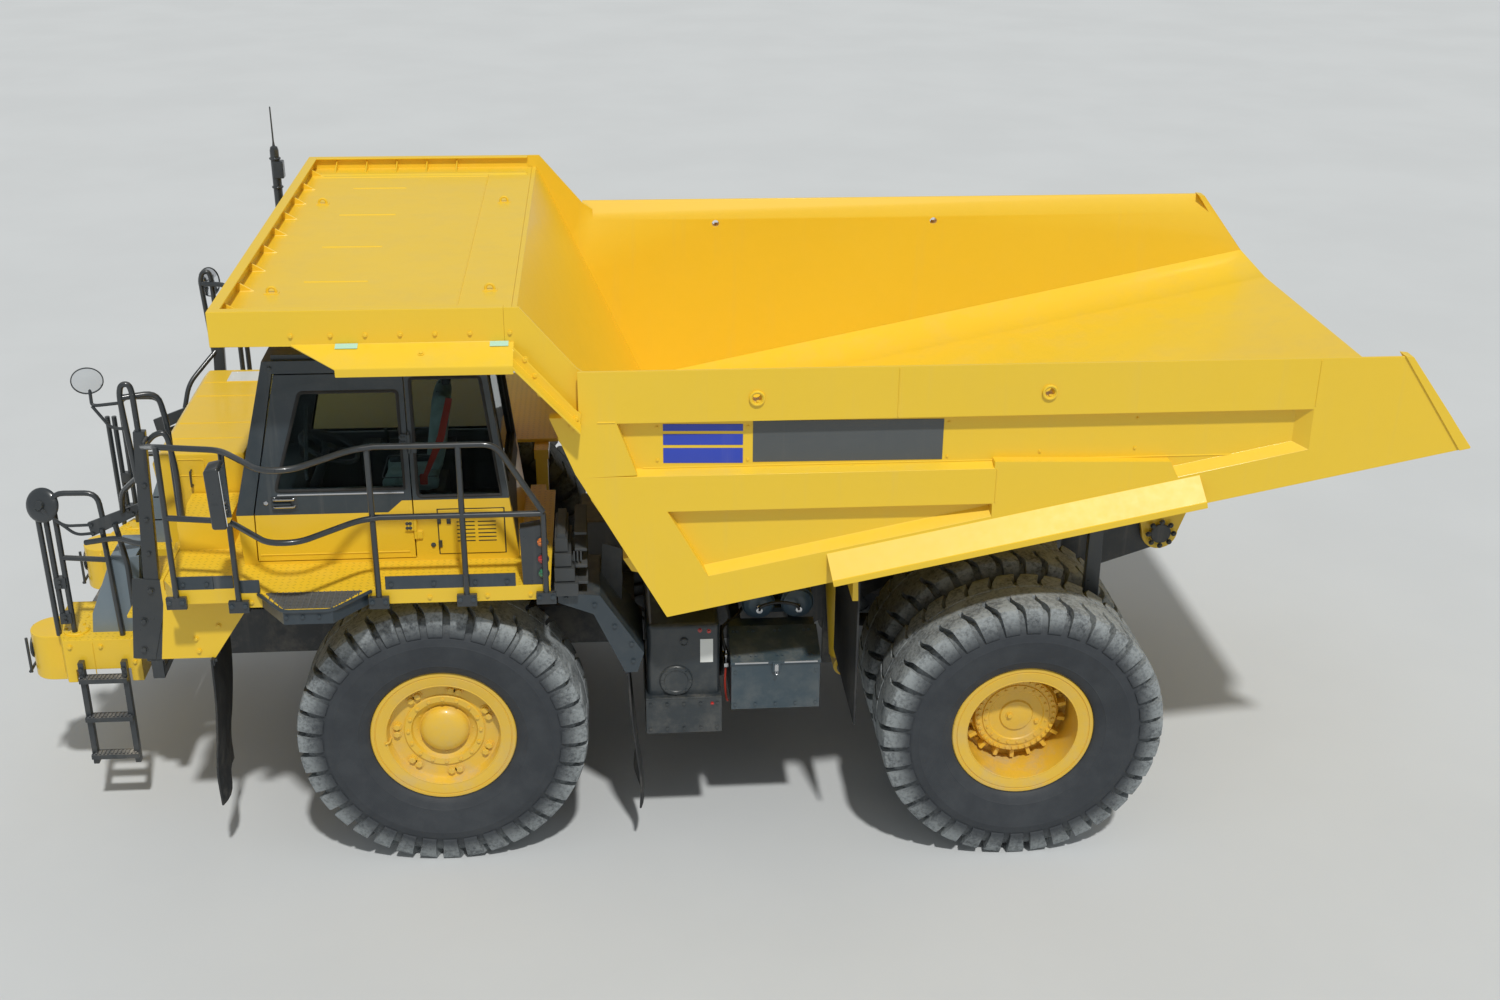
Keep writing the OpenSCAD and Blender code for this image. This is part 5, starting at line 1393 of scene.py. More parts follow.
@dataclass
class Bed:
    """The bed's trim: seams, bands, plates, rings, bolts and reflectors on its rounded plates."""

    finishes: Finishes
    rail_y: float = 2.284
    pocket_y: float = 2.205
    canopy_z: float = 4.331
    hinge: Point = at(-1.45, 0.6, 1.9)
    lift_holes: Pair = (2.029, 0.035)

    def plates(self) -> None:
        """Rounds the edges of the welded plates."""
        for node in ("bed_floor", "bed_front_wall", "bed_side_left", "bed_side_right", "bed_canopy"):
            skin(node, [(self.finishes.bed_yellow, None)], 0.005)
        skin("bed_flaps", [(self.finishes.flap, None),
                           (self.finishes.bed_yellow, lambda c, n: c.x > station(1.2775))], 0.003)
        for side in ("left", "right"):
            skin("rock_ejector_" + side, [(self.finishes.rail_black, None)], 0.004)

    def bands(self, side: int) -> None:
        """Builds the three blue bands and the blank dark plate in the side's pocket."""
        word = "left" if side > 0 else "right"
        y = side * (self.pocket_y - 0.002)
        out = (0, side * 0.005, 0)
        bars = [sheet_of([at(2.66, y, low), at(2.116, y, low - 0.012), at(2.116, y, high - 0.012),
                          at(2.66, y, high)], out)
                for low, high in ((3.541, 3.592), (3.439, 3.519), (3.306, 3.417))]
        gather("side_bands_" + word, bars, self.finishes.stripe, "bed_yellow", "bed")
        blank = sheet_of([at(2.048, y, 3.3), at(0.735, y, 3.288), at(0.735, y, 3.588), at(2.048, y, 3.602)],
                         (0, side * 0.006, 0))
        gather("side_plate_" + word, [blank], self.finishes.plate, "bed_yellow", "bed")
        rivets = side_bolts(side, self.pocket_y, 0.018, (
            (2.7, 3.57), (2.7, 3.33), (2.082, 3.56), (2.082, 3.32), (0.7, 3.56), (0.7, 3.31), (-0.62, 3.56),
            (-0.62, 3.34), (0.05, 3.33)))
        bolts("side_rivets_" + word, rivets, self.finishes.bed_yellow, "bed_yellow", "bed")

    def seams(self, side: int) -> list[Piece]:
        """Models the weld beads along the panel joints of one side."""
        rail, pocket = side * self.rail_y, side * self.pocket_y
        lines = [
            [at(1.07, rail, 3.64), at(1.07, rail, 3.99)], [at(-1.84, rail, 3.655), at(-1.84, rail, 3.985)],
            [at(0.36, rail, 2.985), at(0.36, rail, 3.235)],
            [at(2.82, pocket, 3.628), at(-1.72, pocket, 3.628)],
            [at(2.8, pocket, 3.272), at(-1.4, pocket, 3.272)],
            [at(2.6, pocket, 2.948), at(0.39, pocket, 2.948)],
            [at(3.1, rail, 3.64), at(2.98, rail, 3.64)],
            [at(-1.9, pocket, 3.6), at(-1.9, pocket, 3.19)]]
        return [Piece.tube("bead", line, 0.0055) for line in lines]

    def inside_seams(self) -> list[Piece]:
        """Models the weld beads inside the bed and on the canopy."""
        deck = self.canopy_z
        lines = [[at(5.12, y, deck), at(4.68, y, deck)] for y in (-1.45, -0.58, 0.35, 1.24)]
        lines += [[at(4.02, -2.1, deck), at(4.02, 2.1, deck)]]
        lines += [[at(4.02, y, deck), at(5.5, y, deck)] for y in (-1.84, 1.84)]
        return [Piece.tube("bead", line, 0.006) for line in lines]

    def rings(self, side: int) -> list[Piece]:
        """Models the lips round the lifting holes of one rail."""
        lips = []
        for x in self.lift_holes:
            centre = at(x, side * (self.rail_y + 0.01), 3.795)
            lips.append(Piece.ring("lip", centre, (0, 1, 0), 0.046, 0.009, 40, 8))
            lips.append(slab(at(x - 0.03, side * self.rail_y - 0.02, 3.765),
                             at(x + 0.004, side * self.rail_y + 0.004, 3.775), 0.003))
        return lips

    def eyes(self) -> list[Piece]:
        """Models the lifting eyes on the canopy."""
        made = []
        for x, y in ((3.84, -0.94), (3.82, 1.49), (5.3, -0.94), (5.3, 1.49)):
            made.append(Piece.ring("eye", at(x, y, 4.345), (0, 1, 0), 0.03, 0.01, 24, 8))
            made.append(slab(at(x - 0.05, y - 0.03, 4.325), at(x + 0.05, y + 0.03, 4.337), 0.003))
        return made

    def skirt(self) -> None:
        """Sets the bolts and the pale reflectors along the canopy's skirt."""
        row = [Bolt(at(x, 2.212, 4.262), (0, 1, 0), 0.026)
               for x in (5.068, 4.813, 4.59, 4.365, 4.14, 3.913, 3.654)]
        row.append(Bolt(at(4.227, 2.317, 4.163), (0.0, 0.365, 0.931), 0.03))
        corner = side_bolts(1, 2.29, 0.032, (
            (3.56, 4.1), (3.5, 3.99), (3.47, 3.86), (3.33, 3.72), (3.27, 3.62)))
        ring = side_bolts(1, 2.3, 0.03, ((3.24, 3.6), (3.24, 3.68)))
        bolts("skirt_bolts", row + corner + ring, self.finishes.bed_yellow, "bed_yellow", "bed")
        tabs = [sheet_of([at(a, 2.215, 4.203), at(b, 2.215, 4.203), at(b, 2.262, 4.1846),
                          at(a, 2.262, 4.1846)],
                         (0, 0.0015, 0.004), 0.001) for a, b in ((4.785, 4.64), (3.786, 3.665))]
        gather("skirt_reflectors", tabs, self.finishes.reflector, "bed_yellow", "bed")

    def underside(self) -> None:
        """Bolts the hinge caps under the bed."""
        x, y, z = self.hinge
        placed = both(lambda side: bolt_circle((x, side * y, z), (0, side, 0), 0.105, 8, 0.032))
        bolts("hinge_bolts", placed, self.finishes.frame_paint, "frame_paint")

    def build(self) -> None:
        """Dresses the bed."""
        self.plates()
        for side in (1, -1):
            self.bands(side)
        trims = both(self.seams) + self.inside_seams() + both(self.rings) + self.eyes()
        gather("bed_trim", trims, self.finishes.bed_yellow, "bed_yellow", "bed")
        self.skirt()
        self.underside()


@dataclass
class Cab:
    """The cab: two-coloured shell and door, seals, louvres, handles, hinges and trim."""

    finishes: Finishes
    out_y: float = 1.75
    in_y: float = 0.55
    split_z: float = 2.784
    rear_split_z: float = 2.873
    step: tuple[Pair, Pair] = ((4.6, 2.784), (4.5, 2.873))
    door_window: tuple[Pair, ...] = ((4.475, 2.965), (5.365, 2.965), (5.36, 3.003), (5.14, 3.7),
                                     (4.475, 3.7))
    side_window: tuple[Pair, ...] = ((3.8, 2.9), (4.385, 2.9), (4.385, 3.79), (3.905, 3.79))
    far_window: tuple[Pair, ...] = ((3.93, 2.95), (5.3, 2.95), (5.11, 3.78), (3.99, 3.78))
    screen: tuple[Pair, ...] = ((5.64, 2.88), (5.397, 3.8))
    rear_glass: tuple[Pair, ...] = ((3.756, 2.95), (3.849, 3.75))

    def is_lower(self, c: Vector, n: Vector) -> bool:
        """Whether a face belongs to the yellow lower half, whose edge steps up behind the door."""
        (front, low), (back, high) = self.step
        line = low + (high - low) * (station(front) - c.x) / (front - back)
        return c.z < min(self.rear_split_z, max(self.split_z, line))

    def is_inside(self, c: Vector, n: Vector) -> bool:
        """Whether a face is on the inside of the shell."""
        return 0.6 < c.y < 1.7 and station(3.72) < c.x < station(5.6) and 2.44 < c.z < 3.88

    def panels(self) -> None:
        """Paints the shell, the door and the interior."""
        f = self.finishes
        (front, low), (back, high) = self.step
        level = [((0, 0, self.split_z), (0, 0, 1)), ((0, 0, self.rear_split_z), (0, 0, 1)),
                 (at(front, 0, low), (high - low, 0, front - back))]
        rules = [(f.charcoal, None), (f.yellow, self.is_lower), (f.trim, self.is_inside)]
        skin("cab_shell", rules, 0.012, level)
        skin("cab_door", [(f.charcoal, None), (f.yellow, self.is_lower), (f.trim, lambda c, n: c.y < 1.693)],
             0.006, level)
        skin("cab_interior", [(f.trim, None)], 0.01)

    def seals(self) -> None:
        """Lays the rubber seals round the windows."""
        y = self.out_y - 0.004
        loops = [side_points(self.side_window, y), side_points(self.far_window, self.in_y + 0.004)]
        for line, lean in ((self.screen, 0.004), (self.rear_glass, -0.004)):
            margin = 0.09 if lean > 0 else 0.12
            low, high = line
            loops.append([at(low[0] - lean, self.in_y + margin, low[1]),
                          at(low[0] - lean, self.out_y - margin, low[1]),
                          at(high[0] - lean, self.out_y - margin, high[1]),
                          at(high[0] - lean, self.in_y + margin, high[1])])
        made = [Piece.tube("seal", rounded(loop + loop[:1], 0.03)[:-1], 0.013, closed=True) for loop in loops]
        gather("window_seals", made, self.finishes.plain_rubber, "trim_plastic")
        door = side_points(self.door_window, y)
        gather("door_seal", [Piece.tube("seal", rounded(door + door[:1], 0.03)[:-1], 0.013, closed=True)],
               self.finishes.plain_rubber, "trim_plastic", "cab_door")

    def louvres(self) -> None:
        """Builds the louvred panel behind the door."""
        y = self.out_y
        back = slab(at(3.782, y - 0.004, 2.445), at(4.262, y + 0.003, 2.802), 0.002)
        gather("louvre_gap", [back], self.finishes.plain_rubber, "trim_plastic")
        panel = slab(at(3.79, y - 0.002, 2.452), at(4.254, y + 0.01, 2.795), 0.005)
        gather("louvre_panel", [panel], self.finishes.yellow, "body_yellow")
        # Dark rubber strips proud of the panel stand for the shaded openings under the louvres: painted
        # shade.
        slots = [slab(at(x, y + 0.004, z), at(x + 0.128, y + 0.0108, z + 0.009), 0.001)
                 for x in (3.998, 3.848) for z in [2.545 + 0.03 * row for row in range(7)]]
        gather("louvre_slot_shade", slots, self.finishes.plain_rubber, "trim_plastic")
        latch = [slab(at(4.165, y + 0.006, 2.69), at(4.195, y + 0.022, 2.748), 0.004),
                 slab(at(4.235, y + 0.0, 2.505), at(4.262, y + 0.02, 2.56), 0.004),
                 slab(at(4.235, y + 0.0, 2.69), at(4.262, y + 0.02, 2.745), 0.004)]
        gather("louvre_latch", latch, self.finishes.rail_black, "rail_black")

    def handles(self) -> None:
        """Builds the door's handle recess, lock, sill trim and inside grab bar."""
        y, f = self.out_y, self.finishes
        recess = slab(at(5.225, y - 0.004, 2.815), at(5.41, y + 0.004, 2.925), 0.003)
        gather("door_recess", [recess], f.rail_black, "charcoal_paint", "cab_door")
        grips = [Piece.tube("grip", [at(5.395, y + 0.002, z), at(5.384, y + 0.022, z),
                                     at(5.251, y + 0.022, z),
                                     at(5.24, y + 0.002, z)], 0.0085, 0.012) for z in (2.908, 2.852)]
        lock = [Piece.rod("lock", at(5.444, y - 0.002, 2.879), at(5.444, y + 0.009, 2.879), 0.014,
                          24).soften(0.002),
                Piece.ring("bezel", at(5.444, y + 0.005, 2.879), (0, 1, 0), 0.014, 0.003, 24, 8)]
        sill = [slab(at(4.48, y - 0.001, 2.93), at(5.36, y + 0.006, 2.944), 0.002)]
        gather("door_bright", grips + lock + sill, f.bright, "worn_steel", "cab_door")
        bar = Piece.tube("grab", [at(5.12, 1.66, 3.56), at(5.128, 1.61, 3.545), at(5.17, 1.61, 3.04),
                                  at(5.16, 1.66, 3.02)], 0.014, 0.04)
        gather("door_grab", [bar], f.trim, "trim_plastic", "cab_door")
        edge = [at(4.47, y + 0.0015, 2.474), at(5.52, y + 0.0015, 2.474)]
        press = Piece.tube("press", edge, 0.005)
        gather("door_press", [press], f.yellow, "body_yellow", "cab_door")

    def roof(self) -> None:
        """Adds the roof's ribs, the screen's wiper, the belt and the bolts."""
        f, y = self.finishes, self.out_y
        ribs = [slab(at(x, self.in_y + 0.12, 3.96), at(x + 0.05, y - 0.12, 3.978), 0.008)
                for x in (4.05, 4.3, 4.55, 4.8, 5.05)]
        gather("roof_ribs", ribs, f.charcoal, "charcoal_paint")
        arm = [Piece.tube("arm", [at(5.665, 1.05, 2.86), at(5.64, 1.0, 3.0), at(5.56, 0.82, 3.36)], 0.008,
                          0.03),
               Piece.tube("arm", [at(5.69, 1.1, 2.84), at(5.655, 1.1, 2.85)], 0.022),
               Piece.tube("blade", [at(5.652, 0.83, 3.02), at(5.57, 0.8, 3.38), at(5.485, 0.78, 3.7)], 0.009)]
        gather("screen_wiper", arm, f.rail_black, "rail_black")
        belt = Piece.outline("belt", [at(4.115, 1.6, 3.58), at(4.161, 1.6, 3.585), at(4.235, 1.6, 3.3),
                                      at(4.365, 1.6, 2.98), at(4.335, 1.6, 2.97), at(4.19, 1.6, 3.27)],
                             (0, 0.004, 0)).soften(0.001)
        buckle = slab(at(4.325, 1.592, 2.93), at(4.38, 1.612, 3.01), 0.006)
        gather("seat_belt", [belt, buckle], f.belt, "seat_fabric")
        placed = side_bolts(1, y, 0.026, ((4.3, 2.52), (4.3, 2.75), (3.77, 3.86), (4.4, 3.86), (5.32, 3.88)))
        placed += side_bolts(1, y + 0.018, 0.018,
                             [(x, z) for x in (4.452, 4.474) for z in (2.665, 2.7, 3.325, 3.36)])
        bolts("cab_bolts", placed, f.charcoal, "charcoal_paint")

    def build(self) -> None:
        """Dresses the cab."""
        self.panels()
        self.seals()
        self.louvres()
        self.handles()
        self.roof()


@dataclass
class Decks:
    """The walking decks: slotted floors, kick strips, the grating bulge and their bolts."""

    finishes: Finishes
    top_z: float = 2.4
    edge_y: float = 2.2

    def is_floor(self, c: Vector, n: Vector) -> bool:
        """Whether a face is walked on."""
        return n.z > 0.9 and c.z > 1.78

    def is_dark(self, c: Vector, n: Vector) -> bool:
        """Whether a face belongs to the kick strips or the rim of the bulge."""
        kick = c.z > self.top_z + 0.0005 and abs(c.y) > 2.1
        bulge = c.y > self.edge_y + 0.004 and n.z < 0.9
        return kick or bulge

    def panels(self) -> None:
        """Paints both decks."""
        f = self.finishes
        for node in ("deck_left", "deck_right"):
            skin(node, [(f.yellow, None), (f.step_yellow, self.is_floor), (f.charcoal, self.is_dark)], 0.003,
                 [((0, 0, self.top_z), (0, 0, 1)), ((0, self.edge_y, 0), (0, 1, 0))])

    def grating(self) -> None:
        """Builds the grating in the bulge beside the cab, with its bolted rim."""
        f, z = self.finishes, self.top_z
        bars = []
        for i in range(12):
            y = self.edge_y + 0.018 + 0.0205 * i
            reach = (y - self.edge_y) / 0.27
            bars.append(slab(at(4.745 + 0.2 * reach, y, z - 0.02),
                             at(5.425 - 0.18 * reach, y + 0.005, z + 0.006), 0.001))
        for i in range(16):
            x = 4.775 + 0.04 * i
            depth = min(0.25, (x - 4.72) * 1.25, (5.45 - x) * 1.35)
            bars.append(slab(at(x, self.edge_y + 0.004, z - 0.014),
                             at(x + 0.006, self.edge_y + depth, z + 0.004), 0.001))
        gather("deck_grating", bars, f.tread, "charcoal_paint")
        rim = Piece.tube("rim", [at(4.7, 2.204, z - 0.01), at(4.93, 2.476, z - 0.01),
                                 at(5.26, 2.476, z - 0.01),
                                 at(5.47, 2.204, z - 0.01)], 0.013, 0.05)
        gather("grating_rim", [rim], f.charcoal, "charcoal_paint")

    def fittings(self) -> None:
        """Sets bolts in the kick strips, fascia and post feet."""
        f, y = self.finishes, self.edge_y
        kick = side_bolts(1, y, 0.03, [(x, 2.438) for x in (4.56, 4.266, 3.98, 3.76)])
        kick += side_bolts(1, y - 0.08, 0.028, [(x, 2.44) for x in (5.83, 5.99)])
        feet = []
        for x, foot in ((4.645, 2.248), (4.04, 2.248), (3.49, 2.248), (5.6, 2.25), (6.04, 2.17)):
            for side in (1, -1):
                feet += side_bolts(side, foot, 0.032, [(x + dx, 2.328) for dx in (-0.046, 0.046)])
        bulge = side_bolts(1, 2.47, 0.026, [(4.8 + 0.11 * i, 2.345) for i in range(2, 5)])
        fascia = both(lambda side: side_bolts(side, y, 0.026, [(x, 2.33) for x in (3.6, 3.9, 4.3, 5.52)]))
        strips = [slab(at(5.455, 2.186, 2.398), at(5.6, 2.2, 2.495)),
                  slab(at(5.65, 2.106, 2.398), at(5.79, 2.12, 2.495))]
        gather("kick_strips", strips, f.charcoal, "charcoal_paint")
        bolts("deck_bolts", kick + feet + bulge, f.charcoal, "charcoal_paint")
        bolts("deck_yellow_bolts", fascia, f.yellow, "body_yellow")

    def build(self) -> None:
        """Dresses the decks."""
        self.panels()
        self.grating()
        self.fittings()


@dataclass
class Rails:
    """Bent handrails, ladders and the leaning columns on both sides of the truck."""

    finishes: Finishes
    radius: float = 0.021
    bend: float = 0.09
    stand_y: float = 2.224
    front_y: float = 2.146
    top_z: float = 3.48
    mid_z: float = 2.96
    foot_z: float = 2.29
    ladder_y: Pair = (1.125, 1.185)
    ladder_posts: Pair = (6.775, 7.095)
    rung_heights: tuple[float, ...] = (1.165, 0.825, 0.49)
    column_y: Pair = (1.345, 1.405)

    def post(self, x: float, y: float, top: float, side: int) -> list[Piece]:
        """Models a post with its clamp plate."""
        pipe = Piece.tube("post", [at(x, side * y, self.foot_z), at(x, side * y, top)], self.radius,
                          smoothness=3)
        low, high = span(side, y - 0.012, y + 0.026)
        plate = slab(at(x - 0.07, low, self.foot_z - 0.02), at(x + 0.07, high, self.foot_z + 0.07), 0.005)
        return [pipe, plate]

    def pipe(self, points: Sequence[Point], side: int) -> Piece:
        """Models a bent rail through stations, widths and heights."""
        placed = [at(x, side * y, z) for x, y, z in points]
        return Piece.tube("rail", placed, self.radius, self.bend, smoothness=3)

    def deck_side(self, side: int) -> list[Piece]:
        """Models the rails of one deck."""
        s, front, top, mid = self.stand_y, self.front_y, self.top_z, self.mid_z
        made = [self.pipe([(4.62, s, top), (3.79, s, top), (3.49, s, mid + 0.01)], side),
                self.pipe([(4.645, s, mid), (3.49, s, mid)], side)]
        bulge = [(4.74, s + 0.048, 0.0), (5.08, s + 0.368, 0.0), (5.28, s + 0.368, 0.0)] if side > 0 else []
        for level in (top, mid):
            line = [(4.6, s, level)] + [(x, y, level) for x, y, _ in bulge]
            line += [(5.6, s + 0.002, level), (6.04, front, level)]
            if level == top:
                line += [(6.3, 1.56, 3.25), (6.3, 1.405, 3.25)]
            made.append(self.pipe(line, side))
        for x, y, high in ((4.645, s, top), (4.04, s, top), (3.49, s, mid), (5.6, s + 0.002, top),
                           (6.04, front, top)):
            made += self.post(x, y, high, side)
        return made

    def mast(self) -> list[Piece]:
        """Models the whip mast with its clamp box and stays on the right deck."""
        pole = Piece.turned("pole", [(0.0, 0.0), (0.06, 0.0), (0.06, 0.012), (0.04, 0.02), (0.038, 0.06),
                                     (0.038, 2.12), (0.03, 2.15), (0.012, 2.16), (0.0075, 2.2), (0.006, 2.49),
                                     (0.0, 2.5)], (0, 0, 0), 32)
        upright = Matrix.Translation(at(5.86, -2.08, 2.4)) @ Matrix.Rotation(math.pi / 2, 4, "X")
        box = slab(at(5.79, -2.125, 4.28), at(5.88, -2.035, 4.43), 0.01)
        collar = [Piece.ring("collar", at(5.86, -2.08, z), (0, 0, 1), 0.04, 0.01, 32, 8)
                  for z in (3.3, 4.2, 4.45)]
        return [pole.copies([upright]), box] + collar

    def access(self, side: int) -> list[Piece]:
        """Models the loops of the platform, the hung ladder and the column."""
        made = [self.pipe(line, side) for line in (
            [(7.27, 1.01, 1.49), (7.28, 1.01, 2.5)], [(7.218, 1.01, 1.64), (7.224, 1.01, 2.5)],
            [(7.15, 1.01, 1.49), (7.155, 1.01, 2.672), (6.825, 1.01, 2.668), (6.799, 1.04, 2.44)],
            [(7.152, 1.01, 2.144), (6.81, 1.05, 2.136)], [(6.781, 1.06, 1.49), (6.812, 1.06, 2.4)],
            [(6.657, 1.1, 1.49), (6.652, 1.1, 2.132), (6.71, 1.07, 2.44)],
            [(6.944, 1.075, 2.294), (6.689, 1.14, 2.358), (6.48, 1.35, 2.4), (6.38, 1.385, 2.42)],
            [(6.41, 1.375, 2.9), (6.452, 1.375, 3.56), (6.432, 1.375, 3.65), (6.362, 1.375, 3.65),
             (6.356, 1.375, 3.29)],
            [(6.449, 1.37, 3.548), (6.206, 1.3, 3.556), (6.168, 1.3, 3.3), (6.168, 1.3, 2.398)],
            [(6.38, 1.375, 2.96), (6.456, 1.3, 2.884), (6.602, 1.15, 2.729), (6.64, 1.07, 2.54)],
            [(6.32, 1.385, 3.19), (6.25, 1.385, 3.27), (6.16, 1.385, 3.29), (6.129, 1.385, 2.99),
             (6.13, 1.385, 2.398)])]
        low, high = span(side, *self.ladder_y)
        made += [slab(at(x - 0.022, low, 0.43), at(x + 0.022, high, 1.33), 0.006) for x in self.ladder_posts]
        low, high = span(side, 1.13, 1.22)
        for z in self.rung_heights:
            tread = Piece.block("tread", at(6.755, low, z), at(7.115, high, z + 0.04))
            tread.inset(lambda c, n: n.z > 0.9, 0.012, -0.006)
            made.append(tread.soften(0.003))
            bars = [6.775 + 0.03 * i for i in range(11)]
            made += [slab(at(x, low + 0.016, z + 0.03), at(x + 0.014, high - 0.016, z + 0.043), 0.002)
                     for x in bars]
        low, high = span(side, *self.column_y)
        column = [(6.4, 1.45), (6.53, 1.45), (6.47, 2.08), (6.39, 3.3), (6.305, 3.3), (6.36, 2.0)]
        made.append(sheet_of(side_points(column, low), (0, high - low, 0), 0.008))
        made.append(slab(at(6.41, low, 1.37), at(6.5, high, 1.47), 0.008))
        low, high = span(side, 0.5, 1.405)
        made.append(slab(at(6.41, low, 1.3), at(6.5, high, 1.38), 0.008))
        low, high = span(side, 1.4, 1.414)
        plate = [(6.459, 1.469), (6.621, 1.485), (6.545, 2.15), (6.34, 2.13), (6.34, 1.9)]
        made.append(sheet_of(side_points(plate, low), (0, high - low, 0), 0.004))
        return made

    def plates(self, side: int) -> list[Bolt]:
        """Places the bolts of the column and ladder."""
        placed = side_bolts(side, 1.414, 0.04, ((6.53, 1.56), (6.5, 1.8), (6.42, 2.05)))
        placed += side_bolts(side, 1.405, 0.03, [(6.398 - 0.02 * i, 2.35 + 0.27 * i) for i in range(3)])
        return placed + side_bolts(
            side, 1.185, 0.03, [(x, z) for x in self.ladder_posts for z in (1.275, 1.215)])

    def build(self) -> None:
        """Builds every rail."""
        black = self.finishes.rail_black
        whole = join([piece.thing for piece in both(self.deck_side) + self.mast()], "deck_rails_bent")
        whole.paint([(black, None)]).done("chassis", "rail_black", "deck_handrails", smooth=40)
        whole = join([piece.thing for piece in both(self.access)], "access_bent")
        whole.paint([(black, None), (self.finishes.tread, lambda c, n: n.z > 0.9 and c.z < 1.25)])
        whole.done("chassis", "rail_black", "front_ladders", smooth=40)
        bolts("access_bolts", both(self.plates), black, "rail_black")


@dataclass
class Nose:
    """Hood, radiator, bumper with its platform, and the steps and panels between them."""

    finishes: Finishes
    hood_y: float = 0.93
    step_y: Pair = (0.6, 1.0)
    guard_y: Pair = (0.66, 0.88)

    @staticmethod
    def is_platform(c: Vector, n: Vector) -> bool:
        """Whether a face is the top of the bumper's platform."""
        return n.z > 0.9 and abs(c.z - 1.5) < 0.01

    @staticmethod
    def is_middle_step(c: Vector, n: Vector) -> bool:
        """Whether a face is the top of the low step in the middle."""
        return n.z > 0.9 and 1.22 < c.z < 1.42 and abs(c.y) < 0.47

    def panels(self) -> None:
        """Paints the hood, the bumper and the radiator."""
        f = self.finishes
        skin("hood", [(f.yellow, None)], 0.016)
        skin("radiator", [(f.plastic, None)], 0.003)
        rules = [(f.yellow, None), (f.step_yellow, self.is_platform), (f.tread, self.is_middle_step)]
        skin("front_bumper", rules, 0.008)

    def grille(self) -> None:
        """Builds the fine bars and the frame of the radiator's opening."""
        f = self.finishes
        heights = [1.6 + 0.045 * i for i in range(20)]
        bars = [slab(at(6.325, -0.82, z), at(6.333, 0.82, z + 0.01), 0.002) for z in heights]
        gather("grille_bars", bars, f.plastic, "trim_plastic")
        posts = [slab(at(6.335, y - 0.016, 1.6), at(6.352, y + 0.016, 2.5), 0.004)
                 for y in (-0.56, -0.19, 0.19, 0.56)]
        gather("grille_posts", posts, f.yellow, "body_yellow")

    def hood_trim(self) -> None:
        """Adds the hood's press lines, handles, hinges and blank label."""
        f = self.finishes
        panel = [(6.04, 2.755), (6.256, 2.755), (6.24, 2.885), (6.04, 2.885), (6.04, 2.755)]
        press = [Piece.tube("press", [at(5.8, y, 2.9305), at(6.34, y, 2.9305)], 0.004)
                 for y in (0.3, 0.62, -0.3, -0.62)]
        press += [Piece.tube("press", rounded(side_points(panel, y), 0.02)[:-1], 0.005, closed=True)
                  for y in (self.hood_y, -self.hood_y)]
        gather("hood_press", press, f.yellow, "body_yellow")
        label = slab(at(5.86, -0.867, 2.929), at(6.165, -0.64, 2.933), 0.001)
        gather("hood_blank", [label], f.label, "body_yellow")
        grips = [Piece.tube("grip", [at(6.14, side * 0.928, 2.8), at(6.14, side * 0.975, 2.8),
                                     at(6.14, side * 0.975, 2.68), at(6.14, side * 0.928, 2.68)],
                            0.008, 0.015) for side in (1, -1)]
        hinges = [slab(at(5.742, y - 0.04, 2.925), at(5.8, y + 0.04, 2.945), 0.006)
                  for y in (-0.7, -0.25, 0.2)]
        gather("hood_hardware", grips + hinges, f.rail_black, "rail_black")
        placed = both(lambda side: side_bolts(side, self.hood_y, 0.026, (
            (5.8, 1.85), (5.8, 2.2), (6.2, 1.85), (6.28, 2.3), (5.8, 2.55))))
        bolts("hood_bolts", placed, f.yellow, "body_yellow")

    def side_boxes(self, side: int) -> list[Piece]:
        """Models the steps that lead up from the platform, in a blue-grey that is painted shade."""
        outline = [(7.02, 1.495), (7.0, 1.66), (6.81, 2.11), (6.59, 2.14), (6.66, 1.495)]
        made = [sheet_of(side_points(outline, side * y), (0, side * 0.014, 0), 0.004) for y in (0.99, 0.6)]
        for low, high, z in ((6.69, 6.975, 1.7), (6.65, 6.88, 1.91), (6.62, 6.81, 2.11)):
            near, far = span(side, *self.step_y)
            made.append(slab(at(low, near, z), at(high, far, z + 0.022), 0.005))
            made.append(slab(at(low + 0.005, near, z - 0.19), at(low + 0.017, far, z), 0.004))
        return made

    def clamps(self, side: int) -> list[Piece]:
        """Models the black clamp boxes on the platform's loops and the bracket under the mirror."""
        made = []
        for x, z in ((7.19, 1.94), (7.19, 1.64)):
            low, high = span(side, 0.975, 1.045)
            made.append(slab(at(x - 0.045, low, z - 0.045), at(x + 0.045, high, z + 0.045), 0.008))
        low, high = span(side, 1.04, 1.062)
        bracket = [(6.893, 2.333), (6.913, 2.447), (6.587, 2.571), (6.511, 2.599), (6.54, 2.5)]
        made.append(sheet_of(side_points(bracket, low), (0, high - low, 0), 0.004))
        made += [Piece.tube("guard", [at(7.572, side * y, 1.1), at(7.572, side * y, 1.4)], 0.012)
                 for y in self.guard_y]
        made.append(Piece.tube("guard", [at(7.576, side * 0.64, 1.115), at(7.576, side * 0.9, 1.115)], 0.012))
        return made

    def covers(self) -> list[Piece]:
        """Models the round covers and seams of the bumper."""
        made = []
        for side in (1, -1):
            made.append(Piece.turned(
                "cover", [(0.0, 0.0), (0.098, 0.0), (0.098, 0.01), (0.09, 0.016), (0.0, 0.018)],
                (0, 0, 0), 40).copies([Matrix.Translation(at(7.15, side * 0.96, 1.498))
                                       @ Matrix.Rotation(math.pi / 2, 4, "X")]))
            made.append(Piece.tube("seam", [at(7.0, side * 1.1265, 1.16), at(7.0, side * 1.1265, 1.47)],
                                   0.004))
        return made

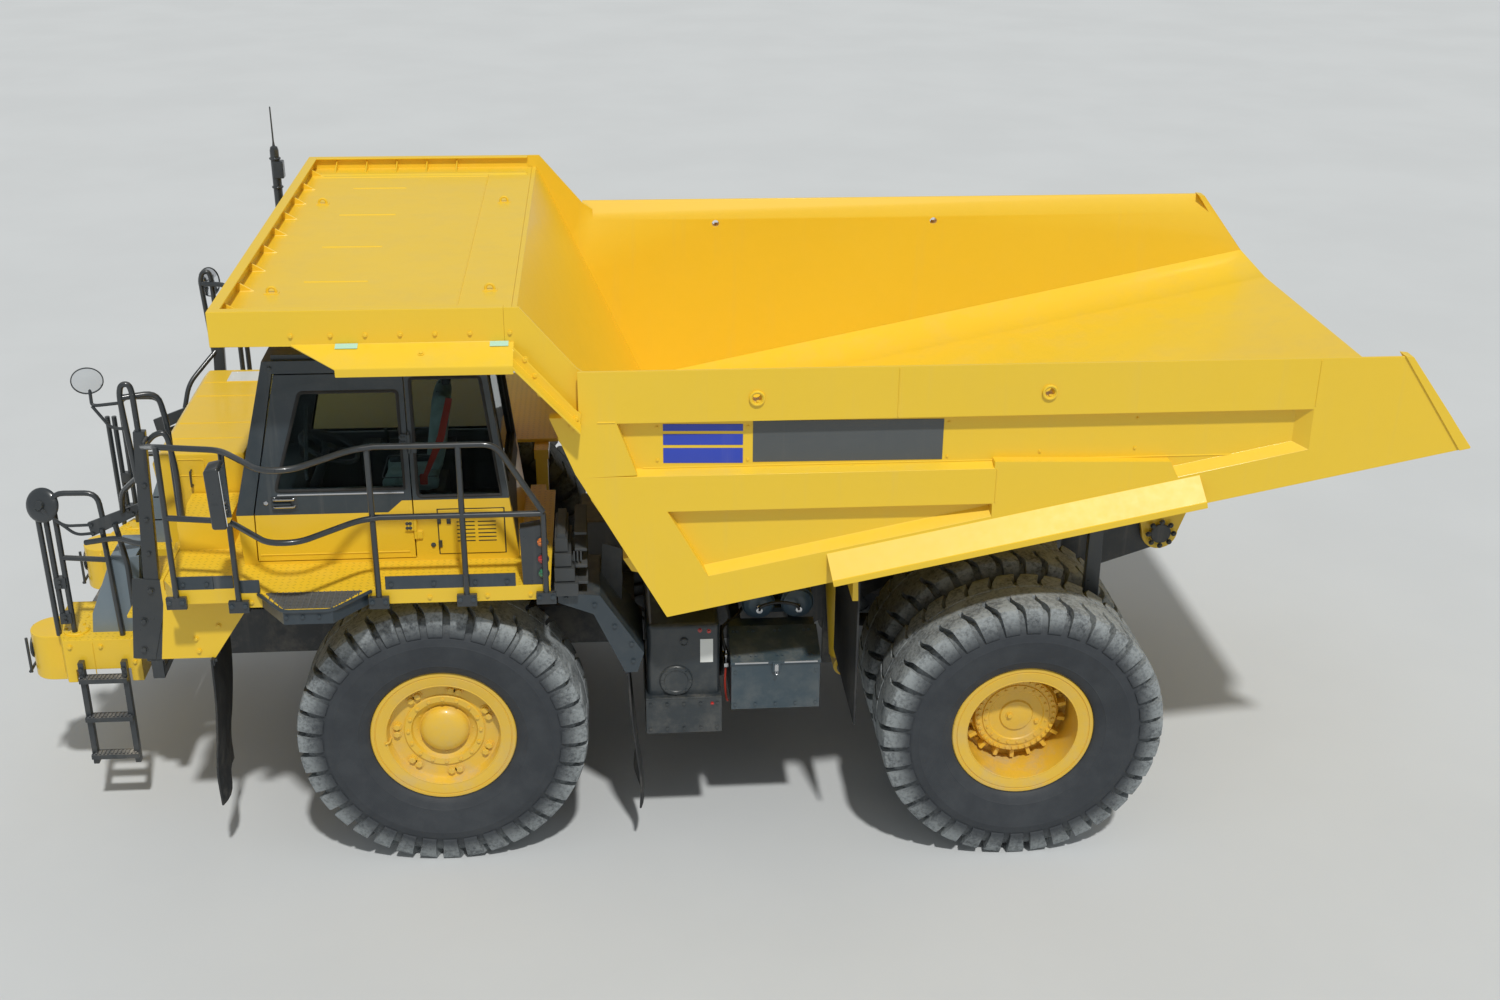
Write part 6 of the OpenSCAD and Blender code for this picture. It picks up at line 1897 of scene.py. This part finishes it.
    def fittings(self) -> None:
        """Sets the bolts of the platform, boxes and clamps."""
        f = self.finishes
        yellow = both(lambda side: (
            side_bolts(side, 1.125, 0.03, ((6.7, 1.44), (6.7, 1.3), (7.17, 1.44), (6.94, 1.44)))
            + bolt_circle(at(7.15, side * 0.96, 1.514), (0, 0, 1), 0.078, 6, 0.022)
            + side_bolts(side, 1.905, 0.03, (
                (5.999, 1.8), (6.01, 1.9), (5.84, 2.0), (5.72, 2.23), (6.12, 2.23)))))
        yellow += [Bolt(at(7.341, y, 1.44), (1, 0, 0), 0.032) for y in (-0.55, 0.55, -0.5, 0.5)]
        bolts("bumper_bolts", yellow, f.yellow, "body_yellow")
        dark = both(lambda side: (
            side_bolts(side, 1.062, 0.026, ((6.88, 2.36), (6.885, 2.43), (6.6, 2.548), (6.57, 2.515)))
            + side_bolts(side, 1.045, 0.026, [(7.19, z) for z in (1.92, 1.96, 1.62, 1.66)])))
        bolts("clamp_bolts", dark, f.rail_black, "rail_black")
        studs = [slab(at(6.69 + 0.07 * i, side * (0.56 + 0.09 * j) - 0.012, 1.497),
                      at(6.714 + 0.07 * i, side * (0.56 + 0.09 * j) + 0.012, 1.505), 0.003)
                 for side in (1, -1) for i in range(7) for j in range(3)]
        gather("platform_studs", studs, f.step_yellow, "body_yellow")

    def build(self) -> None:
        """Dresses the nose."""
        self.panels()
        self.grille()
        self.hood_trim()
        # The steps' blue-grey is painted shade.
        gather("nose_panels", both(self.side_boxes), self.finishes.step_painted_shade, "charcoal_paint")
        gather("nose_clamps", both(self.clamps), self.finishes.rail_black, "rail_black")
        gather("bumper_covers", self.covers(), self.finishes.yellow, "body_yellow")
        self.fittings()


@dataclass
class Mirrors:
    """Round mirrors on bent arms and box mirrors on the rail posts."""

    finishes: Finishes

    @staticmethod
    def placing(place: Point, turn: float, lean: float) -> Matrix:
        """Where a round mirror sits, with its back along +X of its own."""
        return (Matrix.Translation(place) @ Matrix.Rotation(math.radians(turn), 4, "Z")
                @ Matrix.Rotation(math.radians(lean), 4, "Y") @ Matrix.Rotation(-math.pi / 2, 4, "Z"))

    def build(self) -> None:
        """Builds every mirror."""
        f = self.finishes
        places = [self.placing(at(6.655, 1.375, 3.68), -75, -14) @ Matrix.Scale(0.84, 4),
                  self.placing(at(7.235, 1.0, 2.575), 75, -20),
                  self.placing(at(6.56, -2.15, 3.33), -30, 10)]
        back = Piece.turned("back", [(0.0, 0.058), (0.03, 0.058), (0.036, 0.05), (0.04, 0.034), (0.09, 0.03),
                                     (0.118, 0.02), (0.131, 0.004), (0.131, -0.004), (0.124, -0.006),
                                     (0.12, 0.004),
                                     (0.0, 0.006)], (0, 0, 0), 56)
        glass = Piece.turned("glass", [(0.0, -0.01), (0.06, -0.008), (0.121, 0.0), (0.121, 0.005),
                                       (0.0, 0.007)],
                             (0, 0, 0), 56)
        backs = back.copies(places)
        arms = [Piece.tube("arm", line, 0.012, 0.05) for line in (
            [at(6.655, 1.345, 3.65), at(6.652, 1.36, 3.54), at(6.648, 1.375, 3.492), at(6.453, 1.375, 3.511)],
            [at(6.648, 1.375, 3.492), at(6.54, 1.375, 3.323), at(6.44, 1.375, 3.314)],
            [at(7.225, 1.055, 2.565), at(7.085, 1.055, 2.425), at(6.9, 1.055, 2.429)],
            [at(7.225, 1.055, 2.555), at(7.005, 1.055, 2.35), at(6.89, 1.055, 2.36)],
            [at(6.063, -2.151, 3.3), at(6.3, -2.2, 3.25), at(6.59, -2.165, 3.32)])]
        boxes, panes = [], []
        for side, near in ((1, 2.27), (-1, 2.43)):
            low, high = span(side, near, near + 0.18)
            outline = side_points([(5.565, 2.995), (5.665, 2.995), (5.68, 3.42), (5.58, 3.44)], low)
            boxes.append(Piece.outline("box", outline, (0, high - low, 0)).soften(0.018, 3))
            boxes.append(Piece.tube("arm", [at(5.6, side * 2.247, 3.38), at(5.6, side * (near + 0.03), 3.38)],
                                    0.015))
            panes.append(Piece.outline("pane", [at(5.561, low + 0.016, 3.015), at(5.561, high - 0.016, 3.015),
                                                at(5.575, high - 0.016, 3.415),
                                                at(5.575, low + 0.016, 3.415)],
                                       (0.01, 0, 0)).soften(0.002))
            boxes.append(slab(at(5.6, low - 0.003, 3.18), at(5.65, high + 0.003, 3.19), 0.003))
        whole = join([p.thing for p in [backs] + arms + boxes], "mirror_housings")
        whole.paint([(f.rail_black, None)]).done("chassis", "rail_black", "mirrors", smooth=40)
        gather("mirror_glass", [glass.copies(places)] + panes, f.mirror, "worn_steel")


@dataclass
class Lamps:
    """Headlamps in the pods, deck clusters and tail lamps."""

    finishes: Finishes

    def build(self) -> None:
        """Builds the lamps."""
        f = self.finishes
        rules = [(f.rail_black, None), (f.clear, lambda c, n: c.x > station(7.4) and n.x > 0.9),
                 (f.red, lambda c, n: c.x < station(-1.2) and n.x < -0.9),
                 (f.orange, lambda c, n: c.x < station(3.47) and c.x > 0 and n.x < -0.9)]
        skin("lamps", rules, 0.006)
        bezels, lens, amber, red, green = [], [], [], [], []
        for side in (1, -1):
            bezels.append(Piece.ring("bezel", at(7.554, side * 0.77, 1.28), (1, 0, 0), 0.088, 0.01, 48, 8))
            lens.append(Piece.turned(
                "dome", [(0.0, 0.014), (0.05, 0.011), (0.083, 0.0), (0.083, -0.01), (0.0, -0.01)],
                (0, 0, 0), 48).copies([Matrix.Translation(at(7.545, side * 0.77, 1.28))
                                       @ Matrix.Rotation(-math.pi / 2, 4, "Z")]))
            for z, group in ((2.6, red), (2.73, amber), (2.49, green)):
                dome = Piece.turned("lamp", [(0.0, 0.022), (0.02, 0.02), (0.034, 0.008), (0.036, 0.0),
                                             (0.036, -0.012), (0.0, -0.012)], (0, 0, 0), 32)
                flip = Matrix.Translation(at(3.505, side * 2.196, z)) @ Matrix.Scale(side, 4, (0, 1, 0))
                group.append(dome.copies([flip]))
                bezels.append(Piece.ring("bezel", at(3.505, side * 2.197, z), (0, 1, 0), 0.038, 0.006, 32, 8))
            low, high = span(side, 0.06, 0.21)
            for z in (1.775, 1.825):
                red.append(slab(at(-1.432, low + 0.012, z), at(-1.416, high - 0.012, z + 0.036), 0.004))
        gather("lamp_bezels", bezels, f.rail_black, "rail_black")
        gather("lamp_clear", lens, f.clear, "lamp_glass")
        gather("lamp_orange", amber, f.orange, "lamp_glass")
        gather("lamp_red", red, f.red, "lamp_glass")
        gather("lamp_green", green, f.green, "lamp_glass")


@dataclass
class MiddleGroup:
    """Ducts, guard plates, tanks, battery box and air cylinders between the axles."""

    finishes: Finishes

    def ducts(self) -> None:
        """Dresses the moulded duct and its guard plates."""
        f = self.finishes
        skin("duct_stack", [(f.plastic, None), (f.charcoal, lambda c, n: c.z < 2.225)], 0.008)
        slots = [slab(at(3.24 + 0.024 * i, 1.976, 2.475), at(3.252 + 0.024 * i, 1.986, 2.55), 0.002)
                 for i in range(6)]
        slots += [slab(at(3.2, 1.5 - 0.01 * i, 2.3 + 0.12 * i), at(3.29, 2.01 - 0.02 * i, 2.325 + 0.12 * i),
                       0.008)
                  for i in range(4)]
        gather("duct_slots", slots, f.plastic, "trim_plastic")
        placed = both(lambda side: side_bolts(side, 2.0, 0.03, (
            (3.36, 2.19), (3.16, 2.13), (3.02, 1.95), (2.89, 1.66), (2.9, 1.8))))
        bolts("guard_bolts", placed, f.charcoal, "charcoal_paint")
        plate = [(3.098, 2.435), (2.953, 2.382), (2.962, 1.953), (3.037, 1.897), (3.123, 2.042)]
        hung = [sheet_of(side_points(plate, side * 1.6), (0, side * 0.012, 0), 0.004) for side in (1, -1)]
        gather("hung_plates", hung, f.frame_paint, "frame_paint")

    def tank(self) -> None:
        """Builds the hydraulic tank with its cover, gauge and ledge."""
        f = self.finishes
        body = Piece.outline("tank", side_points([(2.79, 1.01), (2.79, 1.88), (2.25, 1.88), (2.25, 1.01)],
                                                 0.8),
                             (0, 1.08, 0)).soften(0.045, 4)
        base = slab(at(2.235, 1.0, 0.985), at(2.805, 1.93, 1.29), 0.01)
        legs = [slab(at(x, 0.5, 1.18), at(x + 0.08, 0.81, 1.36), 0.006) for x in (2.33, 2.64)]
        hatch = Piece.turned("hatch", [(0.0, 1.87), (0.124, 1.87), (0.124, 1.89), (0.116, 1.899),
                                       (0.092, 1.899),
                                       (0.086, 1.894), (0.0, 1.894)], at(2.575, 0.0, 1.415), 64)
        gauge = Piece.turned("gauge", [(0.0, 1.87), (0.03, 1.87), (0.03, 1.896), (0.022, 1.902),
                                       (0.02, 1.896),
                                       (0.0, 1.896)], at(2.514, 0.0, 1.74), 32)
        lip = slab(at(2.236, 1.915, 1.284), at(2.804, 1.936, 1.294), 0.003)
        whole = join([p.thing for p in [body, base, legs[0], legs[1], hatch, gauge, lip]],
                     "hydraulic_tank_dressed")
        whole.paint([(f.tank, None)]).done("chassis", "frame_paint", "hydraulic_tank")
        heads = bolt_circle(at(2.575, 1.897, 1.415), (0, 1, 0), 0.105, 8, 0.02)
        heads += bolt_row(at(2.27, 1.93, 1.24), at(2.77, 1.93, 1.24), 5, (0, 1, 0), 0.024)
        heads += bolt_row(at(2.27, 1.93, 1.03), at(2.77, 1.93, 1.03), 5, (0, 1, 0), 0.024)
        bolts("tank_bolts", heads, f.tank, "frame_paint")
        label = [slab(at(2.3, 1.877, 1.56), at(2.395, 1.8825, 1.755), 0.001)]
        gather("tank_blank", label, f.label, "frame_paint")
        caps = side_bolts(1, 1.93, 0.02, [(2.308, 1.235)])
        caps += side_bolts(1, 1.88, 0.024, ((2.396, 1.829), (2.33, 1.82)))
        bolts("tank_caps", caps, f.red, "lamp_glass")

    def fuel(self) -> None:
        """Dresses the fuel tank on the right."""
        f = self.finishes
        skin("fuel_tank", [(f.tank, None)], 0.006)
        straps = [Piece.tube("strap", side_points([(1.555, 0.858), (2.795, 0.858)], -y), 0.006)
                  for y in (1.0, 1.6)]
        steps = [slab(at(1.7 + 0.34 * i, -1.935, 1.3), at(1.86 + 0.34 * i, -1.895, 1.33), 0.004)
                 for i in range(3)]
        gather("fuel_steps", straps + steps, f.rail_black, "rail_black")
        heads = bolt_circle(at(1.86, -1.93, 1.5), (0, -1, 0), 0.054, 6, 0.018)
        heads += bolt_row(at(1.64, -1.9, 1.74), at(2.72, -1.9, 1.74), 7, (0, -1, 0), 0.024)
        heads += bolt_row(at(1.64, -1.9, 0.92), at(2.72, -1.9, 0.92), 7, (0, -1, 0), 0.024)
        bolts("fuel_bolts", heads, f.tank, "frame_paint")

    def battery(self) -> None:
        """Dresses the battery box and its lid."""
        f = self.finishes
        skin("battery_box", [(f.battery, None)], 0.004)
        skin("battery_lid", [(f.battery, None)], 0.003)
        strips = [slab(at(x, 1.906, 1.548), at(x + 0.25, 1.9125, 1.562), 0.002) for x in (1.52, 1.89)]
        gather("lid_strips", strips, f.bright, "worn_steel", "battery_lid")
        across = Vector((0.0, 0.338, 0.941))
        pairs = [Bolt(at(x + dx, 1.56 + 0.345 * share, 1.684 - 0.119 * share), tuple(across), 0.022)
                 for x in (1.56, 1.78, 1.98, 2.1) for dx in (0.0, 0.035) for share in (0.15, 0.85)]
        bolts("lid_bolts", pairs, f.battery, "charcoal_paint", "battery_lid")
        front = bolt_row(at(1.53, 1.9, 1.2), at(2.135, 1.9, 1.2), 5, (0, 1, 0), 0.022)
        front += bolt_row(at(1.53, 1.9, 1.475), at(2.135, 1.9, 1.475), 2, (0, 1, 0), 0.022)
        bolts("battery_bolts", front, f.battery, "charcoal_paint")
        latch = [slab(at(1.815, 1.921, 1.49), at(1.845, 1.934, 1.545), 0.004),
                 Piece.tube("catch", [at(1.822, 1.93, 1.5), at(1.822, 1.944, 1.47), at(1.838, 1.944, 1.47),
                                      at(1.838, 1.93, 1.5)], 0.004, 0.008)]
        gather("lid_latch", latch, f.bright, "worn_steel", "battery_lid")

    def air(self) -> None:
        """Dresses the air cylinders with straps, valves and hoses."""
        f = self.finishes
        skin("air_cylinders", [(f.air_blue, None)], 0.004)
        straps = [Piece.ring("strap", at(x, y, 1.81), (0, 1, 0), 0.127, 0.006, 48, 6) for x in (1.63, 1.93)
                  for y in (0.95, 1.25)]
        gather("air_straps", straps, f.rail_black, "rail_black")
        valves = [Piece.turned("valve", [(0.0, 0.0), (0.02, 0.0), (0.02, 0.03), (0.012, 0.036), (0.012, 0.06),
                                         (0.024, 0.064), (0.024, 0.078), (0.0, 0.08)], (0, 0, 0), 24).copies(
                      [Matrix.Translation(at(x, 1.49, 1.81))]) for x in (1.63, 1.93)]
        valves += [Piece.turned("tap", [(0.0, 0.0), (0.018, 0.0), (0.018, 0.04), (0.03, 0.044), (0.03, 0.06),
                                        (0.014, 0.066), (0.014, 0.09), (0.0, 0.092)], (0, 0, 0), 24).copies(
                      [Matrix.Translation(at(2.19, 1.7, 1.47)) @ Matrix.Rotation(math.pi / 2, 4, "X")])]
        stand = slab(at(2.172, 1.56, 1.44), at(2.212, 1.76, 1.476), 0.006)
        gather("air_valves", valves + [stand], f.bright, "worn_steel")
        hoses = [Piece.tube("hose", line, 0.013, 0.09, smoothness=3) for line in (
            [at(1.63, 1.56, 1.81), at(1.64, 1.57, 1.855), at(1.78, 1.56, 1.88), at(1.92, 1.57, 1.855),
             at(1.93, 1.56, 1.81)],
            [at(2.19, 1.7, 1.545), at(2.216, 1.68, 1.64), at(2.216, 1.5, 1.65), at(2.1, 1.35, 1.64),
             at(1.95, 1.0, 1.64)],
            [at(2.205, 1.6, 1.44), at(2.215, 1.6, 1.3), at(2.205, 1.3, 1.12), at(2.15, 0.56, 1.15)],
            [at(2.79, 1.3, 1.7), at(2.9, 1.25, 1.76), at(3.05, 0.8, 1.6), at(3.06, 0.48, 1.45)],
            [at(2.79, 1.15, 1.55), at(2.9, 1.1, 1.6), at(3.0, 0.8, 1.48), at(3.02, 0.48, 1.35)])]
        gather("middle_hoses", hoses, f.hose, "trim_plastic", smooth=60)
        pink = Piece.tube("lead", [at(2.196, 1.74, 1.44), at(2.204, 1.76, 1.3), at(2.19, 1.74, 1.16),
                                   at(2.17, 1.6, 1.06)], 0.009, 0.06)
        gather("middle_lead", [pink], f.belt, "trim_plastic", smooth=60)

    def build(self) -> None:
        """Dresses the middle of the truck."""
        self.ducts()
        self.tank()
        self.fuel()
        self.battery()
        self.air()


@dataclass
class Flaps:
    """The bent rubber flaps before and behind the front tyres."""

    finishes: Finishes
    front_line: tuple[Pair, ...] = ((5.912, 1.745), (5.918, 1.4), (5.95, 1.05), (5.985, 0.78),
                                    (5.975, 0.52))
    guard_line: tuple[Pair, ...] = ((2.93, 1.57), (2.915, 1.2), (2.88, 0.85), (2.85, 0.6), (2.865, 0.38))

    def sheet(self, line: Sequence[Pair], side: int, near: float, far: float) -> Piece:
        """Models one flap that curves as it hangs, with a wavy lower edge.

        Args:
            line: Stations and heights down its middle.
            side: 1 on the left, -1 on the right.
            near: Its inner edge's distance from the middle.
            far: Its outer edge's distance from the middle.

        Returns:
            The thick flap.
        """
        path = rounded([at(x, 0, z) for x, z in line], 0.16, 4)
        Piece.deselect()
        bpy.ops.mesh.primitive_grid_add(x_subdivisions=len(path) - 1, y_subdivisions=8, size=1)
        made = bpy.context.object
        for vertex in made.data.vertices:
            row = round((vertex.co.x + 0.5) * (len(path) - 1))
            share = vertex.co.y + 0.5
            drop = row / (len(path) - 1)
            sag = 0.03 * drop * drop * math.sin(share * 5.1 + side)
            spot = path[row]
            width = near + (far - near) * share
            vertex.co = (spot.x + sag, side * width, spot.z + 0.02 * drop * math.cos(share * 4.0))
        piece = Piece(made, "flap")
        thick = made.modifiers.new("thick", "SOLIDIFY")
        thick.thickness = 0.015
        thick.offset = 0.0
        piece.apply()
        return piece.outward().soften(0.003)

    @staticmethod
    def strips(side: int) -> list[Piece]:
        """Models the clamp strips that hold the flaps of one side."""
        made = []
        for x, far, z in ((5.896, 1.94, 1.69), (2.94, 1.98, 1.53)):
            low, high = span(side, 1.36, far)
            made.append(slab(at(x, low, z), at(x + 0.01, high, z + 0.05), 0.003))
        return made

    def build(self) -> None:
        """Builds the four flaps and their clamp strips."""
        f = self.finishes
        made = both(lambda side: [self.sheet(self.front_line, side, 1.345, 1.95),
                                  self.sheet(self.guard_line, side, 1.345, 1.99)])
        whole = join([p.thing for p in made], "mud_flaps_bent")
        whole.paint([(f.flap, None)]).done("chassis", "flap_rubber", "mud_flaps", smooth=50)
        gather("flap_strips", both(self.strips), f.frame_paint, "frame_paint")
        placed = []
        for side in (1, -1):
            for x, far, z, ahead in ((5.896, 1.9, 1.715, -1), (2.95, 1.94, 1.555, 1)):
                placed += bolt_row(at(x, side * 1.4, z), at(x, side * far, z), 5, (ahead, 0, 0), 0.026)
        bolts("flap_bolts", placed, f.frame_paint, "frame_paint")


@dataclass
class Underside:
    """Frame, axles, struts, steering and hoists with their bolts and hoses."""

    finishes: Finishes
    rail_y: float = 0.5

    @staticmethod
    def is_cushion_rod(c: Vector, n: Vector) -> bool:
        """Whether a face is on the ground rod of a rear cushion unit."""
        off_axis = math.hypot(c.x - station(-0.48), abs(c.y) - 0.66)
        return 1.565 < c.z < 1.94 and abs(n.z) < 0.2 and off_axis < 0.1

    @staticmethod
    def is_strut_rod(c: Vector, n: Vector) -> bool:
        """Whether a face is on the ground rod of a front strut."""
        return 1.12 < c.z < 1.31 and abs(n.z) < 0.2

    def panels(self) -> None:
        """Rounds and paints the heavy parts."""
        f = self.finishes
        skin("frame_rails", [(f.frame_paint, None)], 0.008)
        skin("rear_axle", [(f.frame_paint, None), (f.bright, self.is_cushion_rod)], 0.006)
        skin("front_struts", [(f.frame_paint, None)], 0.006)
        skin("power_train", [(f.cast, None)], 0.02)
        skin("tie_rod", [(f.frame_paint, None)], 0.004)
        for side in ("left", "right"):
            skin("knuckle_" + side, [(f.frame_paint, None), (f.bright, self.is_strut_rod)], 0.005)
            skin("hoist_barrel_" + side, [(f.yellow, None)], 0.004)
            skin("hoist_tube_" + side, [(f.bright, None)], 0.003)
            skin("hoist_rod_" + side, [(f.bright, None)], 0.003)

    def fittings(self) -> None:
        """Sets the bolts of frame, axle and struts."""
        f = self.finishes
        rail = []
        for side in (1, -1):
            y, out = side * self.rail_y, (0, side, 0)
            rail += bolt_row(at(3.6, y, 1.3), at(5.4, y, 1.3), 10, out, 0.036)
            rail += bolt_row(at(-1.0, y, 1.9), at(0.2, y, 1.86), 6, out, 0.036)
            rail += bolt_circle(at(1.15, side * 0.792, 0.85), out, 0.045, 4, 0.018)
            rail += bolt_circle(at(4.3, side * 1.23, 2.01), (0, 0, 1), 0.085, 8, 0.028)
        rail += bolt_circle(at(0.231, 0.0, 1.065), (1, 0, 0), 0.29, 20, 0.032)
        rail += bolt_circle(at(-0.231, 0.0, 1.065), (-1, 0, 0), 0.31, 20, 0.032)
        bolts("frame_bolts", rail, f.frame_paint, "frame_paint")

    def pipes(self) -> None:
        """Lays the hoses and pipes along the frame, axle and hoists."""
        f = self.finishes
        lines = both(lambda side: [
            [at(3.2, side * 0.52, 1.5), at(1.3, side * 0.52, 1.62), at(0.3, side * 0.52, 1.72),
             at(-0.18, side * 0.42, 1.55), at(-0.1, side * 0.4, 1.36)],
            [at(4.2, side * 0.52, 1.34), at(3.0, side * 0.53, 1.4), at(2.3, side * 0.52, 1.52)],
            [at(3.9, side * 0.5, 1.2), at(3.8, side * 0.8, 1.15), at(3.95, side * 1.05, 1.18),
             at(4.15, side * 1.2, 1.22)]])
        hoses = [Piece.tube("hose", line, 0.016, 0.15, smoothness=3) for line in lines]
        gather("frame_hoses", hoses, f.hose, "trim_plastic", smooth=60)
        boots = [Piece.ring("boot", at(-0.48, y, 1.47 + 0.022 * i), (0, 0, 1), 0.1, 0.012, 32, 8)
                 for y in (0.66, -0.66) for i in range(4)]
        gather("cushion_boots", boots, f.plain_rubber, "trim_plastic")
        fins = [slab(at(x, -0.335, 1.4), at(x + 0.012, 0.335, 2.3), 0.004) for x in (5.05, 5.35, 5.65, 5.95)]
        fins += [Piece.tube("manifold", [at(4.95, side * 0.36, 2.25), at(6.05, side * 0.36, 2.25)], 0.05,
                            smoothness=3)
                 for side in (1, -1)]
        gather("engine_ribs", fins, f.cast, "frame_paint")

    def build(self) -> None:
        """Dresses the underside."""
        self.panels()
        self.fittings()
        self.pipes()


@dataclass
class Seat:
    """The driver's seat: two padded cushions swollen by cloth simulation, with piping."""

    finishes: Finishes
    middle_y: float = 1.21
    voxel: float = 0.006
    pressure: float = 4.0
    most: float = 0.024

    def blank(self, name: str, outline: Sequence[Pair], half: float) -> Piece:
        """Cuts a cushion's foam, a little smaller than its place."""
        low = self.middle_y - half
        piece = Piece.outline(name, side_points(outline, low), (0, 2 * half, 0))
        return piece.soften(0.024, 3)

    def swell(self, piece: Piece) -> Piece:
        """Puffs a cushion up with cloth under pressure, within a limit."""
        thing = piece.thing
        remesh = thing.modifiers.new("even", "REMESH")
        remesh.mode = "VOXEL"
        remesh.voxel_size = self.voxel
        piece.apply()
        before = [vertex.co.copy() for vertex in thing.data.vertices]
        cloth = thing.modifiers.new("cloth", "CLOTH")
        cloth.settings.use_pressure = True
        cloth.settings.uniform_pressure_force = self.pressure
        cloth.settings.effector_weights.gravity = 0.0
        cloth.settings.quality = 4
        scene = bpy.context.scene
        for number in range(1, 21):
            scene.frame_set(number)
        bpy.context.view_layer.update()
        piece.apply()
        scene.frame_set(1)
        for vertex, start in zip(thing.data.vertices, before):
            moved = vertex.co - start
            if moved.length > self.most:
                vertex.co = start + moved.normalized() * self.most
        return piece.subdivide(1)

    def build(self) -> None:
        """Builds the seat."""
        f = self.finishes
        base = self.swell(self.blank("seat_base", [(4.262, 2.812), (4.682, 2.812), (4.682, 2.895),
                                                   (4.262, 2.9)], 0.226))
        back = self.swell(self.blank("seat_back", [(4.262, 2.945), (4.338, 2.945), (4.252, 3.54),
                                                   (4.18, 3.54)], 0.216))
        whole = join([base.thing, back.thing], "seat_padded")
        made = whole.paint([(f.cloth, None)]).done("chassis", "seat_fabric", "seat_cushions", smooth=60)
        y = self.middle_y
        piping = [Piece.tube("piping", [at(4.275, y - 0.21, 2.915), at(4.672, y - 0.21, 2.91),
                                        at(4.672, y + 0.21, 2.91),
                                        at(4.275, y + 0.21, 2.915)], 0.005, 0.03)]
        piping += [Piece.tube("piping", [at(4.335, y + w, 2.96), at(4.247, y + w, 3.53)], 0.005)
                   for w in (-0.1, 0.1)]
        gather("seat_piping", piping, f.belt_grey, "seat_fabric", smooth=60)
        arms = [slab(at(4.3, y + w - 0.025, 3.06), at(4.6, y + w + 0.025, 3.105), 0.016)
                for w in (-0.27, 0.27)]
        arms += [slab(at(4.15, y - 0.12, 3.575), at(4.215, y + 0.12, 3.7), 0.02)]
        screens = [slab(at(5.29, 0.8, 2.91), at(5.32, 1.0, 3.06), 0.008),
                   Piece.tube("stalk", [at(5.33, 0.9, 2.86), at(5.31, 0.9, 2.96)], 0.012),
                   Piece.tube("lever", [at(4.7, 0.7, 2.895), at(4.72, 0.7, 3.01)], 0.012),
                   Piece.tube("stick", [at(5.15, 1.15, 2.93), at(5.13, 1.0, 2.95)], 0.008),
                   slab(at(4.76, 0.64, 2.895), at(4.86, 0.78, 2.915), 0.008)]
        gather("cab_controls", arms + screens, f.trim, "trim_plastic")


@dataclass
class Panes:
    """The window glass, which keeps its CAD mesh."""

    finishes: Finishes
    nodes: tuple[str, str] = ("cab_glass", "door_glass")

    def build(self) -> None:
        """Gives each pane its glass."""
        for node in self.nodes:
            slots = frame["nodes"][node].data.materials
            for index in range(len(slots)):
                slots[index] = self.finishes.glass


def main() -> None:
    """Builds the stage and dresses the truck."""
    logging.basicConfig(level=logging.INFO, format="%(name)s: %(message)s")
    Studio().build()
    finishes = Finishes()
    for group in (Panes, Tyres, Rims, Bed, Cab, Decks, Rails, Nose, Mirrors, Lamps, MiddleGroup, Flaps,
                  Underside, Seat):
        group(finishes).build()


if __name__ == "__main__":
    main()
